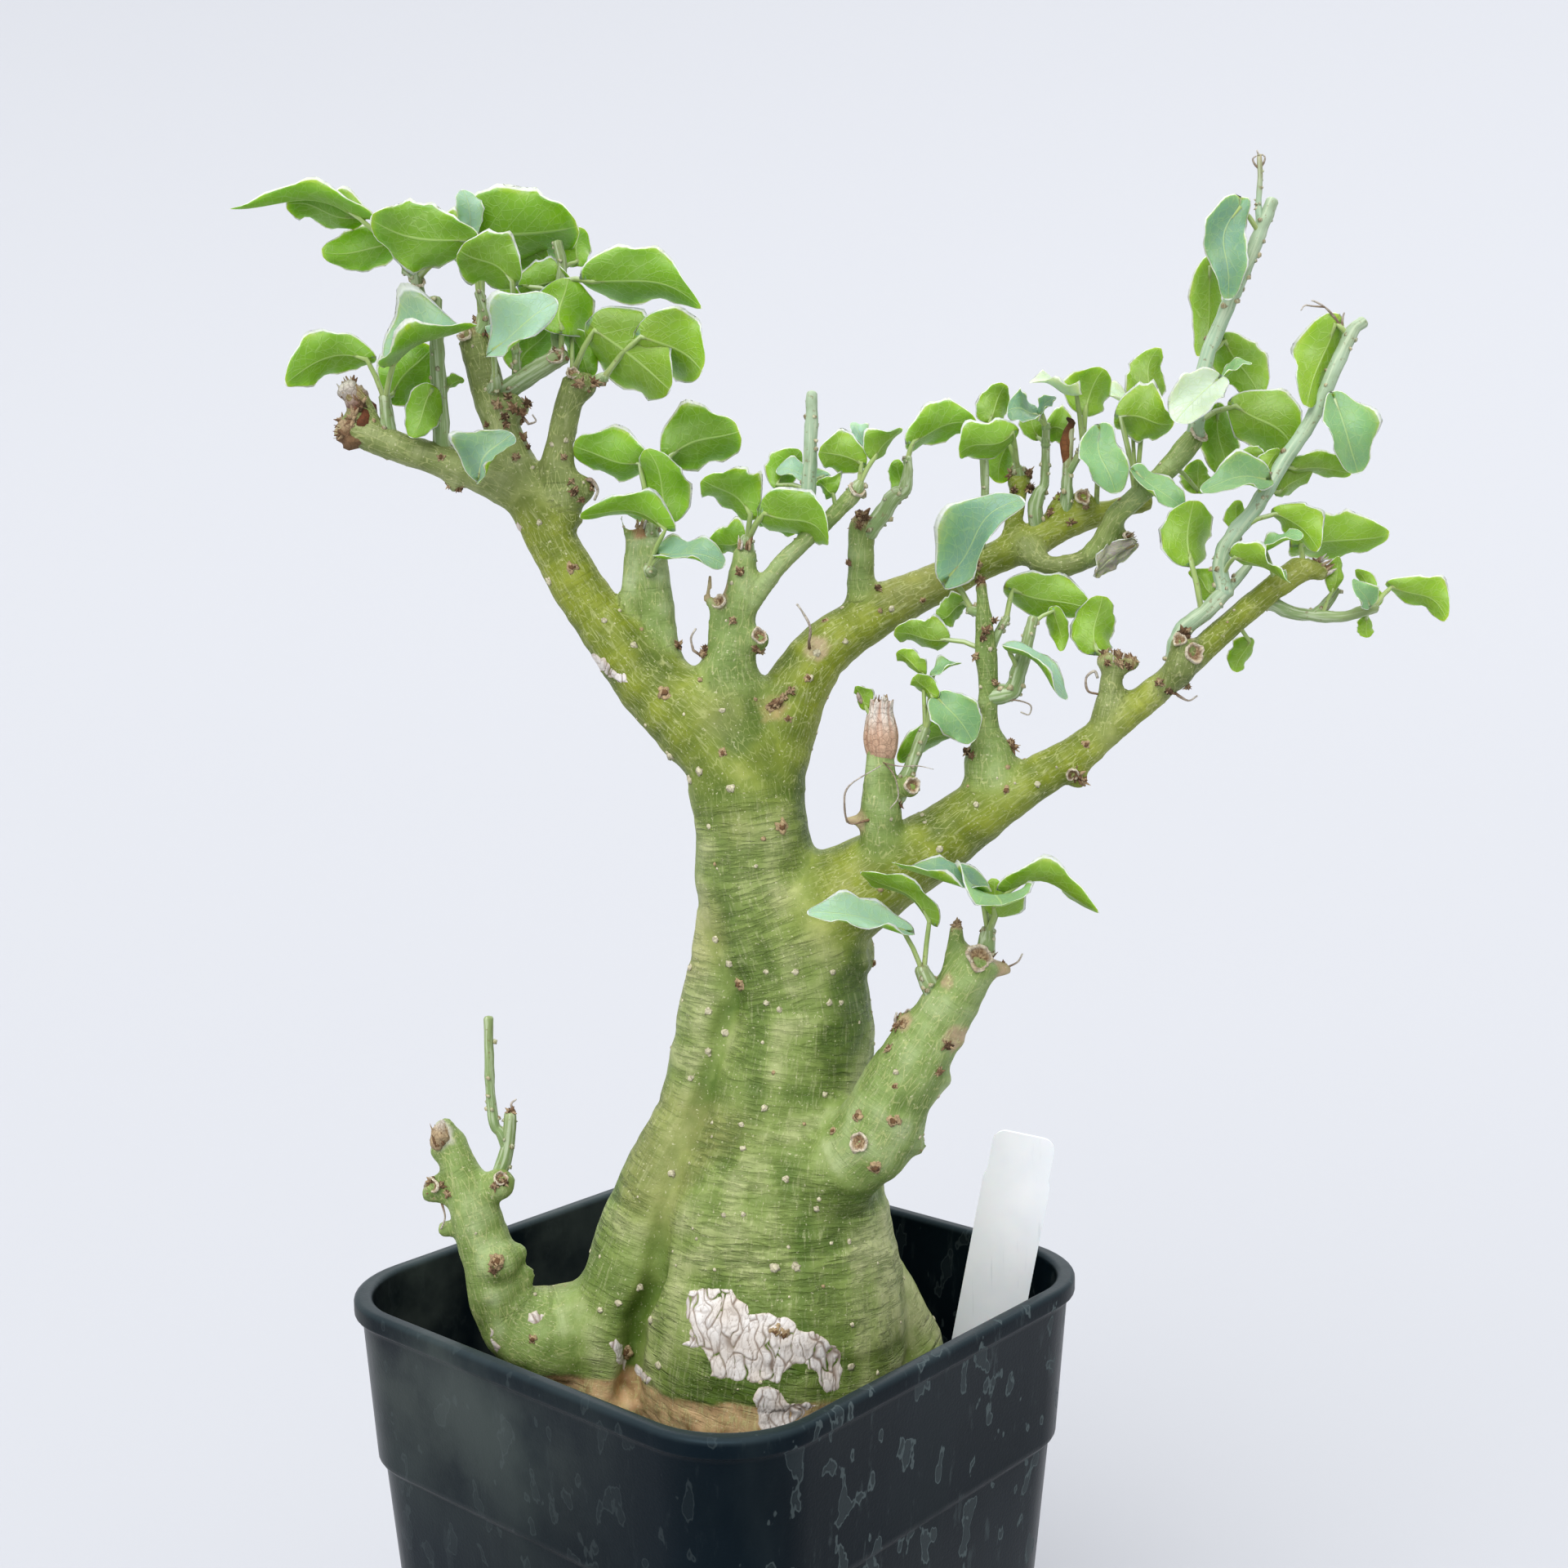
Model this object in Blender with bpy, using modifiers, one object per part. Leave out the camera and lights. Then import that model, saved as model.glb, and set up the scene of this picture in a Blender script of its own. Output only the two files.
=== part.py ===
# Potted adenia: a swollen green caudex with cut limbs and leafy shoots, in a square nursery pot.
# Metres, +Z up. The origin is the centre of the pot's underside, and the front faces -Y.
import math

import bmesh
import bpy
from mathutils import Euler, Matrix, Vector

MM = 0.001

# Pot
POT_SIDE = 133 * MM            # outer side of the square rim, corners unrounded
POT_HEIGHT = 145 * MM
POT_CORNER = 22.5 * MM         # corner radius of the rim
POT_TURN = math.radians(48.9)  # the pot stands with one corner to the front
WALL = 1.4 * MM
LIP_WIDTH = 3.6 * MM           # flat top of the rolled lip
LIP_DROP = 4.6 * MM
LIP_PROUD = 1.2 * MM           # how far the lip stands out from the wall
BAND_DROP = 38.5 * MM            # rim to the step under the shoulder band
BAND_DRAFT = 2.4 * MM          # how far the band leans in on each side
STEP_IN = 1.2 * MM
STEP_DROP = 1.6 * MM
BASE_DRAFT = 8.5 * MM          # how far the wall under the step leans in
FLOOR = 2.0 * MM
CORNER_SIDES = 4               # edges along each rounded corner
DRAIN_RADIUS = 4.5 * MM
DRAIN_OFFSET = 34 * MM         # drain holes from the centre, along each side

# Soil and label
SOIL_DROP = 38 * MM            # rim to the soil
SOIL_ROUGH = 1.1 * MM
LABEL_WIDTH = 16 * MM
LABEL_LENGTH = 122 * MM
LABEL_THICK = 0.8 * MM
LABEL_LEAN = math.radians(10.3)
LABEL_YAW = math.radians(-8)
GAP = 0.3 * MM                 # between pieces that touch

# Plant
TRUNK_VOXEL = 0.8 * MM
TRUNK_FACES = 2900             # triangles kept on the trunk
STALK_RADIUS = 0.75 * MM       # leaf stalks
STALK_SINK = 1.8 * MM          # how far a stalk runs up into its blade
BLADE_THICK = 0.7 * MM
BLADE_ROWS = 4                 # rows of faces along a leaf
SMALL_ROWS = 3                 # the same on a leaf under SMALL_LEAF mm wide
SMALL_LEAF = 8.6
BLADE_FULL = 1.08              # widens the few-sided outline to match a round one
BLADE_FOLD = 26                # degrees that each half of a blade is folded up

# The plant is laid out as it is seen in the photograph, a square picture 1920 px across. A place is
# given as (px, py, back): the point seen at that pixel, "back" mm behind the pot's middle.
VIEW_CENTRE = 960              # px
VIEW_FOCAL = 2409              # px, the camera's focal length
VIEW_EYE = Vector((16.7 * MM, -446 * MM, POT_HEIGHT + 173 * MM))
VIEW_PITCH = math.radians(7.14)
VIEW_ROLL = math.radians(-0.58)


def spot(px, py, back):
    level = Vector((1, 0, 0))
    upward = Vector((0, math.sin(VIEW_PITCH), math.cos(VIEW_PITCH)))
    forward = Vector((0, math.cos(VIEW_PITCH), -math.sin(VIEW_PITCH)))
    right = level * math.cos(VIEW_ROLL) + upward * math.sin(VIEW_ROLL)
    up = upward * math.cos(VIEW_ROLL) - level * math.sin(VIEW_ROLL)
    ray = forward + right * ((px - VIEW_CENTRE) / VIEW_FOCAL) + up * ((VIEW_CENTRE - py) / VIEW_FOCAL)
    return VIEW_EYE + ray * ((back * MM - VIEW_EYE.y) / ray.y)


LABEL_TOP = (1256, 1389, 8)   # middle of the plant label's top edge


def clear_scene():
    for obj in list(bpy.data.objects):
        bpy.data.objects.remove(obj, do_unlink=True)


def new_collection(name):
    group = bpy.data.collections.new(name)
    bpy.context.scene.collection.children.link(group)
    return group


def material(name, colour, roughness, metallic=0.0):
    mat = bpy.data.materials.new(name)
    mat.use_nodes = True
    shader = mat.node_tree.nodes["Principled BSDF"]
    shader.inputs["Base Color"].default_value = (*colour, 1)
    shader.inputs["Roughness"].default_value = roughness
    shader.inputs["Metallic"].default_value = metallic
    return mat


def object_from(bm, name, group, mat=None):
    mesh = bpy.data.meshes.new(name)
    bm.to_mesh(mesh)
    bm.free()
    obj = bpy.data.objects.new(name, mesh)
    group.objects.link(obj)
    if mat:
        mesh.materials.append(mat)
    return obj


def applied(obj, name, group, mat=None):
    # A new object from what the modifiers of obj make; obj itself is removed.
    bpy.context.view_layer.update()
    evaluated = obj.evaluated_get(bpy.context.evaluated_depsgraph_get())
    mesh = bpy.data.meshes.new_from_object(evaluated)
    mesh.transform(obj.matrix_world)
    result = bpy.data.objects.new(name, mesh)
    group.objects.link(result)
    mesh.materials.clear()
    if mat:
        mesh.materials.append(mat)
    bpy.data.objects.remove(obj, do_unlink=True)
    return result


def smooth_shading(obj, degrees=40):
    obj.data.shade_smooth()
    obj.data.set_sharp_from_angle(angle=math.radians(degrees))


def rounded_square(bm, side, corner, z):
    # One loop of vertices: a square of this side whose corners are arcs.
    loop = []
    inner = side / 2 - corner
    for quarter in range(4):
        turn = Matrix.Rotation(math.radians(90 * quarter), 3, "Z")
        for step in range(CORNER_SIDES + 1):
            angle = math.radians(90 * step / CORNER_SIDES)
            flat = Vector((inner + corner * math.cos(angle), inner + corner * math.sin(angle), 0))
            loop.append(bm.verts.new(turn @ flat + Vector((0, 0, z))))
    return loop


def skin_loops(bm, loops):
    # Faces between each loop of vertices and the next, both of the same length.
    for below, above in zip(loops, loops[1:]):
        count = len(below)
        for i in range(count):
            j = (i + 1) % count
            bm.faces.new((below[i], below[j], above[j], above[i]))


def wall_side(drop):
    # Outer side of the pot's wall, this far under the rim.
    under_lip = POT_SIDE - 2 * LIP_PROUD
    if drop <= BAND_DROP:
        return under_lip - 2 * BAND_DRAFT * drop / BAND_DROP
    below_step = under_lip - 2 * (BAND_DRAFT + STEP_IN)
    return below_step - 2 * BASE_DRAFT * (drop - BAND_DROP) / (POT_HEIGHT - BAND_DROP)


def wall_corner(side):
    return POT_CORNER - (POT_SIDE - side) / 4


def make_pot(group, cutters):
    edge = 1.0 * MM
    foot = wall_side(POT_HEIGHT)
    below = BAND_DROP + STEP_DROP
    outline = [
        (foot - 2 * edge, 0),
        (foot, edge),
        (wall_side(below), POT_HEIGHT - below),
        (wall_side(BAND_DROP), POT_HEIGHT - BAND_DROP),
        (wall_side(LIP_DROP + edge), POT_HEIGHT - LIP_DROP - edge),
        (POT_SIDE - edge, POT_HEIGHT - LIP_DROP),
        (POT_SIDE, POT_HEIGHT - edge),
        (POT_SIDE - 1.6 * edge, POT_HEIGHT),
        (POT_SIDE - 2 * LIP_WIDTH + edge, POT_HEIGHT),
        (POT_SIDE - 2 * LIP_WIDTH, POT_HEIGHT - edge),
        (wall_side(BAND_DROP) - 2 * WALL, POT_HEIGHT - BAND_DROP + WALL),
        (wall_side(below) - 2 * WALL, POT_HEIGHT - below),
        (wall_side(POT_HEIGHT) - 2 * WALL, FLOOR),
    ]
    bm = bmesh.new()
    loops = [rounded_square(bm, side, wall_corner(side), z) for side, z in outline]
    skin_loops(bm, loops)
    bm.faces.new(list(reversed(loops[0])))
    bm.faces.new(loops[-1])
    pot = object_from(bm, "pot", group, material("pot_plastic", (0.012, 0.016, 0.019), 0.42))
    pot.rotation_euler.z = POT_TURN
    for number, (x, y) in enumerate(((1, 1), (-1, 1), (-1, -1), (1, -1))):
        hole = bmesh.new()
        bmesh.ops.create_cone(
            hole, cap_ends=True, segments=12, radius1=DRAIN_RADIUS, radius2=DRAIN_RADIUS, depth=4 * FLOOR
        )
        drain = object_from(hole, f"drain_{number + 1}", cutters)
        drain.parent = pot
        drain.location = (x * DRAIN_OFFSET, y * DRAIN_OFFSET, 0)
        drain.display_type = "WIRE"
        drain.hide_render = True
        cut = pot.modifiers.new(drain.name, "BOOLEAN")
        cut.operation = "DIFFERENCE"
        cut.object = drain
    smooth_shading(pot)
    return pot


def soil_height(x, y):
    # Uneven ground: a few waves of different pitch and direction.
    waves = math.sin(310 * x + 90 * y) + math.sin(230 * y - 140 * x + 1.3) + 0.6 * math.sin(520 * x - 410 * y)
    return SOIL_ROUGH * waves / 2


def make_soil(group):
    top = POT_HEIGHT - SOIL_DROP
    rim = wall_side(BAND_DROP + STEP_DROP) - 2 * WALL - 2 * GAP
    foot = wall_side(POT_HEIGHT) - 2 * WALL - 2 * GAP
    bm = bmesh.new()
    loops = [rounded_square(bm, foot, wall_corner(foot), FLOOR + GAP)]
    for share in (1.0, 0.75, 0.4):
        loop = rounded_square(bm, rim * share, wall_corner(rim) * share, top)
        if share < 1:
            for vert in loop:
                vert.co.z += soil_height(vert.co.x, vert.co.y)
        loops.append(loop)
    skin_loops(bm, loops)
    bm.faces.new(list(reversed(loops[0])))
    bm.faces.new(loops[-1])
    soil = object_from(bm, "soil", group, material("potting_mix", (0.03, 0.022, 0.016), 0.95))
    soil.rotation_euler.z = POT_TURN
    return soil


def make_label(name, group, grow=0.0, mat=None):
    # A flat tag with a pointed foot and clipped, rounded top corners; grow thickens it all round.
    half = LABEL_WIDTH / 2
    curve = bpy.data.curves.new(name, "CURVE")
    curve.dimensions = "2D"
    curve.fill_mode = "BOTH"
    curve.extrude = LABEL_THICK / 2 + grow
    curve.offset = grow
    spline = curve.splines.new("POLY")
    outline = [
        (0, 0),
        (half, 14 * MM),
        (half, LABEL_LENGTH - 13 * MM),
        (half * 0.92, LABEL_LENGTH - 12 * MM),
        (half * 0.86, LABEL_LENGTH - 3 * MM),
        (half * 0.62, LABEL_LENGTH),
        (-half * 0.62, LABEL_LENGTH),
        (-half * 0.86, LABEL_LENGTH - 3 * MM),
        (-half * 0.92, LABEL_LENGTH - 10 * MM),
        (-half, LABEL_LENGTH - 11 * MM),
        (-half, 14 * MM),
    ]
    spline.points.add(len(outline) - 1)
    for point, (x, y) in zip(spline.points, outline):
        point.co = (x, y, 0, 1)
    spline.use_cyclic_u = True
    flat = bpy.data.objects.new(name + "_outline", curve)
    group.objects.link(flat)
    flat.rotation_euler = Euler((math.radians(90), LABEL_LEAN, LABEL_YAW))
    upward = flat.rotation_euler.to_matrix() @ Vector((0, 1, 0))
    flat.location = spot(*LABEL_TOP) - upward * LABEL_LENGTH
    label = applied(flat, name, group, mat)
    bm = bmesh.new()
    bm.from_mesh(label.data)
    bmesh.ops.remove_doubles(bm, verts=bm.verts, dist=0.01 * MM)
    bm.to_mesh(label.data)
    bm.free()
    return label


def smooth_path(points, steps):
    # More points on a smooth curve through the given ones (Catmull-Rom), radius included.
    values = [Vector((*spot(*p[:3]), p[3] * MM)) for p in points]
    ends = [values[0] * 2 - values[1], *values, values[-1] * 2 - values[-2]]
    path = []
    for a, b, c, d in zip(ends, ends[1:], ends[2:], ends[3:]):
        for step in range(steps):
            t = step / steps
            path.append(
                0.5 * (2 * b + (c - a) * t + (2 * a - 5 * b + 4 * c - d) * t**2 + (3 * b - a - 3 * c + d) * t**3)
            )
    path.append(values[-1])
    return path


def tube(name, group, points, steps=3, bevel=1):
    # A round stem along rows of (px, py, back, radius), with closed ends.
    path = smooth_path(points, steps)
    curve = bpy.data.curves.new(name, "CURVE")
    curve.dimensions = "3D"
    curve.bevel_depth = 1.0
    curve.bevel_resolution = bevel
    curve.use_fill_caps = True
    spline = curve.splines.new("POLY")
    spline.points.add(len(path) - 1)
    for point, (x, y, z, radius) in zip(spline.points, path):
        point.co = (x, y, z, 1)
        point.radius = radius
    stem = bpy.data.objects.new(name + "_curve", curve)
    group.objects.link(stem)
    solid = applied(stem, name, group)
    bm = bmesh.new()
    bm.from_mesh(solid.data)
    bmesh.ops.remove_doubles(bm, verts=bm.verts, dist=0.001 * MM)
    bm.to_mesh(solid.data)
    bm.free()
    return solid


# The caudex: lobes that run into each other. Each row is (px, py, back in mm, radius in mm).
MAIN_BODY = [
    (903, 900, 1, 10.5), (908, 955, 0, 12.5), (918, 1000, 0, 13.2), (928, 1080, 0, 14.5), (960, 1170, 0, 17), (975, 1240, -1, 18),
    (968, 1300, -2, 19), (960, 1360, -3, 21), (955, 1400, -4, 23), (950, 1450, -5, 26), (948, 1500, -6, 28),
    (947, 1550, -7, 30), (945, 1600, -8, 31.5), (940, 1650, -8, 32), (932, 1690, -8, 31), (925, 1740, -7, 27),
    (920, 1790, -5, 21), (918, 1830, -4, 14),
]
LEFT_RIDGE = [
    (899, 1130, 0, 9), (888, 1200, -1, 9), (882, 1240, -2, 9.5), (871, 1300, -2, 10), (858, 1360, -3, 10.5),
    (843, 1400, -4, 11), (818, 1450, -5, 11.5), (799, 1500, -6, 12), (782, 1550, -7, 12.5), (768, 1600, -8, 13),
    (757, 1650, -8, 13.5), (750, 1700, -8, 13), (748, 1760, -8, 11), (748, 1810, -6, 8),
]
RIGHT_FLARE = [
    (1020, 1530, -2, 13), (1050, 1580, 0, 12.5), (1072, 1620, 0, 12.5), (1090, 1660, 0, 13), (1105, 1710, 0, 12),
    (1112, 1760, 0, 9),
]
SHOULDER = [(1000, 1150, -2, 14), (1055, 1135, -4, 10.5)]
LOWER_LEFT_STUMP = [
    (545, 1388, -10, 3.3), (552, 1402, -10, 3.9), (562, 1430, -11, 4.4), (577, 1470, -12, 5.1),
    (592, 1520, -12, 6), (606, 1570, -12, 6.8), (622, 1612, -11, 7.6), (655, 1635, -10, 10.5),
    (675, 1632, -10, 11.5), (700, 1635, -9, 12), (745, 1625, -8, 13.5), (800, 1600, -6, 15),
]
LOWER_RIGHT_STUMP = [
    (980, 1440, -16, 14), (1033, 1423, -22, 10), (1072, 1387, -25, 9.9), (1097, 1337, -26, 8.6),
    (1122, 1293, -27, 8), (1150, 1248, -28, 6.1), (1178, 1207, -29, 5.5), (1203, 1168, -30, 4.8),
]

# Limbs and thick stubs, in the same form.
LEFT_LIMB = [
    (916, 985, 0, 12), (905, 935, 0, 12), (878, 904, 1, 10.8), (841, 872, 3, 9.8), (797, 836, 5, 8.4),
    (767, 800, 6, 7.4), (732, 756, 8, 6.4), (700, 705, 9, 6), (674, 659, 10, 5.9), (652, 617, 11, 5.9),
]
LEFT_FORK_OUT = [
    (655, 612, 11, 5.5), (625, 598, 11, 5), (580, 577, 10, 4.3), (530, 560, 9, 4), (485, 547, 8, 3.8),
    (450, 533, 8, 3.8), (432, 525, 8, 3.5),
]
LEFT_FORK_UP = [
    (648, 600, 11, 4.8), (630, 560, 12, 4.4), (605, 500, 12, 4.2), (590, 450, 13, 4.0), (580, 412, 13, 4.0),
]
LEFT_FORK_IN = [(690, 645, 10, 5), (686, 600, 9, 4.4), (683, 560, 9, 3.8), (690, 520, 9, 3.4), (700, 480, 8, 3.4), (708, 463, 8, 3.3)]
LEFT_BROKEN_STUB = [(453, 528, 8, 3.1), (443, 500, 8, 3.0), (430, 474, 8, 2.9)]
CENTRE_STUB = [
    (905, 880, 2, 8), (895, 840, 2, 7.5), (893, 810, 2, 6.4), (900, 770, 2, 4.8), (905, 730, 2, 3.7),
    (911, 690, 2, 3.4), (913, 668, 2, 3.2),
]
MIDDLE_STUB = [(810, 815, 6, 6), (808, 770, 7, 4.3), (803, 730, 7, 3.9), (800, 690, 7, 3.6), (797, 655, 7, 3.2)]
UPPER_RIGHT_LIMB = [
    (924, 980, 0, 11.5), (930, 945, 1, 11), (944, 915, 3, 9.4), (963, 873, 5, 8.1), (984, 829, 7, 7.4), (1010, 795, 8, 7),
    (1050, 765, 9, 6.2), (1090, 742, 10, 5.7), (1130, 722, 11, 5.1), (1175, 702, 12, 4.5), (1218, 683, 12, 4.0),
    (1262, 663, 13, 4.1), (1300, 643, 13, 3.8), (1345, 630, 14, 3.0), (1385, 617, 14, 2.8), (1412, 612, 14, 2.6),
]
UPPER_STUB = [(1055, 760, 9, 4.5), (1055, 715, 9, 3.3), (1055, 680, 9, 3.2), (1055, 655, 9, 3.3), (1055, 640, 9, 3.3)]
UPPER_KNOB = [(1294, 645, 13, 3.2), (1296, 635, 12, 3.0), (1298, 615, 12, 2.9)]
PALE_TIP = [
    (1340, 680, 5, 3.0), (1350, 668, 4, 2.8), (1362, 635, 3, 2.8), (1388, 612, 3, 2.8), (1415, 590, 3, 2.8),
    (1440, 562, 3, 2.8), (1468, 532, 3, 2.8),
]
SIDE_BRANCH = [
    (1250, 665, 12, 3.6), (1258, 672, 10, 3.4), (1275, 692, 8, 2.8), (1300, 696, 7, 2.6), (1330, 685, 6, 2.6),
    (1355, 672, 5, 2.6), (1385, 656, 5, 2.3),
]
LOWER_RIGHT_LIMB = [
    (985, 1120, -3, 13), (1040, 1092, -4, 11.5), (1085, 1065, -5, 10), (1130, 1042, -6, 8.6),
    (1170, 1015, -6, 7.6), (1205, 990, -7, 6.8), (1250, 965, -8, 5.4), (1290, 940, -8, 4.7),
    (1330, 915, -9, 4.2), (1375, 878, -9, 3.9), (1415, 845, -10, 3.7), (1455, 812, -10, 3.4),
    (1500, 770, -11, 3.2), (1540, 735, -11, 3.2), (1575, 708, -12, 3.2), (1600, 692, -12, 3.2),
]
CAPPED_STUB = [
    (1080, 1060, -9, 6.5), (1080, 1035, -10, 5), (1079, 990, -11, 4.6), (1078, 960, -11, 3.9),
    (1077, 930, -11, 3.3), (1077, 905, -11, 3.3), (1079, 880, -11, 2.9), (1079, 862, -11, 2.6),
]
POST = [(1213, 985, -7, 7), (1213, 950, -7, 6.3), (1212, 925, -7, 5.9), (1211, 912, -7, 4.6), (1209, 898, -7, 3.4)]
LOW_STUB = [(1352, 895, -9, 4.0), (1358, 850, -9, 2.9), (1364, 815, -9, 2.8)]
CUT_STUB = [(1436, 838, -12, 3.9), (1447, 815, -14, 3.7), (1450, 780, -14, 3.3)]

# Thin stubs and dry twigs, joined on once the thick limbs are done.
POST_TOP = [
    (1209, 905, -7, 3.0), (1211, 860, -7, 2.4), (1210, 835, -7, 2.6), (1207, 805, -7, 3.0), (1206, 780, -7, 2.6),
    (1204, 745, -7, 1.9), (1201, 712, -7, 1.7),
]
OFFSHOOT = [
    (908, 750, 2, 3.0), (922, 735, 1, 2.6), (950, 697, 0, 2.4), (985, 662, -1, 2.3), (1018, 633, -2, 2.3),
    (1050, 600, -3, 2.4),
]
CENTRE_SIDE_STUB = [(890, 828, 2, 2.4), (873, 798, 1, 2.1), (877, 765, 0, 2.0), (880, 735, 0, 2.0)]
CENTRE_DRY_TWIG = [(877, 750, 0, 1.1), (866, 733, 0, 1.0), (871, 700, 0, 0.9)]
MIDDLE_SIDE_STUB = [(774, 790, 6, 2.6), (768, 755, 6, 2.3), (770, 720, 7, 2.2), (774, 670, 7, 2.2), (778, 650, 7, 2.2)]
MIDDLE_DRY_TIP = [(779, 668, 7, 1.3), (784, 650, 7, 1.1), (793, 620, 7, 1.0)]
MIDDLE_DRY_TWIG = [(774, 675, 7, 1.1), (768, 660, 7, 0.9), (759, 630, 7, 0.8)]
HORNED_STUB = [(1238, 668, 12, 2.8), (1240, 650, 12, 2.6), (1243, 620, 12, 2.4), (1250, 590, 12, 2.3)]
LEFT_HORN = [(1249, 600, 12, 1.7), (1244, 588, 12, 1.5), (1240, 578, 12, 1.2)]
RIGHT_HORN = [(1251, 600, 12, 1.7), (1256, 588, 12, 1.5), (1260, 578, 12, 1.2)]
LOW_STUB_LEFT = [(1362, 828, -9, 2.3), (1356, 815, -9, 2.0), (1351, 800, -9, 1.9)]
LOW_STUB_RIGHT = [(1364, 828, -9, 2.3), (1374, 815, -10, 2.0), (1385, 806, -11, 2.0)]
STUMP_SIDE_STUB = [(1166, 1222, -28, 2.9), (1168, 1190, -29, 2.6), (1170, 1160, -28, 2.3), (1172, 1132, -28, 2.1)]
STUMP_DRY_TWIG = [(1190, 1186, -29, 1.2), (1215, 1192, -29, 0.9), (1241, 1188, -29, 0.7)]
CAPPED_SIDE_TWIG = [(1078, 1006, -11, 1.5), (1060, 1005, -11, 1.2), (1037, 1004, -11, 1.1)]
LIMB_END_NUB = [(1598, 693, -12, 2.4), (1610, 697, -12, 2.2), (1627, 700, -12, 1.2)]
CROTCH_PIN = [(1013, 1085, -4, 1.0), (1013, 1070, -4, 0.9), (1013, 1056, -4, 0.8)]

THICK_PARTS = [
    MAIN_BODY, LEFT_RIDGE, RIGHT_FLARE, SHOULDER, LOWER_LEFT_STUMP, LOWER_RIGHT_STUMP, LEFT_LIMB, LEFT_FORK_OUT,
    LEFT_FORK_UP, LEFT_FORK_IN, LEFT_BROKEN_STUB, CENTRE_STUB, MIDDLE_STUB, UPPER_RIGHT_LIMB, UPPER_STUB,
    UPPER_KNOB, PALE_TIP, SIDE_BRANCH, LOWER_RIGHT_LIMB, CAPPED_STUB, POST, LOW_STUB, CUT_STUB,
]
THIN_PARTS = [
    POST_TOP, OFFSHOOT, CENTRE_SIDE_STUB, CENTRE_DRY_TWIG, MIDDLE_SIDE_STUB, MIDDLE_DRY_TIP, MIDDLE_DRY_TWIG,
    HORNED_STUB, LEFT_HORN, RIGHT_HORN, LOW_STUB_LEFT, LOW_STUB_RIGHT, STUMP_SIDE_STUB, STUMP_DRY_TWIG,
    CAPPED_SIDE_TWIG, LIMB_END_NUB, CROTCH_PIN,
]

# Buds, scars and knobs that stand out, as (px, py, back in mm, radius in mm).
KNOBS = [
    (425, 530, 8, 3.2), (625, 497, 10, 3.5), (715, 472, 7, 3.6), (710, 600, 8, 3.8), (1328, 614, 11, 2.8),
    (535, 1455, -11, 2.3), (610, 1445, -12, 2.6), (1320, 955, -10, 2.4), 
    (1106, 1250, -26, 2.2), (1080, 1290, -25, 2.4), (1168, 1270, -26, 2.2), (1155, 1320, -25, 2.2),
    (1122, 1404, -24, 2.6), (545, 1383, -10, 2.8),
]


def make_trunk(group):
    mat = material("green_bark", (0.27, 0.31, 0.08), 0.55)
    parts = bpy.data.collections.new("limbs")
    bpy.context.scene.collection.children.link(parts)
    bm = bmesh.new()
    for points in THICK_PARTS:
        limb = tube("limb", parts, points, steps=4, bevel=8)
        bm.from_mesh(limb.data)
        bpy.data.objects.remove(limb, do_unlink=True)
    for px, py, back, radius in KNOBS:
        place = Matrix.Translation(spot(px, py, back))
        bmesh.ops.create_icosphere(bm, subdivisions=3, radius=radius * MM, matrix=place)
    rough = object_from(bm, "trunk_rough", parts)
    remesh = rough.modifiers.new("remesh", "REMESH")
    remesh.mode = "VOXEL"
    remesh.voxel_size = TRUNK_VOXEL
    soften = rough.modifiers.new("soften", "SMOOTH")
    soften.factor = 0.5
    soften.iterations = 4
    fine = applied(rough, "trunk_fine", parts)
    fewer = fine.modifiers.new("fewer", "DECIMATE")
    fewer.ratio = TRUNK_FACES / sum(len(face.vertices) - 2 for face in fine.data.polygons)
    body = applied(fine, "trunk_body", group, mat)
    for points in THIN_PARTS:
        tube("twig", parts, points, steps=1, bevel=1)
    join = body.modifiers.new("join", "BOOLEAN")
    join.operation = "UNION"
    join.operand_type = "COLLECTION"
    join.collection = parts
    join.solver = "MANIFOLD"
    trunk = applied(body, "trunk", group, mat)
    for obj in list(parts.objects):
        bpy.data.objects.remove(obj, do_unlink=True)
    bpy.data.collections.remove(parts)
    smooth_shading(trunk, 60)
    return trunk


def clearance_of(obj, name, group):
    # The same shape, larger by the gap, for cutting what stands against it.
    larger = bpy.data.objects.new(name, obj.data.copy())
    group.objects.link(larger)
    swell = larger.modifiers.new("gap", "DISPLACE")
    swell.strength = GAP
    swell.mid_level = 0
    larger.display_type = "WIRE"
    larger.hide_render = True
    return larger


def leaf(stalk, base, tip, width, face, fold=BLADE_FOLD, rise=0.0):
    # A leaf from where its stalk leaves the stem, by the base of its blade, to its tip.
    # face tilts its upper side from straight up towards the front, and rise arches it upwards.
    return {"stalk": stalk, "base": base, "tip": tip, "width": width, "face": face, "fold": fold, "rise": rise}


def half_width(along):
    # Ovate outline: widest a third of the way from the base.
    return math.sin(math.pi * along**0.62) ** 0.75 if 0 < along < 1 else 0.0


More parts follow.
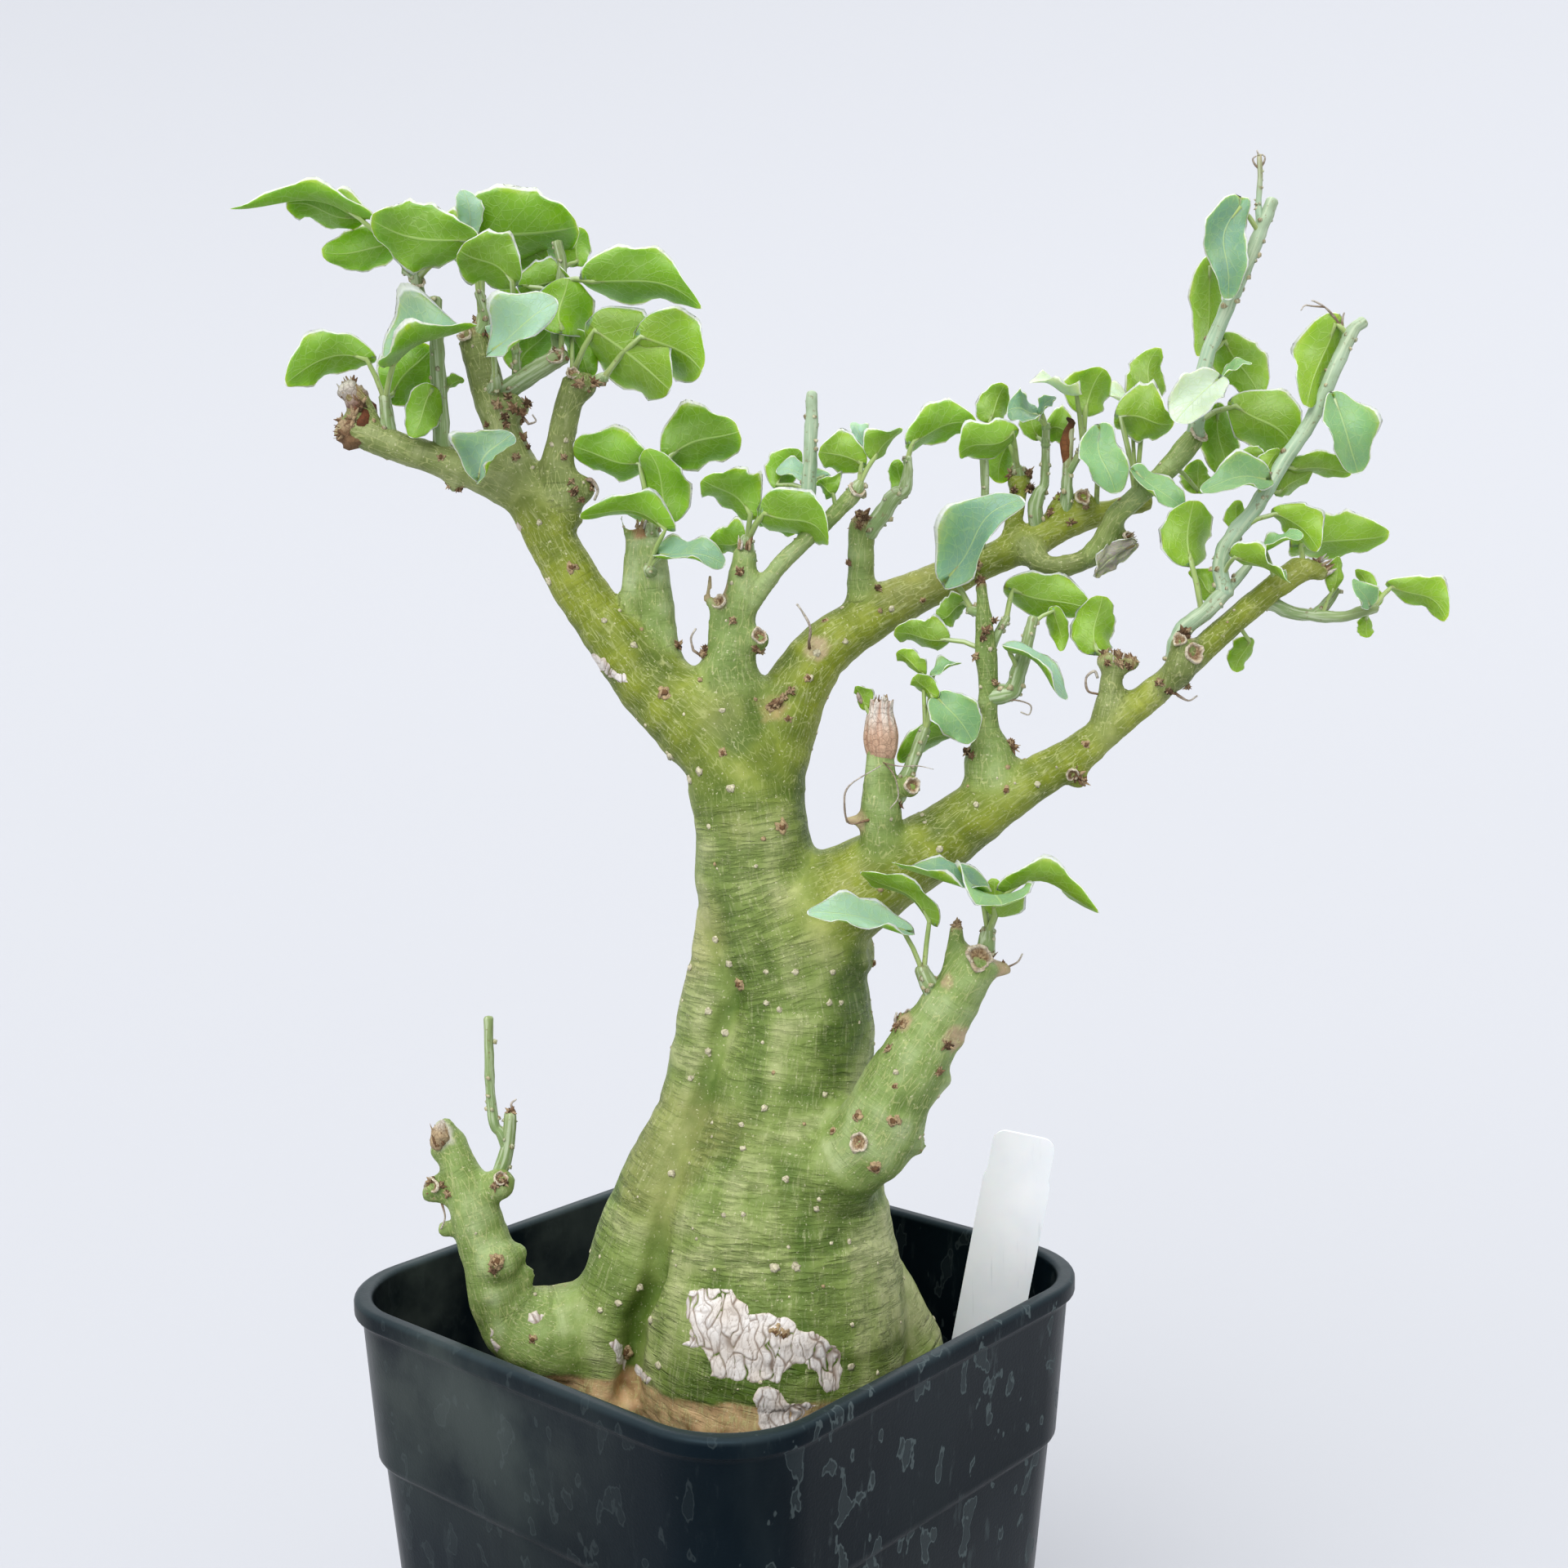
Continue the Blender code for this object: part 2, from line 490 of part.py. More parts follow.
def make_blade(data, number, group):
    base = spot(*data["base"])
    tip = spot(*data["tip"])
    axis = tip - base
    length = axis.length
    axis.normalize()
    tilt = math.radians(data["face"])
    target = Vector((0, -math.sin(tilt), math.cos(tilt)))
    normal = (target - axis * target.dot(axis)).normalized()
    side = axis.cross(normal)
    fold = math.radians(data["fold"])
    bm = bmesh.new()
    rows = SMALL_ROWS if data["width"] < SMALL_LEAF else BLADE_ROWS
    bmesh.ops.create_grid(bm, x_segments=2, y_segments=rows, size=1)
    for vert in bm.verts:
        across = round(vert.co.x)
        along = ((vert.co.y + 1) / 2) ** 1.2
        half = BLADE_FULL * data["width"] * MM / 2 * half_width(along)
        wave = 0.16 * half * math.sin(9 * along + 2.4 * number + 1.9 * across)
        lift = abs(across) * (half * math.tan(fold) + wave)
        arch = data["rise"] * MM * 4 * along * (1 - along)
        vert.co = base + axis * length * along + side * across * half + normal * lift
        vert.co.z += arch
    bmesh.ops.remove_doubles(bm, verts=bm.verts, dist=0.05 * MM)
    bmesh.ops.triangulate(bm, faces=bm.faces)
    bmesh.ops.recalc_face_normals(bm, faces=bm.faces)
    bmesh.ops.solidify(bm, geom=bm.faces[:], thickness=BLADE_THICK)
    bmesh.ops.recalc_face_normals(bm, faces=bm.faces)
    return object_from(bm, f"blade_{number}", group)


def make_stalk(data, number, group):
    # A straight three-sided stalk from inside the stem to a little way up the midrib.
    start = spot(*data["stalk"])
    base = spot(*data["base"])
    end = base + (spot(*data["tip"]) - base).normalized() * STALK_SINK
    run = end - start
    middle = Matrix.Translation((start + end) / 2) @ run.to_track_quat("Z", "Y").to_matrix().to_4x4()
    bm = bmesh.new()
    bmesh.ops.create_cone(
        bm, cap_ends=True, segments=3, radius1=1.2 * STALK_RADIUS, radius2=0.9 * STALK_RADIUS,
        depth=run.length, matrix=middle,
    )
    return object_from(bm, f"stalk_{number}", group)


def make_shoot(name, group, cutter, mat, stems, leaves):
    # Stems, stalks and blades are joined in one solid, cut clear of the trunk that it grows from.
    parts = bpy.data.collections.new(name + "_parts")
    bpy.context.scene.collection.children.link(parts)
    for number, points in enumerate(stems):
        tube(f"stem_{number}", parts, points, steps=1, bevel=1)
    for number, data in enumerate(leaves):
        make_stalk(data, number, parts)
        make_blade(data, number, parts)
    body = parts.objects[0]
    parts.objects.unlink(body)
    group.objects.link(body)
    if len(parts.objects):
        join = body.modifiers.new("join", "BOOLEAN")
        join.operation = "UNION"
        join.operand_type = "COLLECTION"
        join.collection = parts
        join.solver = "MANIFOLD"
    seat = body.modifiers.new("seat", "BOOLEAN")
    seat.operation = "DIFFERENCE"
    seat.object = cutter
    seat.solver = "MANIFOLD"
    shoot = applied(body, name, group, mat)
    for obj in list(parts.objects):
        bpy.data.objects.remove(obj, do_unlink=True)
    bpy.data.collections.remove(parts)
    smooth_shading(shoot, 50)
    return shoot


# Shoots, from the left to the right. A stem's rows are (px, py, back in mm, radius in mm).
SHOOTS = {
    "shoot_left_high": {
        "stems": [
            [(541, 562, 9, 2.4), (541, 540, 9, 2.0), (537, 463, 8, 1.8), (534, 410, 8, 1.7), (532, 367, 8, 1.6)],
            [(534, 412, 8, 1.6), (516, 370, 9, 1.5), (510, 337, 9, 1.45), (506, 312, 9, 1.3)],
            [(510, 340, 9, 1.3), (503, 334, 9, 1.2), (497, 330, 10, 1.2)],
        ],
        "leaves": [
            leaf((498, 330, 10), (441, 268, 6), (280, 256, 0), 14, -12, fold=35),
            leaf((499, 331, 10), (438, 265, 10), (350, 250, 6), 18, -50),
            leaf((497, 332, 10), (482, 298, 12), (393, 309, 10), 10.5, -75),
            leaf((511, 341, 9), (573, 294, 0), (453, 272, -3), 20, -60),
            leaf((510, 335, 9), (560, 302, 12), (506, 291, 14), 13, -55),
            leaf((508, 322, 9), (519, 305, 7), (530, 290, 6), 5, 50),
            leaf((538, 480, 8), (528, 478, 3), (503, 536, 1), 9, -70),
            leaf((539, 500, 8), (549, 473, 9), (568, 464, 9), 4, -50),
        ],
    },
    "shoot_left_end": {
        "stems": [[(478, 546, 8, 2.0), (474, 515, 8, 1.7), (471, 486, 7, 1.4)]],
        "leaves": [
            leaf((472, 489, 7), (482, 445, 2), (583, 397, -4), 17, 18, fold=38),
            leaf((471, 489, 7), (449, 440, 4), (349, 471, 0), 12, -55, rise=3),
            leaf((472, 491, 7), (480, 484, 12), (530, 425, 16), 14, -60),
        ],
    },
    "leaf_left_fork": {
        "stems": [],
        "leaves": [leaf((583, 582, 9), (588, 583, 1), (629, 534, 0), 10, 60, fold=38)],
    },
    "shoot_left_crown": {
        "stems": [
            [(585, 414, 13, 1.9), (589, 402, 12, 1.6), (591, 386, 12, 1.3)],
            [(586, 410, 12, 1.5), (595, 390, 11, 1.2), (587, 358, 11, 1.1)],
        ],
        "leaves": [
            leaf((589, 396, 12), (577, 286, 12), (566, 232, 12), 7, 65),
            leaf((590, 392, 12), (584, 285, 14), (708, 277, 9), 22, -60),
            leaf((590, 394, 12), (592, 293, 20), (672, 321, 21), 13, -65),
        ],
    },
    "shoot_left_inner": {
        "stems": [[(599, 482, 12, 1.7), (606, 472, 7, 1.4), (606, 460, 6, 1.1)]],
        "leaves": [
            leaf((606, 466, 6.5), (605, 429, -1), (683, 368, -7), 14, 48),
            leaf((606, 464, 6.5), (600, 408, 6), (615, 391, 5), 4, 50),
        ],
    },
    "shoot_left_side": {
        "stems": [
            [(606, 492, 12, 2.5), (617, 482, 11, 2.3), (650, 458, 10, 2.2), (684, 438, 10, 2.2), (689, 435, 10, 2.3)],
            [(685, 440, 10, 1.4), (680, 400, 11, 1.2), (684, 360, 12, 1.2), (688, 325, 12, 1.2), (683, 297, 12, 1.1)],
            [(633, 472, 11, 1.2), (632, 450, 10, 1.0), (632, 427, 9, 1.0)],
        ],
        "leaves": [
            leaf((632, 430, 9), (627, 344, 1), (566, 303, -5), 20, -10, fold=34),
            leaf((632, 430, 9), (628, 404, 12), (618, 348, 14), 8, -75),
            leaf((632, 445, 10), (635, 450, 14), (673, 402, 16), 11, -65),
            leaf((684, 362, 12), (640, 350, 12), (699, 342, 12), 10, -55),
            leaf((687, 330, 12), (707, 321, 15), (712, 278, 19), 7.5, -75),
            leaf((686, 345, 12), (729, 347, 8), (860, 378, 4), 19, -60, rise=3),
            leaf((687, 437, 10), (688, 402, 6), (696, 340, 10), 17, -70),
        ],
    },
    "shoot_left_knob": {
        "stems": [
            [(708, 470, 8, 1.9), (728, 467, 7, 1.4), (741, 461, 6, 1.1)],
            [(706, 470, 8, 1.6), (701, 452, 8, 1.2)],
        ],
        "leaves": [
            leaf((701, 455, 8), (700, 412, 10), (724, 463, 12), 8, -70),
            leaf((702, 456, 8), (728, 404, 4), (821, 478, 0), 20, -68),
            leaf((740, 462, 6), (785, 412, 2), (860, 455, 0), 19, -68),
        ],
    },
    "shoot_middle": {
        "stems": [[(799, 675, 7, 2.4), (798, 655, 7, 1.9), (798, 643, 7, 1.4)]],
        "leaves": [
            leaf((798, 650, 7), (783, 567, 8), (701, 546, 8), 13, -62),
            leaf((798, 650, 7), (821, 558, 10), (906, 528, 8), 16, -68),
            leaf((798, 650, 7), (818, 632, 4), (791, 549, 4), 13, -75),
            leaf((798, 655, 7), (814, 632, 12), (760, 611, 14), 10, -60),
        ],
    },
    "shoot_middle_low": {
        "stems": [[(801, 702, 7, 1.8), (796, 699, 3, 1.4), (793, 696, 2, 1.2)]],
        "leaves": [
            leaf((794, 697, 2.5), (815, 648, -1), (709, 632, -2), 10, -40),
            leaf((794, 697, 2.5), (810, 680, 1), (888, 692, -3), 11, 38),
        ],
    },
    "shoot_centre": {
        "stems": [[(913, 685, 2, 2.4), (914, 668, 2, 1.9), (915, 658, 2, 1.4)]],
        "leaves": [
            leaf((914, 666, 2), (909, 661, 7), (868, 668, 10), 10, -65),
            leaf((915, 664, 2), (919, 630, -1), (859, 587, -3), 14, -50),
            leaf((915, 664, 2), (936, 628, -3), (1015, 664, -9), 16, -60),
            leaf((915, 664, 2), (930, 632, 7), (975, 653, 9), 9, -60),
        ],
    },
    "stem_centre": {
        "stems": [[(985, 663, -1, 1.9), (987, 650, 1, 1.7), (990, 600, 1, 1.6), (993, 540, 1, 1.5), (994, 482, 1, 1.3)]],
        "leaves": [
            leaf((990, 600, 1), (952, 594, 6), (980, 551, 8), 9, -60),
            leaf((990, 596, 1), (1010, 583, 6), (950, 577, 6), 7.5, 50),
        ],
    },
    "leaf_offshoot": {
        "stems": [],
        "leaves": [leaf((1024, 628, -2), (1020, 604, -3), (1000, 590, -3), 7, -40)],
    },
    "shoot_offshoot": {
        "stems": [[(1047, 604, -3, 2.0), (1053, 592, -3, 1.5)]],
        "leaves": [
            leaf((1052, 594, -3), (1055, 567, -4), (1002, 553, -5), 10, -62),
            leaf((1052, 594, -3), (1071, 560, -4), (1104, 524, -6), 10, -30),
            leaf((1052, 594, -3), (1060, 545, 0), (1043, 517, 2), 5, 40),
        ],
    },
    "shoot_upper_stub": {
        "stems": [[
            (1055, 660, 9, 2.4), (1066, 648, 8, 2.2), (1080, 630, 8, 2.0), (1093, 609, 8, 2.0), (1107, 600, 8, 1.6),
            (1112, 575, 8, 1.1), (1111, 560, 8, 0.9),
        ]],
        "leaves": [
            leaf((1098, 606, 8), (1102, 600, 11), (1098, 562, 11), 5.5, -75),
            leaf((1111, 564, 8), (1118, 541, 8), (1197, 519, 13), 12, -58),
        ],
    },
    "shoot_thin": {
        "stems": [[(1196, 694, 12, 1.5), (1202, 650, 9, 1.1), (1206, 616, 8, 1.0), (1205, 552, 8, 1.0)]],
        "leaves": [leaf((1205, 556, 8), (1213, 514, 9), (1231, 470, 10), 9, -62)],
    },
    "shoot_horned": {
        "stems": [[(1250, 596, 12, 1.8), (1247, 580, 10.5, 1.4), (1246, 572, 10, 1.2)]],
        "leaves": [
            leaf((1246, 575, 10), (1240, 529, 2), (1174, 556, -1), 11, -50),
            leaf((1246, 575, 10), (1235, 542, 10), (1223, 592, 13), 8.5, -72),
        ],
    },
    "shoot_right_inner": {
        "stems": [[
            (1272, 658, 13, 1.8), (1268, 625, 11, 1.8), (1272, 603, 10, 1.5), (1279, 588, 10, 1.1), (1281, 520, 9, 0.9),
        ]],
        "leaves": [
            leaf((1281, 523, 9), (1268, 508, 6), (1233, 503, 4), 9.5, 62),
            leaf((1281, 523, 9), (1276, 506, 6), (1293, 486, 5), 4.5, 35),
            leaf((1280, 540, 9), (1283, 524, 13), (1315, 532, 14), 9, -70),
            leaf((1280, 545, 9), (1270, 535, 13), (1262, 495, 13), 6, -70),
        ],
    },
    "shoot_right_thin": {
        "stems": [
            [(1300, 640, 13, 2.0), (1306, 612, 10, 1.5), (1307, 575, 9, 1.2), (1311, 518, 9, 0.8)],
            [(1307, 580, 9, 1.0), (1316, 566, 8, 0.9), (1327, 545, 8, 0.8)],
        ],
        "leaves": [
            leaf((1326, 548, 8), (1318, 481, 4), (1261, 469, 0), 9, 30),
            leaf((1326, 548, 8), (1329, 503, 8), (1352, 451, 8), 13, -65),
        ],
    },
    "leaf_right_narrow": {
        "stems": [],
        "leaves": [leaf((1342, 631, 13), (1347, 528, 2), (1366, 605, -4), 11, 75)],
    },
    "shoot_limb_end": {
        "stems": [[(1388, 617, 14, 2.0), (1392, 602, 13, 1.4)]],
        "leaves": [
            leaf((1391, 606, 13), (1372, 510, 8), (1438, 518, 6), 14, -62),
            leaf((1391, 606, 13), (1384, 493, 16), (1340, 480, 18), 5, 40),
            leaf((1391, 606, 13), (1402, 494, 14), (1420, 425, 15), 10, -68),
        ],
    },
    "leaf_pale_tip": {
        "stems": [],
        "leaves": [leaf((1391, 610, 3), (1391, 579, -1), (1453, 630, -4), 8.5, 50)],
    },
    "leaf_pale_tip_under": {
        "stems": [],
        "leaves": [leaf((1434, 569, 3), (1466, 600, 7), (1468, 562, 9), 8, -70)],
    },
    "shoot_tall_left": {
        "stems": [
            [
                (1464, 536, 3, 2.2), (1466, 500, 2, 1.8), (1477, 440, 1, 1.7), (1507, 367, 0, 1.6), (1526, 325, 0, 1.6),
                (1545, 279, 0, 1.55), (1558, 246, 0, 1.4),
            ],
            [(1543, 283, 0, 1.0), (1541, 250, 0, 0.7), (1543, 220, 0, 0.6), (1542, 190, 0, 0.5)],
        ],
        "leaves": [
            leaf((1542, 285, 0), (1527, 264, -3), (1500, 367, -8), 13, 70),
            leaf((1524, 328, 0), (1482, 326, 4), (1470, 438, 6), 8, -78),
            leaf((1468, 495, 2), (1490, 466, -4), (1439, 517, -10), 11, 60),
            leaf((1471, 478, 2), (1490, 468, -2), (1533, 445, -4), 4, 20),
            leaf((1477, 442, 1), (1500, 417, 2), (1545, 487, 4), 12, -55),
            leaf((1464, 518, 2.5), (1513, 497, -2), (1586, 553, -4), 16, -70),
            leaf((1464, 522, 3), (1492, 503, 2), (1503, 588, 4), 9.5, -76),
        ],
    },
    "shoot_tall_right": {
        "stems": [
            [(1440, 808, -11, 2.5), (1445, 776, -11, 2.0), (1475, 750, -12, 1.9), (1503, 722, -12, 1.8)],
            [
                (1500, 727, -12, 1.9), (1495, 690, -12, 1.8), (1507, 660, -12, 1.9), (1540, 618, -12, 1.75),
                (1571, 566, -12, 1.7), (1611, 504, -12, 1.6), (1652, 413, -12, 1.5), (1669, 394, -12, 1.4),
            ],
            [(1501, 724, -12, 1.3), (1512, 712, -11, 1.1), (1529, 692, -10, 1.0)],
        ],
        "leaves": [
            leaf((1652, 413, -12), (1636, 396, -12), (1600, 499, -15), 11, -62),
            leaf((1609, 506, -12), (1634, 490, -14), (1663, 580, -17), 12, 45),
            leaf((1567, 572, -12), (1585, 574, -10), (1656, 579, -10), 8, -50),
            leaf((1549, 604, -12), (1566, 603, -10), (1608, 576, -8), 8.5, -68),
            leaf((1539, 619, -12), (1548, 588, -14), (1470, 602, -18), 9, 45),
            leaf((1550, 600, -12), (1547, 570, -9), (1520, 553, -8), 6, -60),
            leaf((1551, 598, -12), (1550, 582, -13), (1566, 549, -13), 5, -50),
            leaf((1516, 649, -12), (1563, 629, -14), (1615, 674, -18), 9, -45, rise=2),
            leaf((1515, 650, -12), (1518, 647, -9), (1515, 612, -8), 5, -70),
            leaf((1472, 752, -12), (1458, 686, -12), (1462, 612, -12), 14, -72),
            leaf((1497, 705, -12), (1512, 682, -18), (1580, 714, -25), 8.5, -30),
            leaf((1482, 744, -12), (1486, 728, -10), (1455, 700, -7), 6, -60),
        ],
    },
    "leaf_near_tip": {
        "stems": [],
        "leaves": [leaf((1562, 717, -12), (1549, 673, -17), (1596, 656, -23), 6, 40)],
    },
    "leaf_limb_tip": {
        "stems": [],
        "leaves": [leaf((1596, 692, -12), (1592, 668, -8), (1702, 655, -6), 13, -66)],
    },
    "leaf_behind_limb": {
        "stems": [],
        "leaves": [leaf((1510, 762, -11), (1530, 785, -7), (1512, 823, -6), 6.5, -65)],
    },
    "shoot_right_end": {
        "stems": [
            [
                (1543, 732, -11, 2.0), (1560, 741, -10, 1.6), (1589, 751, -9, 1.4), (1641, 755, -10, 1.3),
                (1684, 744, -10, 1.3),
            ],
            [(1608, 753, -9.5, 1.2), (1622, 742, -8, 1.2), (1637, 722, -8, 0.9)],
        ],
        "leaves": [
            leaf((1619, 754, -9.5), (1632, 722, -12), (1639, 681, -12), 5, -50),
            leaf((1679, 746, -10), (1675, 740, -13), (1656, 709, -15), 6, 60),
            leaf((1682, 745, -10), (1685, 738, -9), (1660, 697, -8), 5, -40),
            leaf((1682, 744, -10), (1705, 718, -10), (1772, 759, -12), 8.5, -50),
            leaf((1676, 746, -10), (1673, 757, -9), (1675, 781, -9), 4.5, -75),
        ],
    },
    "shoot_post_top": {
        "stems": [[(1204, 750, -7, 1.5), (1194, 748, -5, 1.2), (1187, 746, -4, 1.1)]],
        "leaves": [
            leaf((1190, 747, -4.5), (1164, 705, -4), (1252, 613, -11), 14, 50),
            leaf((1190, 747, -4.5), (1180, 738, -2), (1148, 758, -1), 7, -65),
        ],
    },
    "leaf_post_left": {
        "stems": [],
        "leaves": [leaf((1205, 796, -7), (1156, 783, -5), (1094, 775, -4), 9, -60)],
    },
    "shoot_post_right": {
        "stems": [[(1207, 805, -7, 1.4), (1225, 770, -6, 1.0), (1233, 757, -5, 0.9)]],
        "leaves": [leaf((1232, 759, -5), (1240, 722, -2), (1337, 746, -4), 12, -68)],
    },
    "leaf_post_low": {
        "stems": [],
        "leaves": [leaf((1205, 916, -7), (1166, 899, -7), (1099, 932, -5), 10, -60)],
    },
    "shoot_post_stub": {
        "stems": [[
            (1212, 853, -7, 2.3), (1228, 850, -8, 2.1), (1240, 845, -8, 2.0), (1250, 815, -8, 1.8), (1258, 785, -8, 1.4),
            (1265, 757, -8, 1.1),
        ]],
        "leaves": [
            leaf((1263, 765, -8), (1290, 748, -6), (1300, 798, -6), 5, -65),
            leaf((1247, 823, -8), (1235, 797, -12), (1307, 857, -16), 9, 20),
        ],
    },
    "leaf_low_stub": {
        "stems": [],
        "leaves": [leaf((1353, 806, -9), (1342, 795, -9), (1350, 729, -7), 11, -70)],
    },
    "shoot_capped_stub": {
        "stems": [[
            (1082, 992, -11, 2.2), (1098, 978, -11, 1.8), (1106, 960, -11, 1.9), (1114, 942, -11, 1.5), (1125, 912, -11, 1.3),
            (1133, 893, -11, 1.2),
        ]],
        "leaves": [
            leaf((1132, 897, -11), (1150, 857, -12), (1191, 909, -15), 10.5, 72),
            leaf((1133, 895, -11), (1130, 824, -10), (1098, 798, -10), 5.5, -50),
            leaf((1133, 896, -11), (1142, 854, -12), (1120, 827, -13), 6, -50),
            leaf((1133, 896, -11), (1143, 826, -9), (1178, 812, -9), 4.5, 10),
        ],
    },
    "leaf_capped_stub": {
        "stems": [],
        "leaves": [leaf((1075, 897, -11), (1060, 866, -12), (1048, 840, -12), 5, -30)],
    },
    "shoot_stump_left": {
        "stems": [[(1148, 1232, -29, 2.2), (1137, 1205, -29, 1.9), (1128, 1186, -29, 1.6)]],
        "leaves": [
            leaf((1131, 1192, -29), (1138, 1128, -29), (1053, 1068, -27), 9, -45),
            leaf((1130, 1190, -29), (1106, 1140, -31), (988, 1118, -36), 9, 25),
        ],
    },
    "shoot_stump_right": {
        "stems": [[(1205, 1168, -30, 2.2), (1209, 1150, -30, 1.8), (1210, 1138, -30, 1.4)]],
        "leaves": [
            leaf((1210, 1142, -30), (1200, 1088, -32), (1092, 1056, -38), 11, 25),
            leaf((1210, 1146, -30), (1233, 1093, -31), (1346, 1118, -36), 12, -25, rise=2),
            leaf((1210, 1144, -30), (1218, 1121, -33), (1226, 1108, -50), 16, 5),
            leaf((1210, 1143, -30), (1213, 1114, -28), (1217, 1075, -26), 6, -70),
        ],
    },
    "stem_lower_left": {
        "stems": [
            [(600, 1462, -12, 2.0), (610, 1440, -11, 1.8), (621, 1408, -11, 1.6), (625, 1365, -11, 1.4)],
            [(621, 1404, -11, 1.4), (613, 1387, -11, 1.3), (605, 1375, -11, 1.2), (600, 1330, -11, 1.15), (598, 1247, -11, 1.1)],
        ],
        "leaves": [],
    },
    "dead_leaf": {
        "stems": [],
        "leaves": [leaf((1384, 660, 4.5), (1387, 672, 2), (1340, 706, -1), 4.5, -50, fold=20)],
    },
}


def main():
    clear_scene()
    group = new_collection("potted_adenia")
    cutters = new_collection("cutters")
    make_pot(group, cutters)
    soil = make_soil(group)
    make_label("plant_label", group, mat=material("label_plastic", (0.72, 0.79, 0.83), 0.4))
    label_hole = make_label("label_hole", cutters, grow=GAP)
    label_hole.display_type = "WIRE"
    label_hole.hide_render = True
    trunk = make_trunk(group)
    trunk_hole = clearance_of(trunk, "trunk_hole", cutters)
    for hole in (trunk_hole, label_hole):
        cut = soil.modifiers.new(hole.name, "BOOLEAN")
        cut.operation = "DIFFERENCE"
        cut.solver = "MANIFOLD"
        cut.object = hole
    green = material("leaf_green", (0.17, 0.37, 0.10), 0.45)
    dead = material("dead_leaf_grey", (0.33, 0.29, 0.27), 0.8)
    for name, shoot in SHOOTS.items():
        mat = dead if name == "dead_leaf" else green
        make_shoot(name, group, trunk_hole, mat, shoot["stems"], shoot["leaves"])


main()
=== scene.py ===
import math
import random

import bmesh
import bpy
import numpy as np
from mathutils import Euler, Matrix, Vector
from mathutils.bvhtree import BVHTree
from mathutils.geometry import intersect_point_line
from mathutils.noise import noise, voronoi


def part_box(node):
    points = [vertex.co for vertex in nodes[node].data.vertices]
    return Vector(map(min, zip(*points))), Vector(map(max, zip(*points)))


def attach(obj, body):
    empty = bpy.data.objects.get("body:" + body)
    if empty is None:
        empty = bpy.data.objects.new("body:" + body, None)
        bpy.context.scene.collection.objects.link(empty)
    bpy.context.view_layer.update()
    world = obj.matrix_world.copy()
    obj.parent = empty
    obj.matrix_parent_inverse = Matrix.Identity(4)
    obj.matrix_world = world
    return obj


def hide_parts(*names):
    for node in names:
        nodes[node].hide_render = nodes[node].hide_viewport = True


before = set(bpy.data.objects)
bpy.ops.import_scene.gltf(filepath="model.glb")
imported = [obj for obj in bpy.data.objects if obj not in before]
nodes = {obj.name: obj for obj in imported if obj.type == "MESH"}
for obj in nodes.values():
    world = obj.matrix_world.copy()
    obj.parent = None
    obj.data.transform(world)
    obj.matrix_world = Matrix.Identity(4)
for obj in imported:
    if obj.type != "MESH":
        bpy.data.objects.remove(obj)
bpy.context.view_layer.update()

mm = 0.001
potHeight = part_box("pot")[1][2]
draw = random.Random(8)

# where the photograph was taken from, solved from the pot's rim; the picture is 1920 px square
photoView = {
    "centre": 960,
    "focal": 2409,
    "eye": Vector((16.7 * mm, -446 * mm, potHeight + 173 * mm)),
    "pitch": 7.14,
    "roll": -0.58,
}


def viewAxes():
    pitch = math.radians(photoView["pitch"])
    roll = math.radians(photoView["roll"])
    level = Vector((1, 0, 0))
    upward = Vector((0, math.sin(pitch), math.cos(pitch)))
    forward = Vector((0, math.cos(pitch), -math.sin(pitch)))
    right = level * math.cos(roll) + upward * math.sin(roll)
    up = upward * math.cos(roll) - level * math.sin(roll)
    return right, up, forward


viewRight, viewUp, viewForward = viewAxes()


def viewRay(px, py):
    across = (px - photoView["centre"]) / photoView["focal"]
    rise = (photoView["centre"] - py) / photoView["focal"]
    return viewForward + viewRight * across + viewUp * rise


def spot(px, py, back):
    # the point seen at this pixel, back mm behind the pot's middle
    ray = viewRay(px, py)
    return photoView["eye"] + ray * ((back * mm - photoView["eye"].y) / ray.y)


def pixelOf(point):
    seen = point - photoView["eye"]
    depth = seen.dot(viewForward)
    px = photoView["centre"] + photoView["focal"] * seen.dot(viewRight) / depth
    py = photoView["centre"] - photoView["focal"] * seen.dot(viewUp) / depth
    return px, py


def rgb(red, green, blue):
    # a screen colour, 0 to 255, as the linear one that shaders take
    shares = [c / 255 for c in (red, green, blue)]
    return tuple(c / 12.92 if c <= 10 / 255 else ((c + 0.055) / 1.055) ** 2.4 for c in shares)


def blend(a, b, share):
    share = min(max(share, 0), 1)
    return tuple(x + (y - x) * share for x, y in zip(a, b))


def smoothStep(low, high, value):
    t = min(max((value - low) / (high - low), 0), 1)
    return t * t * (3 - 2 * t)


# node helpers

def newMaterial(name):
    mat = bpy.data.materials.new(name)
    mat.use_nodes = True
    return mat, mat.node_tree, mat.node_tree.nodes["Principled BSDF"]


def addNode(tree, kind, **settings):
    node = tree.nodes.new(kind)
    for key, value in settings.items():
        setattr(node, key, value)
    return node


def plug(tree, target, value):
    if isinstance(value, bpy.types.NodeSocket):
        tree.links.new(value, target)
    else:
        target.default_value = value


def coordsOf(tree, attribute=None, scale=(1, 1, 1)):
    if attribute:
        source = addNode(tree, "ShaderNodeAttribute", attribute_name=attribute).outputs["Vector"]
    else:
        source = addNode(tree, "ShaderNodeTexCoord").outputs["Object"]
    mapping = addNode(tree, "ShaderNodeMapping")
    mapping.inputs["Scale"].default_value = scale
    tree.links.new(source, mapping.inputs["Vector"])
    return mapping.outputs["Vector"]


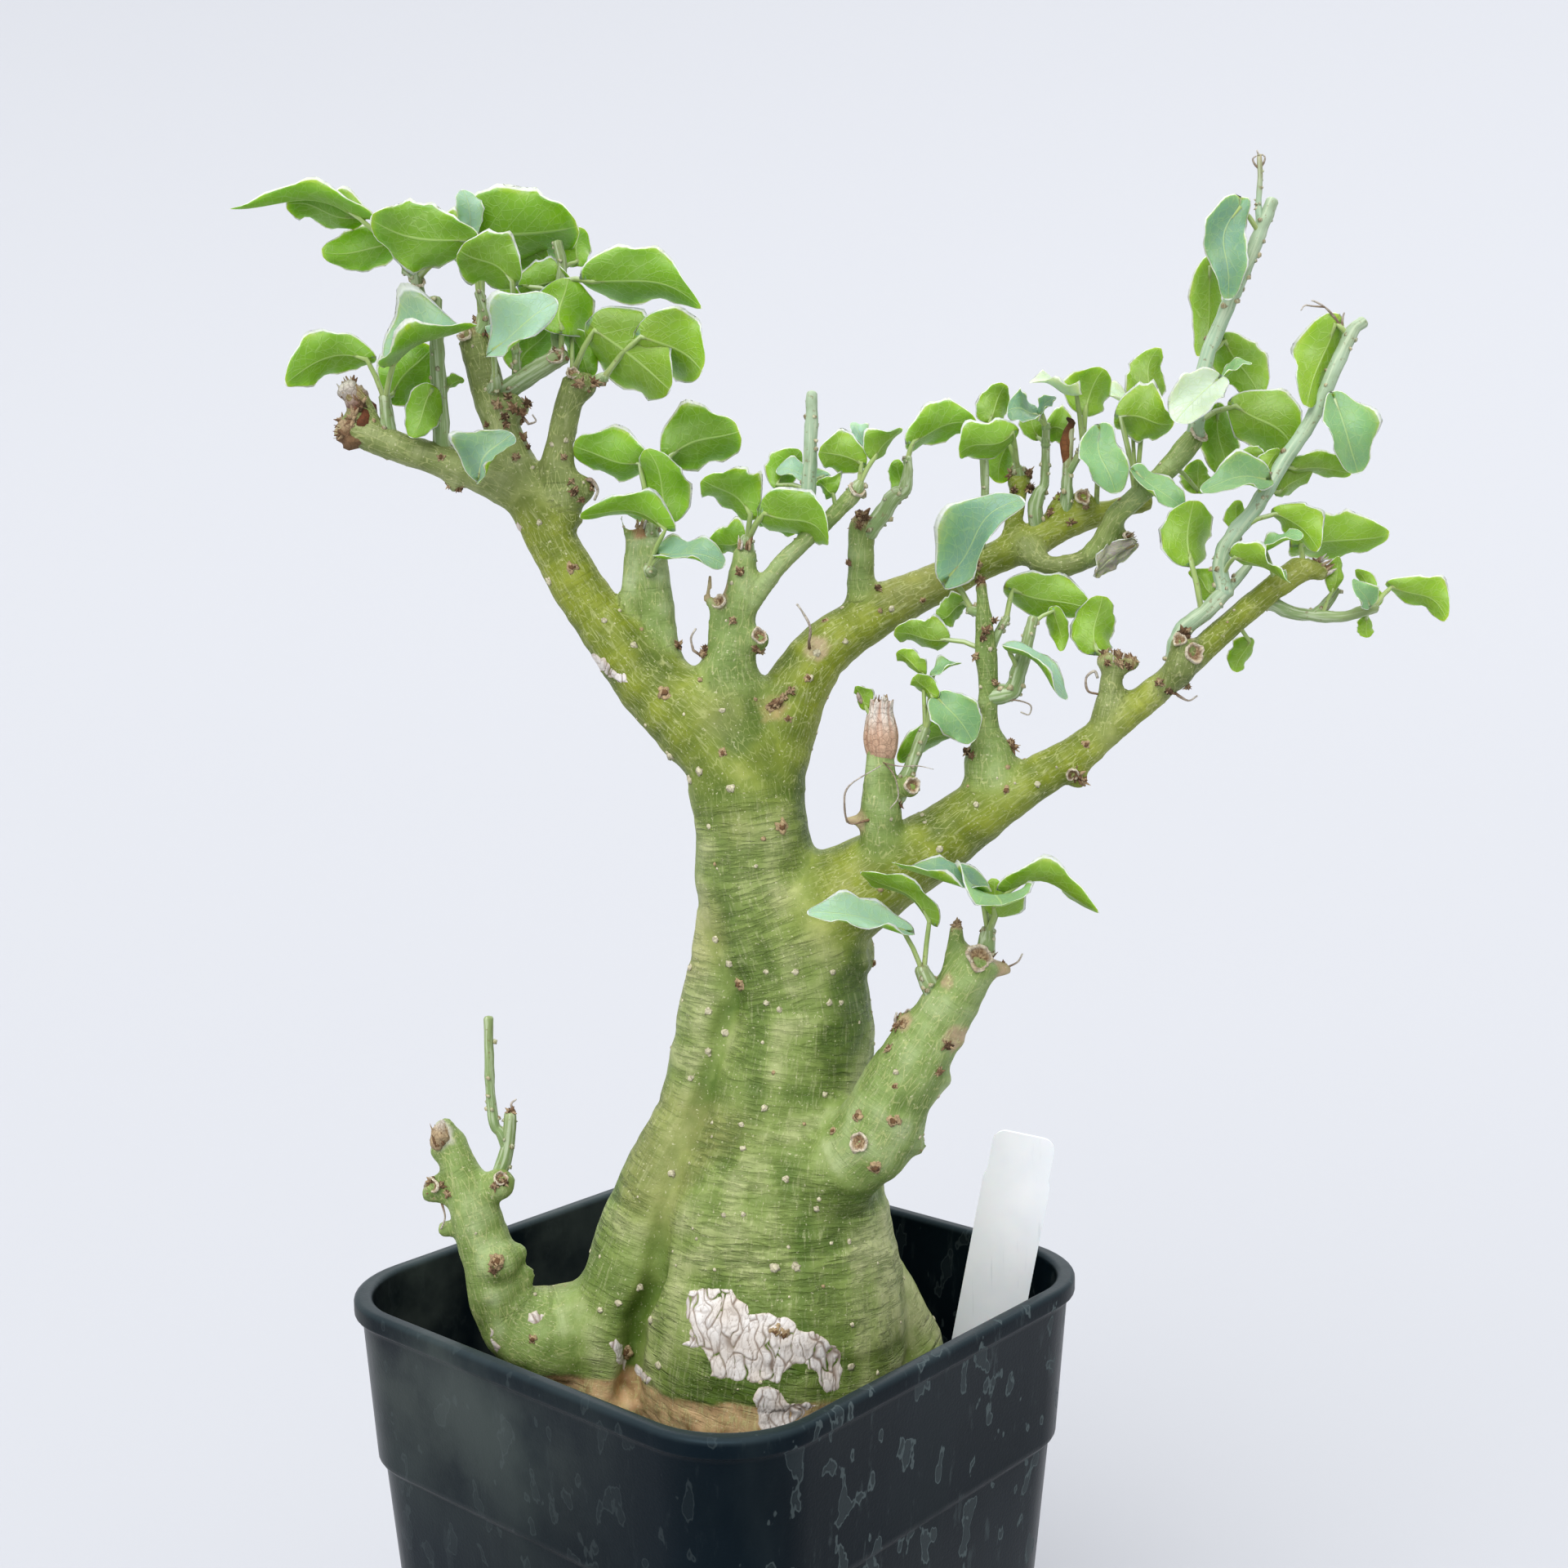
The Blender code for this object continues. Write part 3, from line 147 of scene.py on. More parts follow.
def noiseOf(tree, coords, scale, detail=3, rough=0.55, warp=0.0):
    node = addNode(tree, "ShaderNodeTexNoise")
    tree.links.new(coords, node.inputs["Vector"])
    node.inputs["Scale"].default_value = scale
    node.inputs["Detail"].default_value = detail
    node.inputs["Roughness"].default_value = rough
    node.inputs["Distortion"].default_value = warp
    return node.outputs["Fac"]


def cellsOf(tree, coords, scale, feature="F1"):
    node = addNode(tree, "ShaderNodeTexVoronoi", feature=feature)
    tree.links.new(coords, node.inputs["Vector"])
    node.inputs["Scale"].default_value = scale
    return node.outputs["Distance"]


def ramp(tree, value, low, high, first=0.0, last=1.0):
    node = addNode(tree, "ShaderNodeMapRange", interpolation_type="SMOOTHSTEP")
    tree.links.new(value, node.inputs["Value"])
    node.inputs["From Min"].default_value = low
    node.inputs["From Max"].default_value = high
    node.inputs["To Min"].default_value = first
    node.inputs["To Max"].default_value = last
    return node.outputs["Result"]


def maths(tree, operation, a, b=0.5):
    node = addNode(tree, "ShaderNodeMath", operation=operation)
    plug(tree, node.inputs[0], a)
    plug(tree, node.inputs[1], b)
    return node.outputs[0]


def times(tree, a, b):
    return maths(tree, "MULTIPLY", a, b)


def mixed(tree, share, a, b):
    node = addNode(tree, "ShaderNodeMix", data_type="RGBA")
    plug(tree, node.inputs["Factor"], share)
    plug(tree, node.inputs["A"], a if isinstance(a, bpy.types.NodeSocket) else (*a, 1))
    plug(tree, node.inputs["B"], b if isinstance(b, bpy.types.NodeSocket) else (*b, 1))
    return node.outputs["Result"]


def bumped(tree, height, distance, strength=1.0, under=None):
    node = addNode(tree, "ShaderNodeBump")
    tree.links.new(height, node.inputs["Height"])
    node.inputs["Distance"].default_value = distance
    node.inputs["Strength"].default_value = strength
    if under:
        tree.links.new(under, node.inputs["Normal"])
    return node.outputs["Normal"]


def tintOf(tree):
    return addNode(tree, "ShaderNodeAttribute", attribute_name="tint").outputs["Color"]


def dress(tree, shader, colour, rough, normal, finish=None):
    # colour, roughness and relief, with plain values for other sockets in finish
    plug(tree, shader.inputs["Base Color"], colour)
    plug(tree, shader.inputs["Roughness"], rough)
    plug(tree, shader.inputs["Normal"], normal)
    for name, value in (finish or {}).items():
        shader.inputs[name].default_value = value


# mesh helpers

def newShape():
    bm = bmesh.new()
    bm.verts.layers.float_color.new("tint")
    bm.verts.layers.float_vector.new("grain")
    bm.verts.layers.float.new("bodyShare")
    bm.loops.layers.uv.new("leafUv")
    return bm


def colourVert(bm, vert, colour, grain=None):
    vert[bm.verts.layers.float_color["tint"]] = (*colour[:3], 1)
    if grain:
        vert[bm.verts.layers.float_vector["grain"]] = grain


def objectOf(bm, name):
    mesh = bpy.data.meshes.new(name)
    bm.to_mesh(mesh)
    bm.free()
    obj = bpy.data.objects.new(name, mesh)
    bpy.context.scene.collection.objects.link(obj)
    return obj


def modifiedMesh(obj):
    # a new mesh as its modifiers leave it
    bpy.context.view_layer.update()
    return bpy.data.meshes.new_from_object(obj.evaluated_get(bpy.context.evaluated_depsgraph_get()))


def finished(bm, name, mats, stands=()):
    obj = objectOf(bm, name)
    obj.data.shade_smooth()
    for mat in mats:
        obj.data.materials.append(mat)
    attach(obj, "root")
    if stands:
        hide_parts(*stands)
    return obj


def relax(bm, verts, turns):
    for _ in range(turns):
        bmesh.ops.smooth_vert(
            bm, verts=verts, factor=0.5, use_axis_x=True, use_axis_y=True, use_axis_z=True
        )


def gridVerts(bm, across, along):
    return bmesh.ops.create_grid(bm, x_segments=across, y_segments=along, size=1)["verts"]


def gridCell(vert, across, along):
    # its column and row in such a grid, where the last column is the first one again
    return round((vert.co.x + 1) / 2 * across) % across, round((vert.co.y + 1) / 2 * along)


def weld(bm, verts, gap=0.00001):
    bmesh.ops.remove_doubles(bm, verts=verts, dist=gap)


def around(side, other, turn):
    # the way out from a stem at this turn round it
    return side * math.cos(turn) + other * math.sin(turn)


def facesOf(verts):
    # each face once, in an order that is the same in every run
    return list(dict.fromkeys(face for vert in verts if vert.is_valid for face in vert.link_faces))


def smoothPath(rows, steps):
    # rows of (px, py, back, radius in mm) as a smooth run of (x, y, z, radius in metres)
    values = [Vector((*spot(*row[:3]), row[3] * mm)) for row in rows]
    ends = [values[0] * 2 - values[1], *values, values[-1] * 2 - values[-2]]
    path = []
    for a, b, c, d in zip(ends, ends[1:], ends[2:], ends[3:]):
        for step in range(steps):
            t = step / steps
            square = 2 * a - 5 * b + 4 * c - d
            cube = 3 * b - a - 3 * c + d
            path.append(0.5 * (2 * b + (c - a) * t + square * t**2 + cube * t**3))
    path.append(values[-1])
    return path


def taper(*rows):
    # a short straight path of (place, radius in mm)
    return [Vector((*place, radius * mm)) for place, radius in rows]


def pathFrames(path):
    # tangent and two cross directions at each point, carried along without twist
    frames = []
    side = None
    for i in range(len(path)):
        ahead = path[min(i + 1, len(path) - 1)].to_3d() - path[max(i - 1, 0)].to_3d()
        tangent = ahead.normalized()
        if side is None:
            side = tangent.orthogonal().normalized()
        side = (side - tangent * side.dot(tangent)).normalized()
        frames.append((tangent, side, tangent.cross(side)))
    return frames


stemEnds = {"dome": 0.6, "shoulder": 0.36, "shoulderWidth": 0.75}


def sweep(bm, path, colourAt, sides, lumps=0.0):
    # a round stem with closed, slightly domed ends; colourAt(share along) gives its colour
    first, last = path[0], path[-1]
    frames = pathFrames(path)
    dome, shoulder, width = stemEnds["dome"], stemEnds["shoulder"], stemEnds["shoulderWidth"]
    domed = [(first, frames[0], 0.0, -dome), (first, frames[0], width, -shoulder)]
    domed += [(point, axes, 1.0, 0) for point, axes in zip(path, frames)]
    domed += [(last, frames[-1], width, shoulder), (last, frames[-1], 0.0, dome)]
    made = gridVerts(bm, sides, len(domed) - 1)
    length = [0.0]
    for a, b in zip(domed, domed[1:]):
        length.append(length[-1] + (b[0].to_3d() - a[0].to_3d()).length)
    for vert in made:
        column, row = gridCell(vert, sides, len(domed) - 1)
        turn = column * 2 * math.pi / sides
        point, (tangent, side, other), swell, push = domed[row]
        radius = point.w * swell
        out = around(side, other, turn)
        centre = point.to_3d() + tangent * push * point.w
        if lumps:
            radius *= 1 + lumps * noise((centre + out * point.w) * 420)
        vert.co = centre + out * radius
        grain = (math.cos(turn) * point.w, math.sin(turn) * point.w, length[row])
        colourVert(bm, vert, colourAt(length[row] / max(length[-1], 1e-6)), grain)
    for face in facesOf(made):
        face.normal_flip()
    weld(bm, made)


def pebble(bm, centre, size, colour, detail, rough, flat, seed):
    # a lumpy little body, squashed along flat where that is given
    made = bmesh.ops.create_icosphere(bm, subdivisions=detail, radius=1)["verts"]
    shift = Vector((seed * 3.7, seed * 1.3, -seed * 2.1))
    for vert in made:
        out = vert.co.copy()
        reach = 1 + rough * (noise(out * 1.7 + shift) + 0.5 * noise(out * 4.1 + shift))
        place = out * reach
        if flat:
            place -= flat * place.dot(flat) * 0.5
        vert.co = centre + place * size
        shade = 1 + 0.35 * noise(out * 3.1 + shift)
        colourVert(bm, vert, tuple(c * shade for c in colour), tuple(place * size))


print("helpers ready")

# bark of the caudex and its limbs
barkLook = {
    "voxelMm": 0.93,
    "smoothing": 4,
    "lumpMm": 0.95,
    "knobbleMm": 0.5,
    "wrinkleMm": 0.3,
    "stumpLumpMm": 0.5,
    "fullLumpRadius": 0.012,
    "fullWrinkleRadius": 0.006,
    "seamReach": 4.5,
    "foldReachPx": 26,
    "foldMm": 1.1,
    "foldFootMm": 4.2,
    "corkDropMm": 14.5,
    "corkWaveMm": 2.5,
    "corkLeft": -0.034,
    "corkRight": 0.024,
    "corkSlope": 0.32,
    "tone": -0.12,
    "patchTone": 0.85,
    "fleckTone": 0.6,
    "streakTone": 0.6,
    "wrinkleBandShade": 0.45,
    # steps of tone for the broad places on the front: painted shade, painted light and tan
    "toneAndPaintedLightSteps": {"dark": -1.1, "pale": 0.9, "tan": 0.2},
    "gritTint": rgb(92, 112, 42),
    "fibreTint": rgb(204, 206, 156),
    # painted shade for the sunk wrinkles and creases
    "paintedWrinkleShade": rgb(80, 100, 40),
    "paintedCreaseShade": rgb(64, 78, 28),
    "nettingTint": rgb(200, 202, 138),
    "speckTint": rgb(214, 210, 172),
    "body": (rgb(78, 102, 34), rgb(126, 144, 74), rgb(172, 178, 124)),
    "limb": (rgb(80, 96, 14), rgb(127, 138, 32), rgb(164, 171, 74)),
    "fork": (rgb(90, 102, 46), rgb(128, 140, 80), rgb(172, 178, 126)),
    "stump": (rgb(84, 110, 42), rgb(130, 152, 84), rgb(172, 188, 138)),
    "tan": rgb(162, 156, 98),
    "cork": rgb(204, 170, 126),
    "corkDark": rgb(136, 100, 66),
}

# middle lines of its parts, as (px, py, back in mm, radius in mm), which the grain follows
limbLines = {
    "body": [
        [(903, 900, 1, 10.5), (918, 1000, 0, 13.2), (928, 1080, 0, 14.5), (960, 1170, 0, 17),
         (975, 1240, -1, 18), (968, 1300, -2, 19), (955, 1400, -4, 23), (948, 1500, -6, 28),
         (945, 1600, -8, 31.5), (932, 1690, -8, 31), (918, 1830, -4, 14)],
        [(899, 1130, 0, 9), (882, 1240, -2, 9.5), (858, 1360, -3, 10.5), (818, 1450, -5, 11.5),
         (782, 1550, -7, 12.5), (757, 1650, -8, 13.5), (748, 1810, -6, 8)],
        [(1050, 1580, 0, 12.5), (1090, 1660, 0, 13), (1112, 1760, 0, 9)],
    ],
    "stump": [
        [(545, 1388, -10, 3.3), (562, 1430, -11, 4.4), (577, 1470, -12, 5.1), (606, 1570, -12, 6.8),
         (622, 1612, -11, 7.6), (675, 1632, -10, 10), (715, 1625, -8, 11)],
        [(1050, 1405, -23, 8), (1072, 1387, -25, 9.9), (1097, 1337, -26, 8.6), (1122, 1293, -27, 8),
         (1150, 1248, -28, 6.1), (1178, 1207, -29, 5.5), (1203, 1168, -30, 4.8)],
        [(895, 840, 2, 7.5), (893, 810, 2, 6.4), (900, 770, 2, 4.8), (911, 690, 2, 3.4),
         (913, 668, 2, 3.2)],
        [(922, 735, 1, 2.6), (950, 697, 0, 2.4), (1018, 633, -2, 2.3), (1050, 600, -3, 2.4)],
        [(810, 790, 6, 5), (803, 730, 7, 3.9), (797, 655, 7, 3.2)],
        [(768, 755, 6, 2.3), (770, 720, 7, 2.2), (778, 650, 7, 2.2)],
        [(1340, 680, 5, 3.0), (1362, 635, 3, 2.8), (1415, 590, 3, 2.8), (1468, 532, 3, 2.8)],
        [(1080, 1035, -10, 5), (1079, 990, -11, 4.6), (1077, 930, -11, 3.3), (1079, 862, -11, 2.6)],
        [(1213, 950, -7, 6.3), (1211, 912, -7, 4.6), (1211, 860, -7, 2.4), (1207, 805, -7, 3.0),
         (1201, 712, -7, 1.7)],
        [(1055, 730, 9, 3.5), (1055, 640, 9, 3.3)],
    ],
    "limb": [
        [(905, 935, 0, 12), (878, 904, 1, 10.8), (841, 872, 3, 9.8), (797, 836, 5, 8.4), (767, 800, 6, 7.4),
         (732, 756, 8, 6.4), (700, 705, 9, 6), (674, 659, 10, 5.9), (652, 617, 11, 5.9)],
        [(930, 945, 1, 11), (944, 915, 3, 9.4), (963, 873, 5, 8.1), (984, 829, 7, 7.4), (1010, 795, 8, 7),
         (1050, 765, 9, 6.2), (1130, 722, 11, 5.1), (1218, 683, 12, 4.0), (1300, 643, 13, 3.8),
         (1412, 612, 14, 2.6)],
        [(1000, 1112, -3, 11), (1040, 1092, -4, 11.5), (1085, 1065, -5, 10), (1130, 1042, -6, 8.6),
         (1205, 990, -7, 6.8), (1290, 940, -8, 4.7), (1375, 878, -9, 3.9), (1455, 812, -10, 3.4),
         (1540, 735, -11, 3.2), (1600, 692, -12, 3.2)],
    ],
    "fork": [
        [(655, 612, 11, 5.5), (625, 598, 11, 5), (580, 577, 10, 4.3), (530, 560, 9, 4), (450, 533, 8, 3.8)],
        [(648, 600, 11, 4.8), (630, 560, 12, 4.4), (605, 500, 12, 4.2), (580, 412, 13, 4.0)],
        [(686, 600, 9, 4.4), (683, 560, 9, 3.8), (690, 520, 9, 3.4), (708, 463, 8, 3.3)],
        [(1258, 672, 10, 3.4), (1275, 692, 8, 2.8), (1330, 685, 6, 2.6), (1385, 656, 5, 2.3)],
        [(1352, 895, -9, 4.0), (1364, 815, -9, 2.8)],
        [(1436, 838, -12, 3.9), (1450, 780, -14, 3.3)],
    ],
}

# dried places on the bark: (px, py, back, reach in mm, colour)
dryBrown = rgb(126, 98, 70)
dryTan = rgb(178, 156, 122)
dryPale = rgb(212, 206, 192)
drySpots = [
    (430, 474, 8, 6, dryBrown), (424, 530, 8, 3.6, dryTan), (537, 1387, -13, 4.2, dryPale),
    (1079, 870, -11, 7, rgb(196, 142, 112)), (1055, 640, 9, 3.6, dryBrown), (913, 664, 2, 2.4, dryTan),
    (797, 652, 7, 2.4, dryTan), (1050, 600, -3, 2.4, dryBrown), (1468, 530, 3, 2.6, dryBrown),
    (1450, 780, -14, 2.6, dryTan), (1203, 1166, -30, 4.4, dryTan), (1172, 1132, -28, 2.0, dryTan),
    (580, 408, 13, 3.4, dryBrown), (1201, 710, -7, 2.4, dryBrown), (1240, 579, 12, 2.4, dryBrown),
    (1260, 579, 12, 2.4, dryBrown), (880, 735, 0, 2.6, dryTan), (1627, 700, -12, 2.4, dryTan),
    (1351, 800, -9, 2.4, dryBrown), (1385, 806, -11, 2.4, dryBrown), (784, 650, 7, 3, rgb(176, 128, 100)),
    (869, 715, 0, 5, dryTan), (1230, 1190, -29, 4, dryTan), (1045, 1004, -11, 4, dryTan),
    (952, 862, -6, 5, rgb(170, 146, 96)), (1000, 792, 0, 4, dryTan), (842, 870, -3, 3.5, rgb(150, 140, 80)),
    (1105, 1250, -30, 2.6, dryTan), (1170, 1270, -32, 4.0, dryTan), (1156, 1200, -33, 2.4, dryTan),
]

# broad darker and paler places on its front, partly the bark's own mottling and tan, partly painted shade,
# as under the right stump, and painted light that brightens the shaded right lobe: (px, py, reach in px,
# strength)
barkTonesAndPaintedLight = {
    "dark": [
        (1062, 1230, 58, 0.5), (890, 1235, 42, 0.55), (1060, 1458, 46, 0.6), (868, 1420, 46, 0.4),
        (790, 1650, 50, 0.4), (905, 1695, 70, 0.7), (960, 960, 46, 0.35), (900, 900, 40, 0.5),
        (700, 1660, 40, 0.4), (860, 960, 30, 0.3), (1000, 1080, 40, 0.3), (1108, 1350, 34, 0.6),
        (1068, 1440, 36, 0.7), (1150, 1260, 30, 0.35), (640, 1690, 50, 1.1), (705, 1690, 54, 1.2),
        (596, 1610, 24, 0.5),
    ],
    "pale": [
        (1085, 1515, 60, 1.3), (950, 1100, 60, 0.3), (985, 1180, 50, 0.25), (760, 1500, 46, 0.45),
        (700, 1618, 50, 0.5), (1105, 1585, 80, 1.7), (840, 1560, 46, 0.45), (1010, 1420, 46, 0.5),
        (900, 1440, 50, 0.3), (1130, 1640, 40, 0.6), (812, 700, 30, 1.0), (808, 660, 26, 0.8),
        (560, 1480, 22, 0.4), (905, 800, 24, 0.4),
    ],
    "tan": [
        (830, 1340, 34, 0.4), (1100, 1165, 40, 0.5), (1040, 1090, 50, 0.4), (905, 1020, 36, 0.3),
        (880, 870, 40, 0.25),
    ],
}

# fold between the left ridge and the main lobe, sunk into the bark and darkened with painted shade
foldLine = [(905, 1200), (872, 1300), (830, 1400), (814, 1490), (800, 1565), (777, 1618), (766, 1710)]

# crotches and joins softened by extra smoothing: (px, py, back, reach in mm)
softJoins = [
    (1050, 1430, -20, 15), (1012, 1340, -18, 13), (1000, 1150, -10, 13), (1010, 1060, -8, 9),
    (905, 915, -6, 14), (890, 835, 2, 9), (935, 860, 0, 8), (650, 1620, -14, 12), (1211, 960, -10, 8),
    (1080, 1040, -14, 7), (1055, 740, 6, 6), (665, 625, 8, 8), (805, 800, 4, 8), (1352, 900, -11, 5),
    (1436, 842, -14, 5), (1260, 670, 9, 5),
]


def limbSamples():
    rows, kinds, starts = [], [], []
    for kind, lines in limbLines.items():
        for line in lines:
            starts.append(len(rows))
            kinds.append(kind)
            path = smoothPath(line, 8)
            run = 7.3 * mm * len(kinds)  # so that no two limbs have the same grain
            for i, (point, axes) in enumerate(zip(path, pathFrames(path))):
                if i:
                    run += (point.to_3d() - path[i - 1].to_3d()).length
                rows.append((*point, *axes[0], *axes[1], *axes[2], run))
    return np.array(rows), kinds, starts


def limbFields(places, rows, kinds, starts):
    # for each place: its nearest sample, how much of each kind it is, and how far from a seam
    nearest, shares, seams = [], [], []
    names = list(limbLines)
    points = rows[:, :3]
    belongs = np.array([[kind == name for name in names] for kind in kinds], dtype=float)
    for block in np.array_split(places, 60):
        squares = (block**2).sum(1)[:, None] + (points**2).sum(1)[None, :] - 2 * block @ points.T
        ratio = np.sqrt(np.maximum(squares, 0)) / rows[:, 3]
        nearest.append(ratio.argmin(1))
        lines = np.minimum.reduceat(ratio, starts, axis=1)
        ordered = np.sort(lines, axis=1)
        seams.append(ordered[:, 1] - ordered[:, 0])
        weight = np.exp(-barkLook["seamReach"] * (lines - ordered[:, :1])) @ belongs
        shares.append(weight / weight.sum(1)[:, None])
    return np.concatenate(nearest), np.concatenate(shares), np.concatenate(seams)


def distanceToLine(line, px, py):
    here = Vector((px, py, 0))
    nearest = 1e9
    for a, b in zip(line, line[1:]):
        foot, share = intersect_point_line(here, Vector((*a, 0)), Vector((*b, 0)))
        foot = Vector((*a, 0)).lerp(Vector((*b, 0)), min(max(share, 0), 1))
        nearest = min(nearest, (foot - here).length)
    return nearest


# knobs of the bark that buds and cuts stand on: (px, py, back, radius in mm)
swellings = [
    (535, 1455, -11, 3.4), (548, 1456, -11, 3.6), (527, 1462, -11, 2.4), (611, 1449, -13, 3.5),
    (598, 1456, -12, 3.6), (556, 1398, -9.5, 3.2), (541, 1410, -10, 3.0), (546, 1505, -11, 2.0),
    (636, 1534, -12, 2.2), (646, 1562, -12, 2.4), (1106, 1253, -27, 2.6), (1087, 1292, -26, 2.2),
    (1165, 1271, -29, 2.8), (1153, 1318, -28, 2.2), (1119, 1402, -27, 2.0), (1114, 963, -12.5, 2.7),
    (1460, 806, -12.5, 3.1), (1325, 613, 11, 2.6), (1313, 946, -11, 2.4), (1056, 644, 9, 3.1),
    (928, 784, -1, 2.5), (712, 470, 8, 2.5), (957, 856, 0, 2.2), (1000, 797, 3, 2.0), (719, 596, 8, 2.2),
    (556, 592, 9.5, 2.0), (608, 1546, -15, 5.2), (1246, 590, 11, 2.6), (1300, 612, 12, 2.0),
    (434, 520, 8, 3.2), (580, 408, 13, 2.8), (1356, 810, -9.5, 2.4), (1385, 812, -10.5, 2.2),
    (1616, 700, -12, 2.4), (1226, 1186, -29, 1.8), (1207, 778, -7.5, 2.0), (1205, 860, -8, 2.0),
    (905, 740, -0.5, 2.0), (640, 500, 10, 2.0), (608, 470, 11, 1.6),
]


def roundedCopy(node, voxel, smoothing):
    bm = bmesh.new()
    bm.from_mesh(nodes[node].data)
    for px, py, back, radius in swellings:
        place = Matrix.Translation(spot(px, py, back))
        bmesh.ops.create_icosphere(bm, subdivisions=3, radius=radius * mm, matrix=place)
    weld(bm, bm.verts, 0.000001)
    rough = objectOf(bm, "rough")
    remesh = rough.modifiers.new("remesh", "REMESH")
    remesh.mode = "VOXEL"
    remesh.voxel_size = voxel
    fine = modifiedMesh(rough)
    bpy.data.objects.remove(rough)
    bm = newShape()
    bm.from_mesh(fine)
    relax(bm, bm.verts, smoothing)
    return bm


def softenJoins(bm):
    for px, py, back, reach in softJoins:
        centre = spot(px, py, back)
        for share, turns in ((1.0, 14), (0.7, 26)):
            close = [vert for vert in bm.verts if (vert.co - centre).length < reach * share * mm]
            relax(bm, close, turns)


def barkColour(shares, tone):
    colour = Vector((0, 0, 0))
    for name, share in zip(limbLines, shares):
        if share > 0.01:
            dark, mid, pale = barkLook[name]
            colour += Vector(blend(mid, pale, tone) if tone > 0 else blend(mid, dark, -tone)) * share
    return tuple(colour)


def frontToneAndPaintedLight(px, py, patch):
    # how much the broad places on the front darken or pale this one, painted shade and painted light among
    # them, and how tan it is
    tone, tanShare = 0.0, 0.0
    for way, places in barkTonesAndPaintedLight.items():
        for sx, sy, reach, strength in places:
            gap = math.hypot(px - sx, py - sy) / reach + 0.5 * patch
            if gap < 1:
                push = strength * smoothStep(1, 0.1, gap)
                tone += barkLook["toneAndPaintedLightSteps"][way] * push
                tanShare += push if way == "tan" else 0
    return tone, tanShare


def corkEdge(place):
    # the height under which the foot is corky, lower at its two sides
    drop = barkLook["corkDropMm"] - barkLook["corkWaveMm"] * noise(place * 120)
    past = max(0.0, barkLook["corkLeft"] - place.x) + max(0.0, place.x - barkLook["corkRight"])
    return potHeight - drop * mm - barkLook["corkSlope"] * past


def paintBark(bm):
    # colours every vertex, gives it its place along the grain and moves it in or out
    rows, kinds, starts = limbSamples()
    bm.normal_update()
    verts = list(bm.verts)
    nearest, shares, seams = limbFields(np.array([vert.co for vert in verts]), rows, kinds, starts)
    spots = [(spot(px, py, back), reach * mm, colour) for px, py, back, reach, colour in drySpots]
    stumpColumn = list(limbLines).index("stump")
    bodyColumn = list(limbLines).index("body")
    tintLayer = bm.verts.layers.float_color["tint"]
    grainLayer = bm.verts.layers.float_vector["grain"]
    bodyLayer = bm.verts.layers.float["bodyShare"]
    for vert, i, share, seam in zip(verts, nearest, shares, seams):
        row = rows[i]
        away = vert.co - Vector(row[:3])
        tangent, side, other = (Vector(row[first:first + 3]) for first in (4, 7, 10))
        grain = Vector((away.dot(side), away.dot(other), row[13] + away.dot(tangent)))
        patch = noise(Vector((vert.co.x * 62, vert.co.y * 62, vert.co.z * 40)))
        patch = 1.3 * (smoothStep(-0.32, 0.32, patch + 0.35 * noise(vert.co * 130)) - 0.5)
        patch *= 0.45 + 0.55 * share[bodyColumn]
        fleck = noise(vert.co * 170)
        streak = noise(Vector((grain.x * 260, grain.y * 260, grain.z * 26)))
        band = noise(Vector((grain.x * 60, grain.y * 60, grain.z * 330)) + Vector((7, 3, 1)))
        tone = barkLook["tone"] + barkLook["patchTone"] * patch + barkLook["fleckTone"] * fleck
        # the wrinkle bands are paler where raised and darker where sunk: painted shade in their hollows
        tone += barkLook["streakTone"] * streak + barkLook["wrinkleBandShade"] * band
        lumps = barkLook["lumpMm"] * noise(vert.co * 58) + barkLook["knobbleMm"] * fleck
        lift = lumps * min(row[3] / barkLook["fullLumpRadius"], 1)
        lift += barkLook["wrinkleMm"] * band * min(row[3] / barkLook["fullWrinkleRadius"], 1)
        lift += barkLook["stumpLumpMm"] * share[stumpColumn] * noise(vert.co * 110)
        tanShare = 0.0
        if vert.normal.y < 0.1 and share[bodyColumn] + share[stumpColumn] > 0.05:
            px, py = pixelOf(vert.co)
            # painted shade and painted light from the broad places, besides the bark's own darker, paler
            # and tan places
            push, tanShare = frontToneAndPaintedLight(px, py, patch)
            tone += push
            reach = barkLook["foldReachPx"] - 4 * smoothStep(1400, 1600, py)
            fold = distanceToLine(foldLine, px, py) if share[bodyColumn] > 0.05 else reach
            if fold < reach:
                deep = smoothStep(reach, 0, fold)
                foot = smoothStep(1480, 1640, py)
                lift -= (barkLook["foldMm"] + barkLook["foldFootMm"] * foot) * deep**1.4
                # painted shade darkens the fold, more towards its foot
                tone -= (0.6 + 0.9 * smoothStep(1450, 1620, py)) * deep * deep
        colour = barkColour(share, tone)
        tanPatch = noise(vert.co * 33 + Vector((9, 9, 9)))
        tanShare = max(0.8 * tanShare, 0.4 * smoothStep(0.16, 0.5, tanPatch))
        colour = blend(colour, barkLook["tan"], tanShare)
        low = corkEdge(vert.co)
        corky = smoothStep(low + 0.5 * mm, low - 0.5 * mm, vert.co.z)
        if corky > 0:
            rough = noise(vert.co * 240) + 0.6 * noise(vert.co * 600)
            colour = blend(colour, blend(barkLook["cork"], barkLook["corkDark"], 0.35 + rough), corky)
            lift += corky * (0.45 * rough - 0.3)
        for place, reach, dry in spots:
            gap = (vert.co - place).length
            if gap < reach * 1.3:
                gap += 0.3 * reach * noise(vert.co * 500)
                colour = blend(colour, dry, smoothStep(reach, reach * 0.6, gap))
        vert[tintLayer] = (*colour, smoothStep(0.02, 0.3, seam))
        vert[grainLayer] = grain
        vert[bodyLayer] = share[bodyColumn] * (1 - corky)
        vert.co += vert.normal * lift * mm


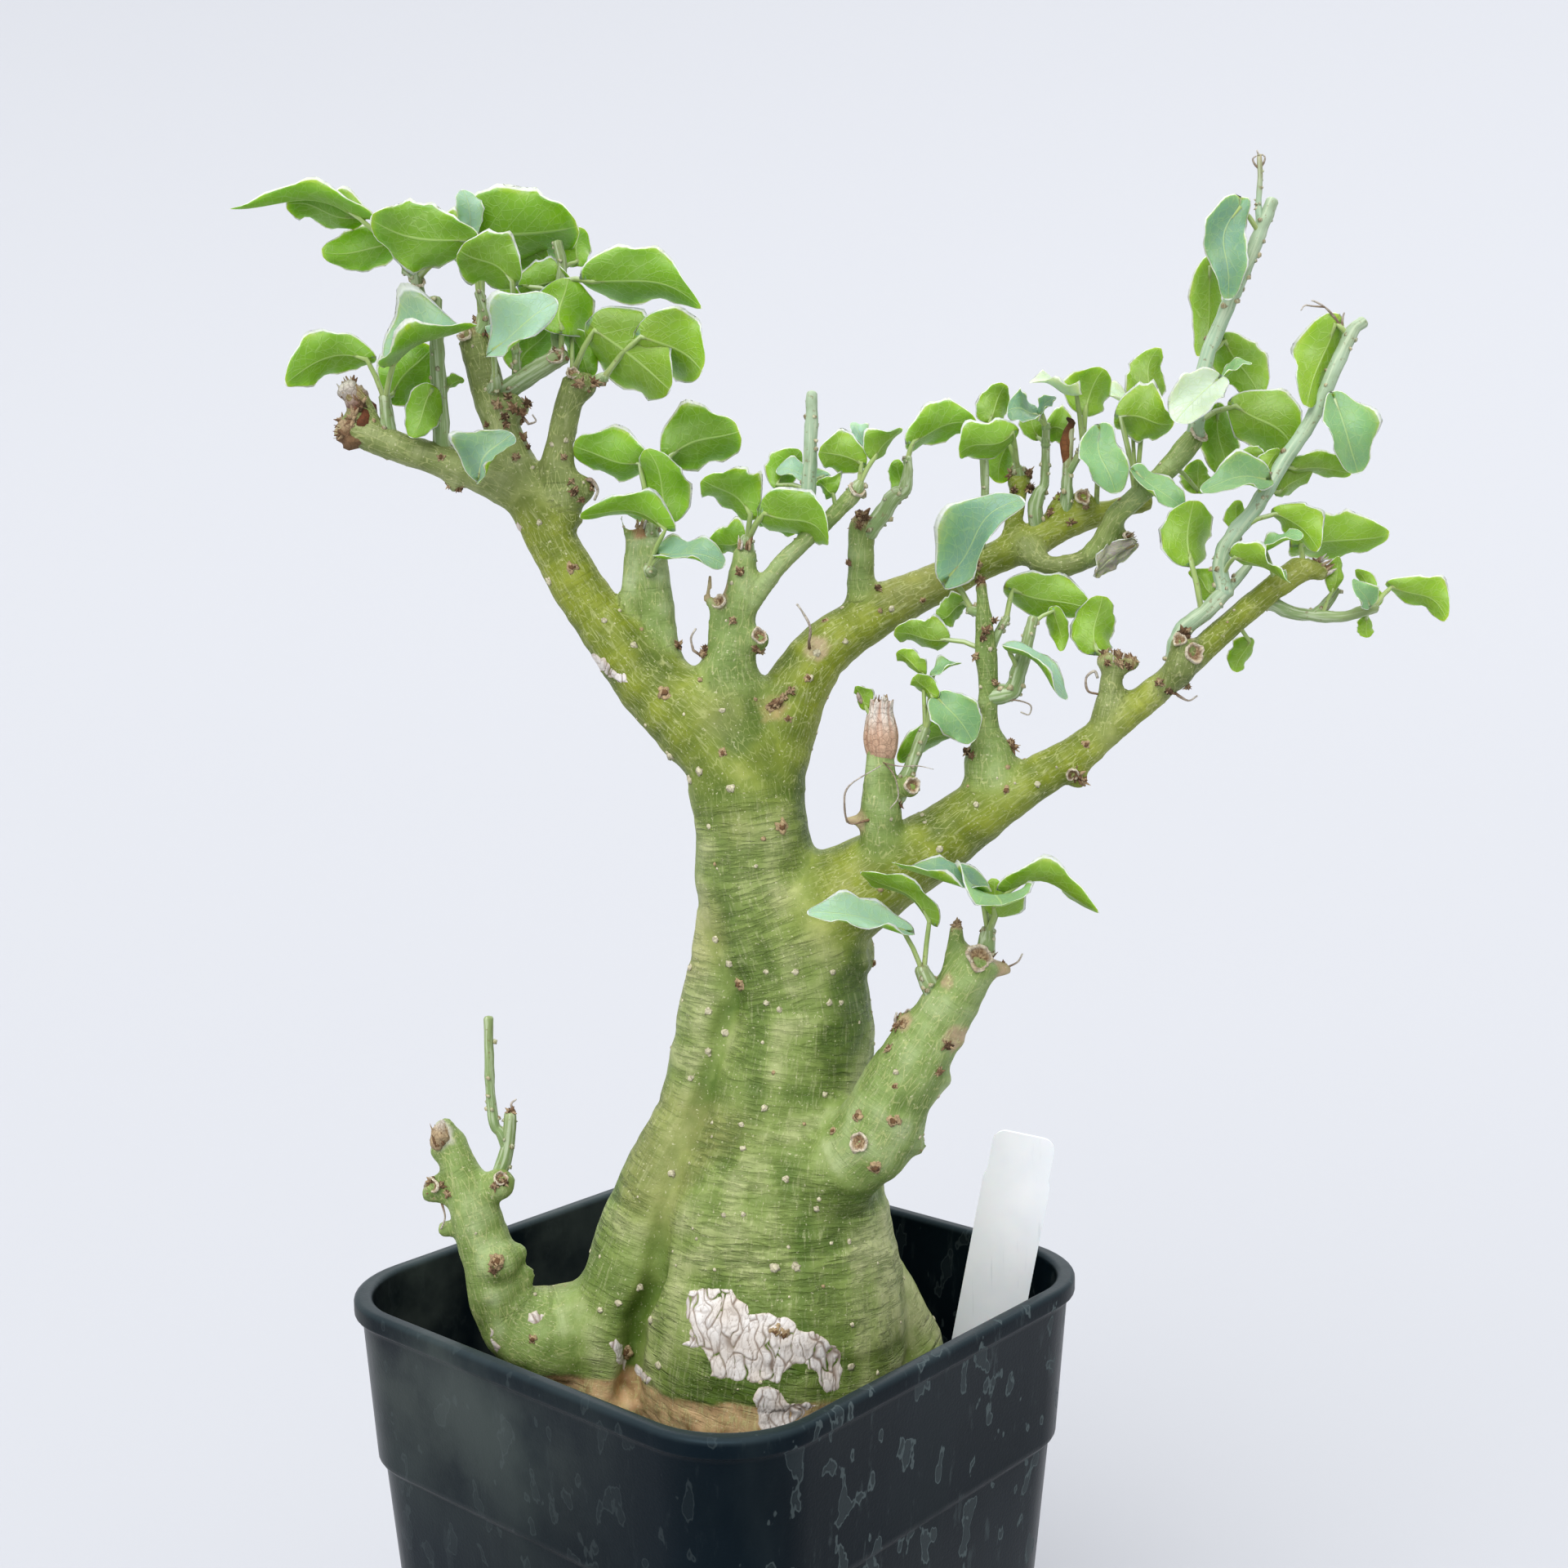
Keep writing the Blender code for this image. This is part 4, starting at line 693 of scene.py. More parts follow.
def barkMaterial():
    mat, tree, shader = newMaterial("greenBark")
    tint = addNode(tree, "ShaderNodeAttribute", attribute_name="tint")
    body = addNode(tree, "ShaderNodeAttribute", attribute_name="bodyShare").outputs["Fac"]
    seam = tint.outputs["Alpha"]
    fibres = noiseOf(tree, coordsOf(tree, "grain", (1500, 1500, 190)), 1, 4)
    wrinkles = noiseOf(tree, coordsOf(tree, "grain", (135, 135, 980)), 1, 6, 0.62, 0.4)
    folds = noiseOf(tree, coordsOf(tree, "grain", (75, 75, 430)), 1, 3, 0.5, 0.5)
    where = ramp(tree, noiseOf(tree, coordsOf(tree), 48, 3), 0.4, 0.62)
    specks = noiseOf(tree, coordsOf(tree), 1500, 2)
    grit = noiseOf(tree, coordsOf(tree), 420, 5, 0.65)
    patchy = ramp(tree, noiseOf(tree, coordsOf(tree), 70, 3), 0.38, 0.6, 0.4, 1.0)
    onBody = times(tree, ramp(tree, wrinkles, 0.55, 0.38), times(tree, seam, patchy))
    onBody = times(tree, onBody, ramp(tree, body, 0.0, 1.0, 0.25, 1.0))
    creases = times(tree, ramp(tree, folds, 0.47, 0.32), times(tree, where, seam))
    creases = times(tree, creases, ramp(tree, body, 0.0, 1.0, 0.3, 1.0))
    net = cellsOf(tree, coordsOf(tree, "grain", (860, 860, 230)), 1, "DISTANCE_TO_EDGE")
    netting = times(tree, ramp(tree, net, 0.08, 0.01), ramp(tree, grit, 0.4, 0.6))
    netting = times(tree, netting, maths(tree, "SUBTRACT", 1.0, body))
    threads = times(tree, ramp(tree, fibres, 0.5, 0.72), seam)
    gritty = ramp(tree, grit, 0.35, 0.65, 0.0, 0.3)
    colour = mixed(tree, gritty, tint.outputs["Color"], barkLook["gritTint"])
    colour = mixed(tree, times(tree, threads, 0.26), colour, barkLook["fibreTint"])
    # painted shade: the sunk wrinkles and creases are darkened as well as bumped in
    colour = mixed(tree, times(tree, onBody, 0.5), colour, barkLook["paintedWrinkleShade"])
    colour = mixed(tree, times(tree, creases, 0.3), colour, barkLook["paintedCreaseShade"])
    colour = mixed(tree, times(tree, netting, 0.4), colour, barkLook["nettingTint"])
    colour = mixed(tree, ramp(tree, specks, 0.64, 0.72, 0.0, 0.5), colour, barkLook["speckTint"])
    relief = times(tree, onBody, -0.55)
    relief = maths(tree, "SUBTRACT", relief, times(tree, creases, 0.8))
    normal = bumped(tree, relief, 0.0006, 0.8)
    normal = bumped(tree, grit, 0.0006, 0.45, normal)
    normal = bumped(tree, threads, 0.00012, 0.6, normal)
    rough = ramp(tree, grit, 0.3, 0.7, 0.46, 0.64)
    dress(tree, shader, colour, rough, normal, {"Specular IOR Level": 0.3})
    return mat


def dryMaterial():
    mat, tree, shader = newMaterial("dryBark")
    grit = noiseOf(tree, coordsOf(tree), 1100, 5, 0.7)
    cracks = cellsOf(tree, coordsOf(tree), 620, "DISTANCE_TO_EDGE")
    colour = mixed(tree, ramp(tree, grit, 0.35, 0.65, 0.0, 0.35), tintOf(tree), rgb(84, 64, 46))
    colour = mixed(tree, ramp(tree, cracks, 0.09, 0.0, 0.0, 0.4), colour, rgb(70, 52, 38))
    dress(tree, shader, colour, 0.9, bumped(tree, grit, 0.0005, 0.9), {"Specular IOR Level": 0.2})
    return mat


greenBark = barkMaterial()
dryBark = dryMaterial()

bark = roundedCopy("trunk", barkLook["voxelMm"] * mm, barkLook["smoothing"])
softenJoins(bark)
paintBark(bark)
barkTree = BVHTree.FromBMesh(bark)
print("bark", len(bark.faces), "faces")


def onBark(px, py):
    # the first place on the bark seen at this pixel, and the way out of it
    ray = viewRay(px, py).normalized()
    place, normal = barkTree.ray_cast(photoView["eye"], ray)[:2]
    if place is None:
        return None
    return place, normal


hangsClear = 3.2 * mm


def seated(place, reach):
    # drawn in to the bark where it would hang just clear of it
    near, normal, _, gap = barkTree.find_nearest(place)
    if reach < gap < hangsClear and (place - near).dot(normal) > 0:
        return near + (place - near).normalized() * reach
    return place


# warts and scars: seen ones as (px, py, radius in mm), and more drawn all round
wartLook = {
    "pale": rgb(214, 208, 176),
    "rim": rgb(184, 160, 122),
    "middle": rgb(118, 88, 60),
    "cutRim": rgb(232, 222, 198),
    "cutRimShare": 0.82,
    "drawn": 200,
    "drawnMm": (0.3, 0.7),
    "lowestDropMm": 12,
    "scar": (1052, 1398, 2.1),
}
paleWarts = [
    (876, 1150, 0.9), (893, 1180, 1.0), (867, 1238, 0.9), (888, 1265, 1.0), (867, 1287, 0.8),
    (938, 1190, 0.6), (974, 1190, 0.8), (938, 1228, 0.6), (954, 1236, 0.7), (1016, 1228, 0.7),
    (1030, 1228, 0.6), (936, 1357, 0.8), (908, 1377, 0.7), (910, 1406, 0.7), (822, 1437, 0.9),
    (962, 1444, 0.8), (910, 1487, 0.6), (886, 1488, 0.6), (949, 1552, 1.2), (975, 1552, 1.0),
    (895, 965, 1.0), (868, 1012, 0.7), (1020, 1190, 0.7), (846, 1320, 0.7), (782, 1576, 1.0),
    (757, 1596, 0.8), (735, 1604, 0.7), (1010, 1340, 0.7), (1000, 1480, 0.7), (1040, 1520, 0.6),
    (760, 1395, 0.7), (672, 712, 1.0), (740, 760, 0.7), (776, 790, 0.8), (660, 640, 0.7), (1190, 1060, 0.7),
    (1150, 1040, 0.8), (1270, 960, 0.7), (1195, 985, 0.7), (1000, 800, 0.9), (1035, 785, 0.7),
    (1092, 745, 0.7), (850, 1046, 0.8), (845, 1185, 0.8), (797, 1616, 0.9), (806, 1672, 1.0),
    (790, 1690, 0.7), (1042, 1674, 0.9), (845, 955, 1.1), (856, 945, 1.0), (820, 925, 1.2),
    (1173, 1058, 0.6), (992, 830, 0.8), (884, 870, 0.7),
]
brownWarts = [
    (958, 1012, 1.5), (905, 1205, 1.4), (814, 848, 1.5), (700, 695, 1.3), (945, 865, 1.4), (990, 830, 1.0),
    (608, 1545, 1.7), (1106, 1253, 1.2), (885, 922, 1.0), (965, 880, 1.0), (1232, 968, 0.9),
    (540, 560, 0.9), (652, 1640, 1.1), (1010, 760, 0.8), (1130, 735, 0.8), (1195, 691, 1.5),
    (1330, 912, 0.9), (1050, 1367, 1.2), (1094, 1372, 1.4), (1072, 1430, 1.4), (1020, 1385, 1.0),
    (950, 1630, 1.3), (960, 1634, 1.2), (765, 1655, 1.5), (1095, 1330, 0.8), (1078, 1148, 1.0),
    (1070, 1180, 0.8),
]


def addWarts(bm, seenFaces):
    for number, (px, py, radius) in enumerate(paleWarts):
        seen = onBark(px, py)
        if seen:
            pebble(bm, seen[0], radius * mm, wartLook["pale"], 2, 0.6, seen[1], number)
    for number, (px, py, radius) in enumerate(brownWarts):
        seen = onBark(px, py)
        if seen:
            foot = seen[0] - seen[1] * 0.2 * mm
            pebble(bm, foot, radius * mm, wartLook["rim"], 3, 0.7, seen[1], number + 0.5)
            top = seen[0] + seen[1] * 0.22 * radius * mm
            pebble(bm, top, radius * 0.55 * mm, wartLook["middle"], 2, 0.7, seen[1], number)
    for number in range(wartLook["drawn"]):
        place, normal = draw.choice(seenFaces)
        size = draw.uniform(*wartLook["drawnMm"]) * mm
        colour = wartLook["pale"] if number % 4 else wartLook["rim"]
        pebble(bm, place, size, colour, 1, 0.5, normal, number + 0.3)


def addScarRing(bm, px, py, radius):
    # an oval scar: pale raised rim round a brown middle
    seen = onBark(px, py)
    if seen:
        cutEnd(bm, seen[0] + seen[1] * 0.3 * mm, seen[1], radius, 0.35)


def cutEnd(bm, place, facing, radius, height=0.5):
    # the face of an old cut: a raised pale rim and a brown, spongy middle
    side = facing.orthogonal().normalized()
    other = facing.cross(side)
    outer = wartLook["cutRimShare"]
    made = gridVerts(bm, 32, 9)
    for vert in made:
        turn = (vert.co.x + 1) * math.pi
        out = (vert.co.y + 1) / 2
        circle = Vector((math.cos(turn), math.sin(turn), 0))
        seed = Vector((0, 0, radius * 9 + place.x * 900))
        ragged = noise(circle * 3.5 + seed)
        wobble = 1 + 0.3 * noise(circle * 1.1 + seed) + 0.14 * ragged
        spread = min(out / outer, 1.0) * radius * wobble * mm
        flat = around(side, other, turn) * spread
        pit = noise((place + flat) * 1500)
        rise = height * (1 + 0.8 * ragged) * smoothStep(0.45, 0.75, out)
        rise -= height * (0.4 + abs(pit) * 2) * (1 - out)
        rise -= smoothStep(outer, 1.0, out) * 1.6 * height
        vert.co = place + flat + facing * rise * mm
        inner = blend(wartLook["middle"], wartLook["rim"], abs(pit) * 2.6)
        rim = blend(wartLook["cutRim"], dryTan, 0.15 + 1.1 * ragged)
        colourVert(bm, vert, blend(inner, rim, smoothStep(0.5, 0.7, out + 0.12 * ragged)))
    weld(bm, made)


# old cuts that still show: (px, py, back, radius in mm, leaning right, leaning up)
oldCuts = [
    (1204, 1167, -34, 2.9, 0.3, 0.35), (1462, 799, -17, 2.3, 0.3, 0.2), (1117, 961, -16.5, 1.9, 0.4, 0.1),
    (1326, 608, 8.5, 1.9, 0.2, 0.3), (680, 437, 7.8, 1.9, -0.3, 0.3), (930, 779, -3.5, 1.8, 0.3, 0.2),
    (1052, 597, -5, 1.9, 0.7, 0.9), (1384, 657, 2.6, 1.7, 0.9, 0.3), (1444, 780, -17, 1.5, -0.3, 0.5),
    (881, 735, -2.5, 1.7, -0.6, 0.6), (514, 347, 7.6, 1.5, -0.3, 1.2), (1468, 531, 1, 2.2, 0.7, 0.9),
    (527, 1449, -14.5, 1.8, -0.9, 0.2), (613, 1442, -16, 1.6, 0.6, 0.6), (700, 455, 5, 1.6, 0.4, 0.7),
    (567, 408, 9.5, 1.8, -0.4, 0.9), (842, 868, -5, 1.2, -0.2, 0.1), (1313, 951, -15, 1.5, 0.2, -0.4),
]


# splintered ends: (px, py, back, radius in mm, leaning right, leaning up)
splinteredEnds = [
    (541, 1390, -11.5, 2.2, -0.15, 1.0), (536, 1398, -13, 1.6, -0.2, 0.9), (427, 474, 8, 1.8, -0.5, 1.0),
    (1079, 862, -11, 1.5, 0.0, 1.0), (424, 530, 7, 2.0, -1.0, 0.2), (785, 642, 7, 1.2, 0.15, 1.0),
    (1208, 1172, -31, 1.6, 0.5, 0.8), (880, 738, 0, 1.3, -0.2, 1.0), (912, 668, 0, 1.6, 0.1, 1.0),
    (1384, 660, 4, 1.2, 0.8, 0.5), (1622, 694, -12, 1.8, 0.9, 0.5), (1368, 812, -10, 1.8, 0.1, 1.0),
]


shardLook = {"number": 11, "lengthShare": (1.0, 2.0), "radiiMm": (0.42, 0.36, 0.08)}


def addSplinters(bm):
    # thin dry shards standing round a broken end
    for px, py, back, radius, right, up in splinteredEnds:
        centre = spot(px, py, back)
        facing = Vector((right, 0, up)).normalized()
        side = facing.orthogonal().normalized()
        other = facing.cross(side)
        for number in range(shardLook["number"]):
            turn = number * 2.39 + draw.uniform(-0.3, 0.3)
            out = around(side, other, turn)
            foot = centre + out * radius * draw.uniform(0.45, 0.95) * mm - facing * 0.8 * mm
            rise = facing * draw.uniform(*shardLook["lengthShare"]) * radius * mm
            tip = foot + rise + out * draw.uniform(-0.3, 0.5) * radius * mm
            path = taper(*zip((foot, foot.lerp(tip, 0.5), tip), shardLook["radiiMm"]))
            colour = draw.choice((dryPale, dryTan, dryBrown))
            sweep(bm, path, lambda share: colour, 5, 0.9)


# dead buds and broken stubs: (px, py, back, radius in mm)
budLook = {"brown": rgb(128, 100, 74), "dark": rgb(88, 68, 50), "tan": rgb(178, 154, 120), "scales": 8}
deadBuds = [
    (424, 531, 6, 2.4), (434, 512, 6, 2.2), (441, 497, 6, 2.0), (430, 476, 8, 2.4), (420, 516, 9, 1.8),
    (592, 405, 12, 2.2), (576, 410, 13, 2.0), (587, 392, 12, 1.6), (650, 490, 8, 1.4), (640, 505, 8, 1.3),
    (686, 435, 9, 1.8), (716, 472, 6, 2.2), (728, 468, 6, 1.5), (704, 466, 8, 1.6), (722, 596, 7, 1.6),
    (561, 597, 9, 1.4), (550, 594, 9, 1.1), (1055, 636, 9, 2.6), (1046, 645, 9, 1.4), (1066, 640, 9, 1.4),
    (1240, 580, 11, 1.6), (1259, 580, 11, 1.6), (1250, 593, 11, 1.5), (1267, 600, 10, 1.5),
    (1297, 612, 12, 1.8), (1303, 603, 11, 1.3), (1311, 640, 10, 1.2), (1318, 950, -12, 2.0),
    (1326, 956, -12, 1.4), (1100, 985, -12, 1.2), (1240, 915, -8, 1.4), (1246, 905, -8, 1.2),
    (1184, 920, -8, 1.2), (1374, 806, -10, 2.0), (1386, 808, -11, 1.5), (1352, 803, -9, 1.6),
    (1365, 803, -9, 1.6), (1463, 850, -12, 1.0), (535, 1455, -12, 1.9), (529, 1447, -12, 1.4),
    (540, 1466, -12, 1.4), (610, 1446, -13, 1.9), (605, 1458, -13, 1.4), (616, 1438, -12, 1.2),
    (625, 1362, -11, 1.3), (1104, 1248, -27, 1.7), (1096, 1262, -26, 1.2), (1082, 1292, -26, 1.7),
    (1164, 1272, -28, 1.8), (1154, 1320, -27, 1.5), (1120, 1402, -26, 1.7), (1112, 1410, -27, 1.1),
    (1229, 1182, -29, 1.1), (1618, 697, -12, 1.6), (1612, 690, -12, 1.3), (857, 800, 0, 1.3),
    (853, 792, 0, 1.1), (927, 784, 0, 1.7), (931, 797, 0, 1.3), (832, 790, 4, 1.2), (952, 858, -4, 1.6),
    (960, 850, -3, 1.2), (1450, 776, -14, 2.0), (1201, 711, -7, 1.4), (1172, 1133, -28, 1.5),
    (801, 652, 7, 1.5), (1207, 772, -9.5, 1.3), (1190, 805, -9, 1.1), (1222, 760, -8, 1.0),
    (906, 700, -1.5, 1.2), (897, 760, -2.5, 1.1), (620, 520, 8, 1.1), (612, 470, 9, 1.0),
    (690, 560, 5.5, 1.0), (1075, 720, 6, 1.0), (1034, 690, 7, 0.9),
]


# more at the joints of the limbs, by where they are seen on the bark: (px, py, radius in mm)
jointBuds = [
    (609, 496, 1.5), (618, 510, 1.3), (628, 500, 1.6), (637, 516, 1.2), (622, 486, 1.2), (640, 536, 1.4),
    (632, 560, 1.2), (646, 548, 1.0), (574, 476, 1.2), (580, 494, 1.0), (596, 520, 0.9), (710, 470, 1.5),
    (538, 530, 1.3), (530, 540, 1.1), (470, 566, 1.0), (526, 583, 0.9), (703, 602, 1.3), (712, 612, 1.0),
    (700, 590, 1.0), (1047, 630, 1.6), (1058, 634, 1.5), (1064, 626, 1.3), (1040, 640, 1.2),
    (1052, 643, 1.2), (1420, 836, 1.2), (1431, 846, 1.2), (1443, 851, 1.1), (1455, 847, 1.2),
    (1463, 838, 1.0), (1240, 898, 1.3), (1178, 912, 1.2), (1190, 926, 1.0), (1370, 812, 1.3),
    (1382, 816, 1.1), (1356, 812, 1.0), (1190, 822, 1.1), (1218, 836, 1.0), (1204, 782, 1.0),
    (925, 794, 1.2), (934, 806, 1.0), (968, 846, 1.2), (945, 866, 1.1), (858, 770, 0.9), (1270, 620, 1.1),
    (1286, 628, 1.2), (1330, 620, 1.0), (1242, 600, 1.2), (1098, 1256, 1.2), (1088, 1284, 1.2),
    (1160, 1280, 1.4), (1150, 1312, 1.1), (606, 1452, 1.2), (617, 1448, 1.2), (540, 1452, 1.3),
    (548, 1462, 1.1), (604, 1556, 1.2),
]


def budPlaces():
    for px, py, back, radius in deadBuds:
        yield seated(spot(px, py, back), 0.3 * radius * mm), radius
    for px, py, radius in jointBuds:
        hit = onBark(px, py)
        if hit:
            yield hit[0], radius


def addBuds(bm):
    for number, (place, radius) in enumerate(budPlaces()):
        colour = (budLook["brown"], budLook["tan"], budLook["dark"])[number % 3]
        pebble(bm, place, radius * 0.6 * mm, colour, 3, 1.0, None, number * 1.7)
        for scale in range(budLook["scales"]):
            turn = number + scale * 1.4
            lean = Vector((math.cos(turn), -0.5, math.sin(turn * 1.3) + 0.3)).normalized()
            tip = place + lean * radius * draw.uniform(0.9, 1.5) * mm
            path = taper((place, radius * 0.26), (place.lerp(tip, 0.6), radius * 0.2), (tip, radius * 0.05))
            scaleColour = budLook["tan"] if scale % 2 else budLook["brown"]
            sweep(bm, path, lambda share: scaleColour, 6, 0.8)


# woody remains of broken shoots: (rows of (px, py, back, radius in mm), colour at foot, colour at end)
brokenStubs = [
    ([(456, 534, 8, 3.0), (446, 508, 8, 3.0), (434, 488, 8, 2.7),
      (425, 474, 8, 2.5)], rgb(110, 62, 40), dryPale),
    ([(434, 540, 7.5, 3.2), (426, 528, 7, 2.6), (421, 518, 6.5, 1.6)], dryBrown, dryTan),
    ([(1308, 566, 9, 1.3), (1305, 545, 9, 1.25), (1307, 530, 9, 1.0), (1312, 518, 8.5, 0.9),
      (1307, 512, 8, 0.4)],
     rgb(136, 86, 52), rgb(62, 48, 40)),
    ([(536, 1404, -12.5, 1.6), (539, 1388, -12, 2.2), (542, 1372, -11.5, 0.5)], dryTan, dryPale),
]


def addStubs(bm):
    for rows, foot, end in brokenStubs:
        sweep(bm, smoothPath(rows, 5), lambda share: blend(foot, end, share * 2.2 - 1.2), 18, 0.5)


# dry tendrils and wiry remains: rows of (px, py, back, radius in mm)
dryWires = [
    [(1064, 1004, -14, 0.5), (1040, 1008, -14, 0.4), (1034, 985, -15, 0.35), (1040, 962, -15, 0.3),
     (1078, 938, -16, 0.2)],
    [(1078, 933, -13.6, 0.3), (1100, 938, -16, 0.22), (1125, 938, -16, 0.2), (1143, 942, -16, 0.15)],
    [(1082, 933, -13.6, 0.3), (1095, 950, -16, 0.25), (1100, 975, -16, 0.25), (1090, 990, -16, 0.2)],
    [(1231, 857, -9.5, 0.4), (1248, 858, -9, 0.35), (1262, 864, -9, 0.3), (1260, 875, -9, 0.3),
     (1250, 872, -9, 0.3)],
    [(1345, 850, -9, 0.5), (1332, 846, -9, 0.45), (1330, 830, -9, 0.4), (1340, 822, -9, 0.5),
     (1344, 830, -9, 0.5)],
    [(540, 1470, -12, 0.5), (545, 1490, -13, 0.4), (540, 1505, -13, 0.35)],
    [(530, 1440, -12, 0.5), (520, 1452, -12, 0.4), (524, 1466, -12, 0.3)],
    [(714, 590, 7, 0.9), (724, 588, 6, 0.8), (732, 600, 6, 0.7), (728, 612, 6, 0.6)],
    [(990, 790, 0, 0.6), (992, 768, -1, 0.5), (983, 750, -1, 0.4), (976, 740, -1, 0.5)],
    [(850, 800, 0, 0.5), (846, 782, 0, 0.4), (852, 770, 0, 0.4)],
    [(1013, 1080, -6, 0.6), (1013, 1066, -6, 0.45), (1012, 1055, -6, 0.8)],
    [(1232, 1185, -29, 0.5), (1246, 1178, -29, 0.4), (1252, 1168, -29, 0.35)],
    [(1056, 860, -11, 1.2), (1052, 850, -11, 1.0), (1056, 842, -11, 0.8), (1066, 852, -11, 0.6)],
    [(1100, 1262, -27, 0.7), (1096, 1250, -28, 0.5), (1098, 1240, -28, 0.4)],
    [(1104, 1248, -27, 0.5), (1112, 1236, -28, 0.4), (1118, 1242, -28, 0.3)],
    [(645, 520, 8, 0.6), (656, 516, 8, 0.5), (652, 508, 8, 0.4)],
    [(630, 1362, -11, 0.6), (626, 1352, -11, 0.4), (632, 1346, -11, 0.3)],
    [(1440, 850, -12, 0.5), (1455, 858, -12, 0.4), (1466, 852, -12, 0.3)],
    [(1542, 206, 0, 0.45), (1547, 200, 0, 0.35), (1549, 193, 0, 0.3), (1546, 189, 0, 0.25)],
    [(1542, 206, 0, 0.45), (1537, 202, 0, 0.35), (1534, 195, 0, 0.3), (1538, 191, 0, 0.25)],
    [(1542, 200, 0, 0.4), (1541, 190, 0, 0.35), (1539, 184, 0, 0.25)],
    [(1641, 399, -12, 0.5), (1632, 386, -12, 0.45), (1622, 376, -12, 0.4), (1612, 370, -12, 0.3),
     (1606, 368, -12, 0.25)],
    [(1622, 376, -12, 0.4), (1608, 375, -12, 0.3), (1598, 374, -12, 0.3), (1593, 380, -12, 0.25)],
    [(1643, 401, -12, 0.5), (1644, 390, -12, 0.4), (1646, 383, -12, 0.3)],
]


wireThinning = 0.62


def addWires(bm):
    for rows in dryWires:
        path = smoothPath([(px, py, back, radius * wireThinning) for px, py, back, radius in rows], 5)
        path[0] = Vector((*seated(path[0].to_3d(), 0.2 * mm), path[0].w))
        sweep(bm, path, lambda share: blend(dryPale, dryBrown, 1 - share), 6, 0.4)


# papery cap on the stub before the right limb
capLook = {
    "line": [(1081, 931, -11, 2.5), (1080, 920, -11, 3.4), (1079, 902, -11, 3.9), (1078, 884, -11, 3.4),
             (1078, 870, -11, 2.8), (1079, 858, -11, 2.8)],
    "paper": rgb(214, 178, 150),
    "tip": rgb(232, 224, 212),
    "shadow": rgb(186, 142, 116),
    "sides": 56,
    "thickMm": 0.35,
    "topFrayMm": 1.6,
    "footFrayMm": 0.8,
}


def addPaperCap(bm):
    path = smoothPath(capLook["line"], 7)
    frames = pathFrames(path)
    last = len(path) - 1
    made = gridVerts(bm, capLook["sides"], last)
    for vert in made:
        column, row = gridCell(vert, capLook["sides"], last)
        turn = column * 2 * math.pi / capLook["sides"]
        tangent, side, other = frames[row]
        rib = noise(Vector((math.cos(turn) * 6.5, math.sin(turn) * 6.5, row * 0.05)))
        fray = noise(Vector((math.cos(turn) * 5, math.sin(turn) * 5, 8)))
        share = row / last
        radius = path[row].w * (1 + 0.1 * rib)
        vert.co = path[row].to_3d() + around(side, other, turn) * radius
        reach = capLook["topFrayMm"] * smoothStep(0.7, 1, share)
        reach += capLook["footFrayMm"] * smoothStep(0.2, 0, share)
        vert.co += tangent * fray * reach * mm
        colour = blend(capLook["paper"], capLook["tip"], smoothStep(0.35, 0.8, share))
        colourVert(bm, vert, blend(colour, capLook["shadow"], 0.2 - 1.4 * rib))
    weld(bm, made)
    faces = facesOf(made)
    bmesh.ops.recalc_face_normals(bm, faces=faces)
    bmesh.ops.solidify(bm, geom=faces, thickness=capLook["thickMm"] * mm)


# flaking pale bark on the front of the caudex, as the outlines of what is seen
flakeLook = {
    "plate": rgb(226, 222, 218),
    "edge": rgb(178, 152, 116),
    "crack": rgb(112, 90, 70),
    "thickMm": 0.4,
    "raggedPx": 4,
    "marginPx": 8,
    "platePx": (15, 44),
    "fineCrackPx": (9, 15),
}
flakeOutlines = [
    [(842, 1577), (861, 1575), (883, 1577), (898, 1576), (904, 1590), (917, 1594), (922, 1607), (942, 1607),
     (962, 1611), (976, 1618), (978, 1626), (996, 1629), (1015, 1639), (1029, 1652), (1034, 1671),
     (1032, 1694), (1026, 1705), (1012, 1708), (1005, 1696), (996, 1682), (987, 1674), (978, 1672),
     (968, 1677), (959, 1685), (953, 1694), (942, 1695), (934, 1694), (911, 1691), (889, 1689), (866, 1687),
     (872, 1680), (868, 1666), (861, 1654), (844, 1652), (830, 1650), (841, 1638), (844, 1621), (836, 1607),
     (840, 1590)],
    [(714, 804), (726, 798), (742, 806), (750, 818), (766, 824), (774, 838), (756, 836), (742, 828),
     (724, 818)],
    [(614, 632), (628, 630), (642, 646), (636, 656), (622, 648)],
    [(742, 1644), (756, 1636), (766, 1650), (770, 1668), (766, 1682), (754, 1670), (748, 1656)],
    [(776, 1664), (788, 1676), (800, 1690), (792, 1698), (778, 1686)],
    [(646, 1606), (660, 1600), (668, 1612), (658, 1624), (646, 1620)],
    [(598, 1624), (605, 1628), (613, 1648), (612, 1662), (602, 1648)],
    [(927, 1696), (950, 1696), (959, 1705), (967, 1716), (987, 1716), (1006, 1719), (990, 1732),
     (956, 1756), (939, 1762), (927, 1744), (922, 1716)],
]


def insideOutline(outline, px, py):
    inside = False
    for (ax, ay), (bx, by) in zip(outline, outline[1:] + outline[:1]):
        if (ay > py) != (by > py) and px < (bx - ax) * (py - ay) / (by - ay) + ax:
            inside = not inside
    return inside


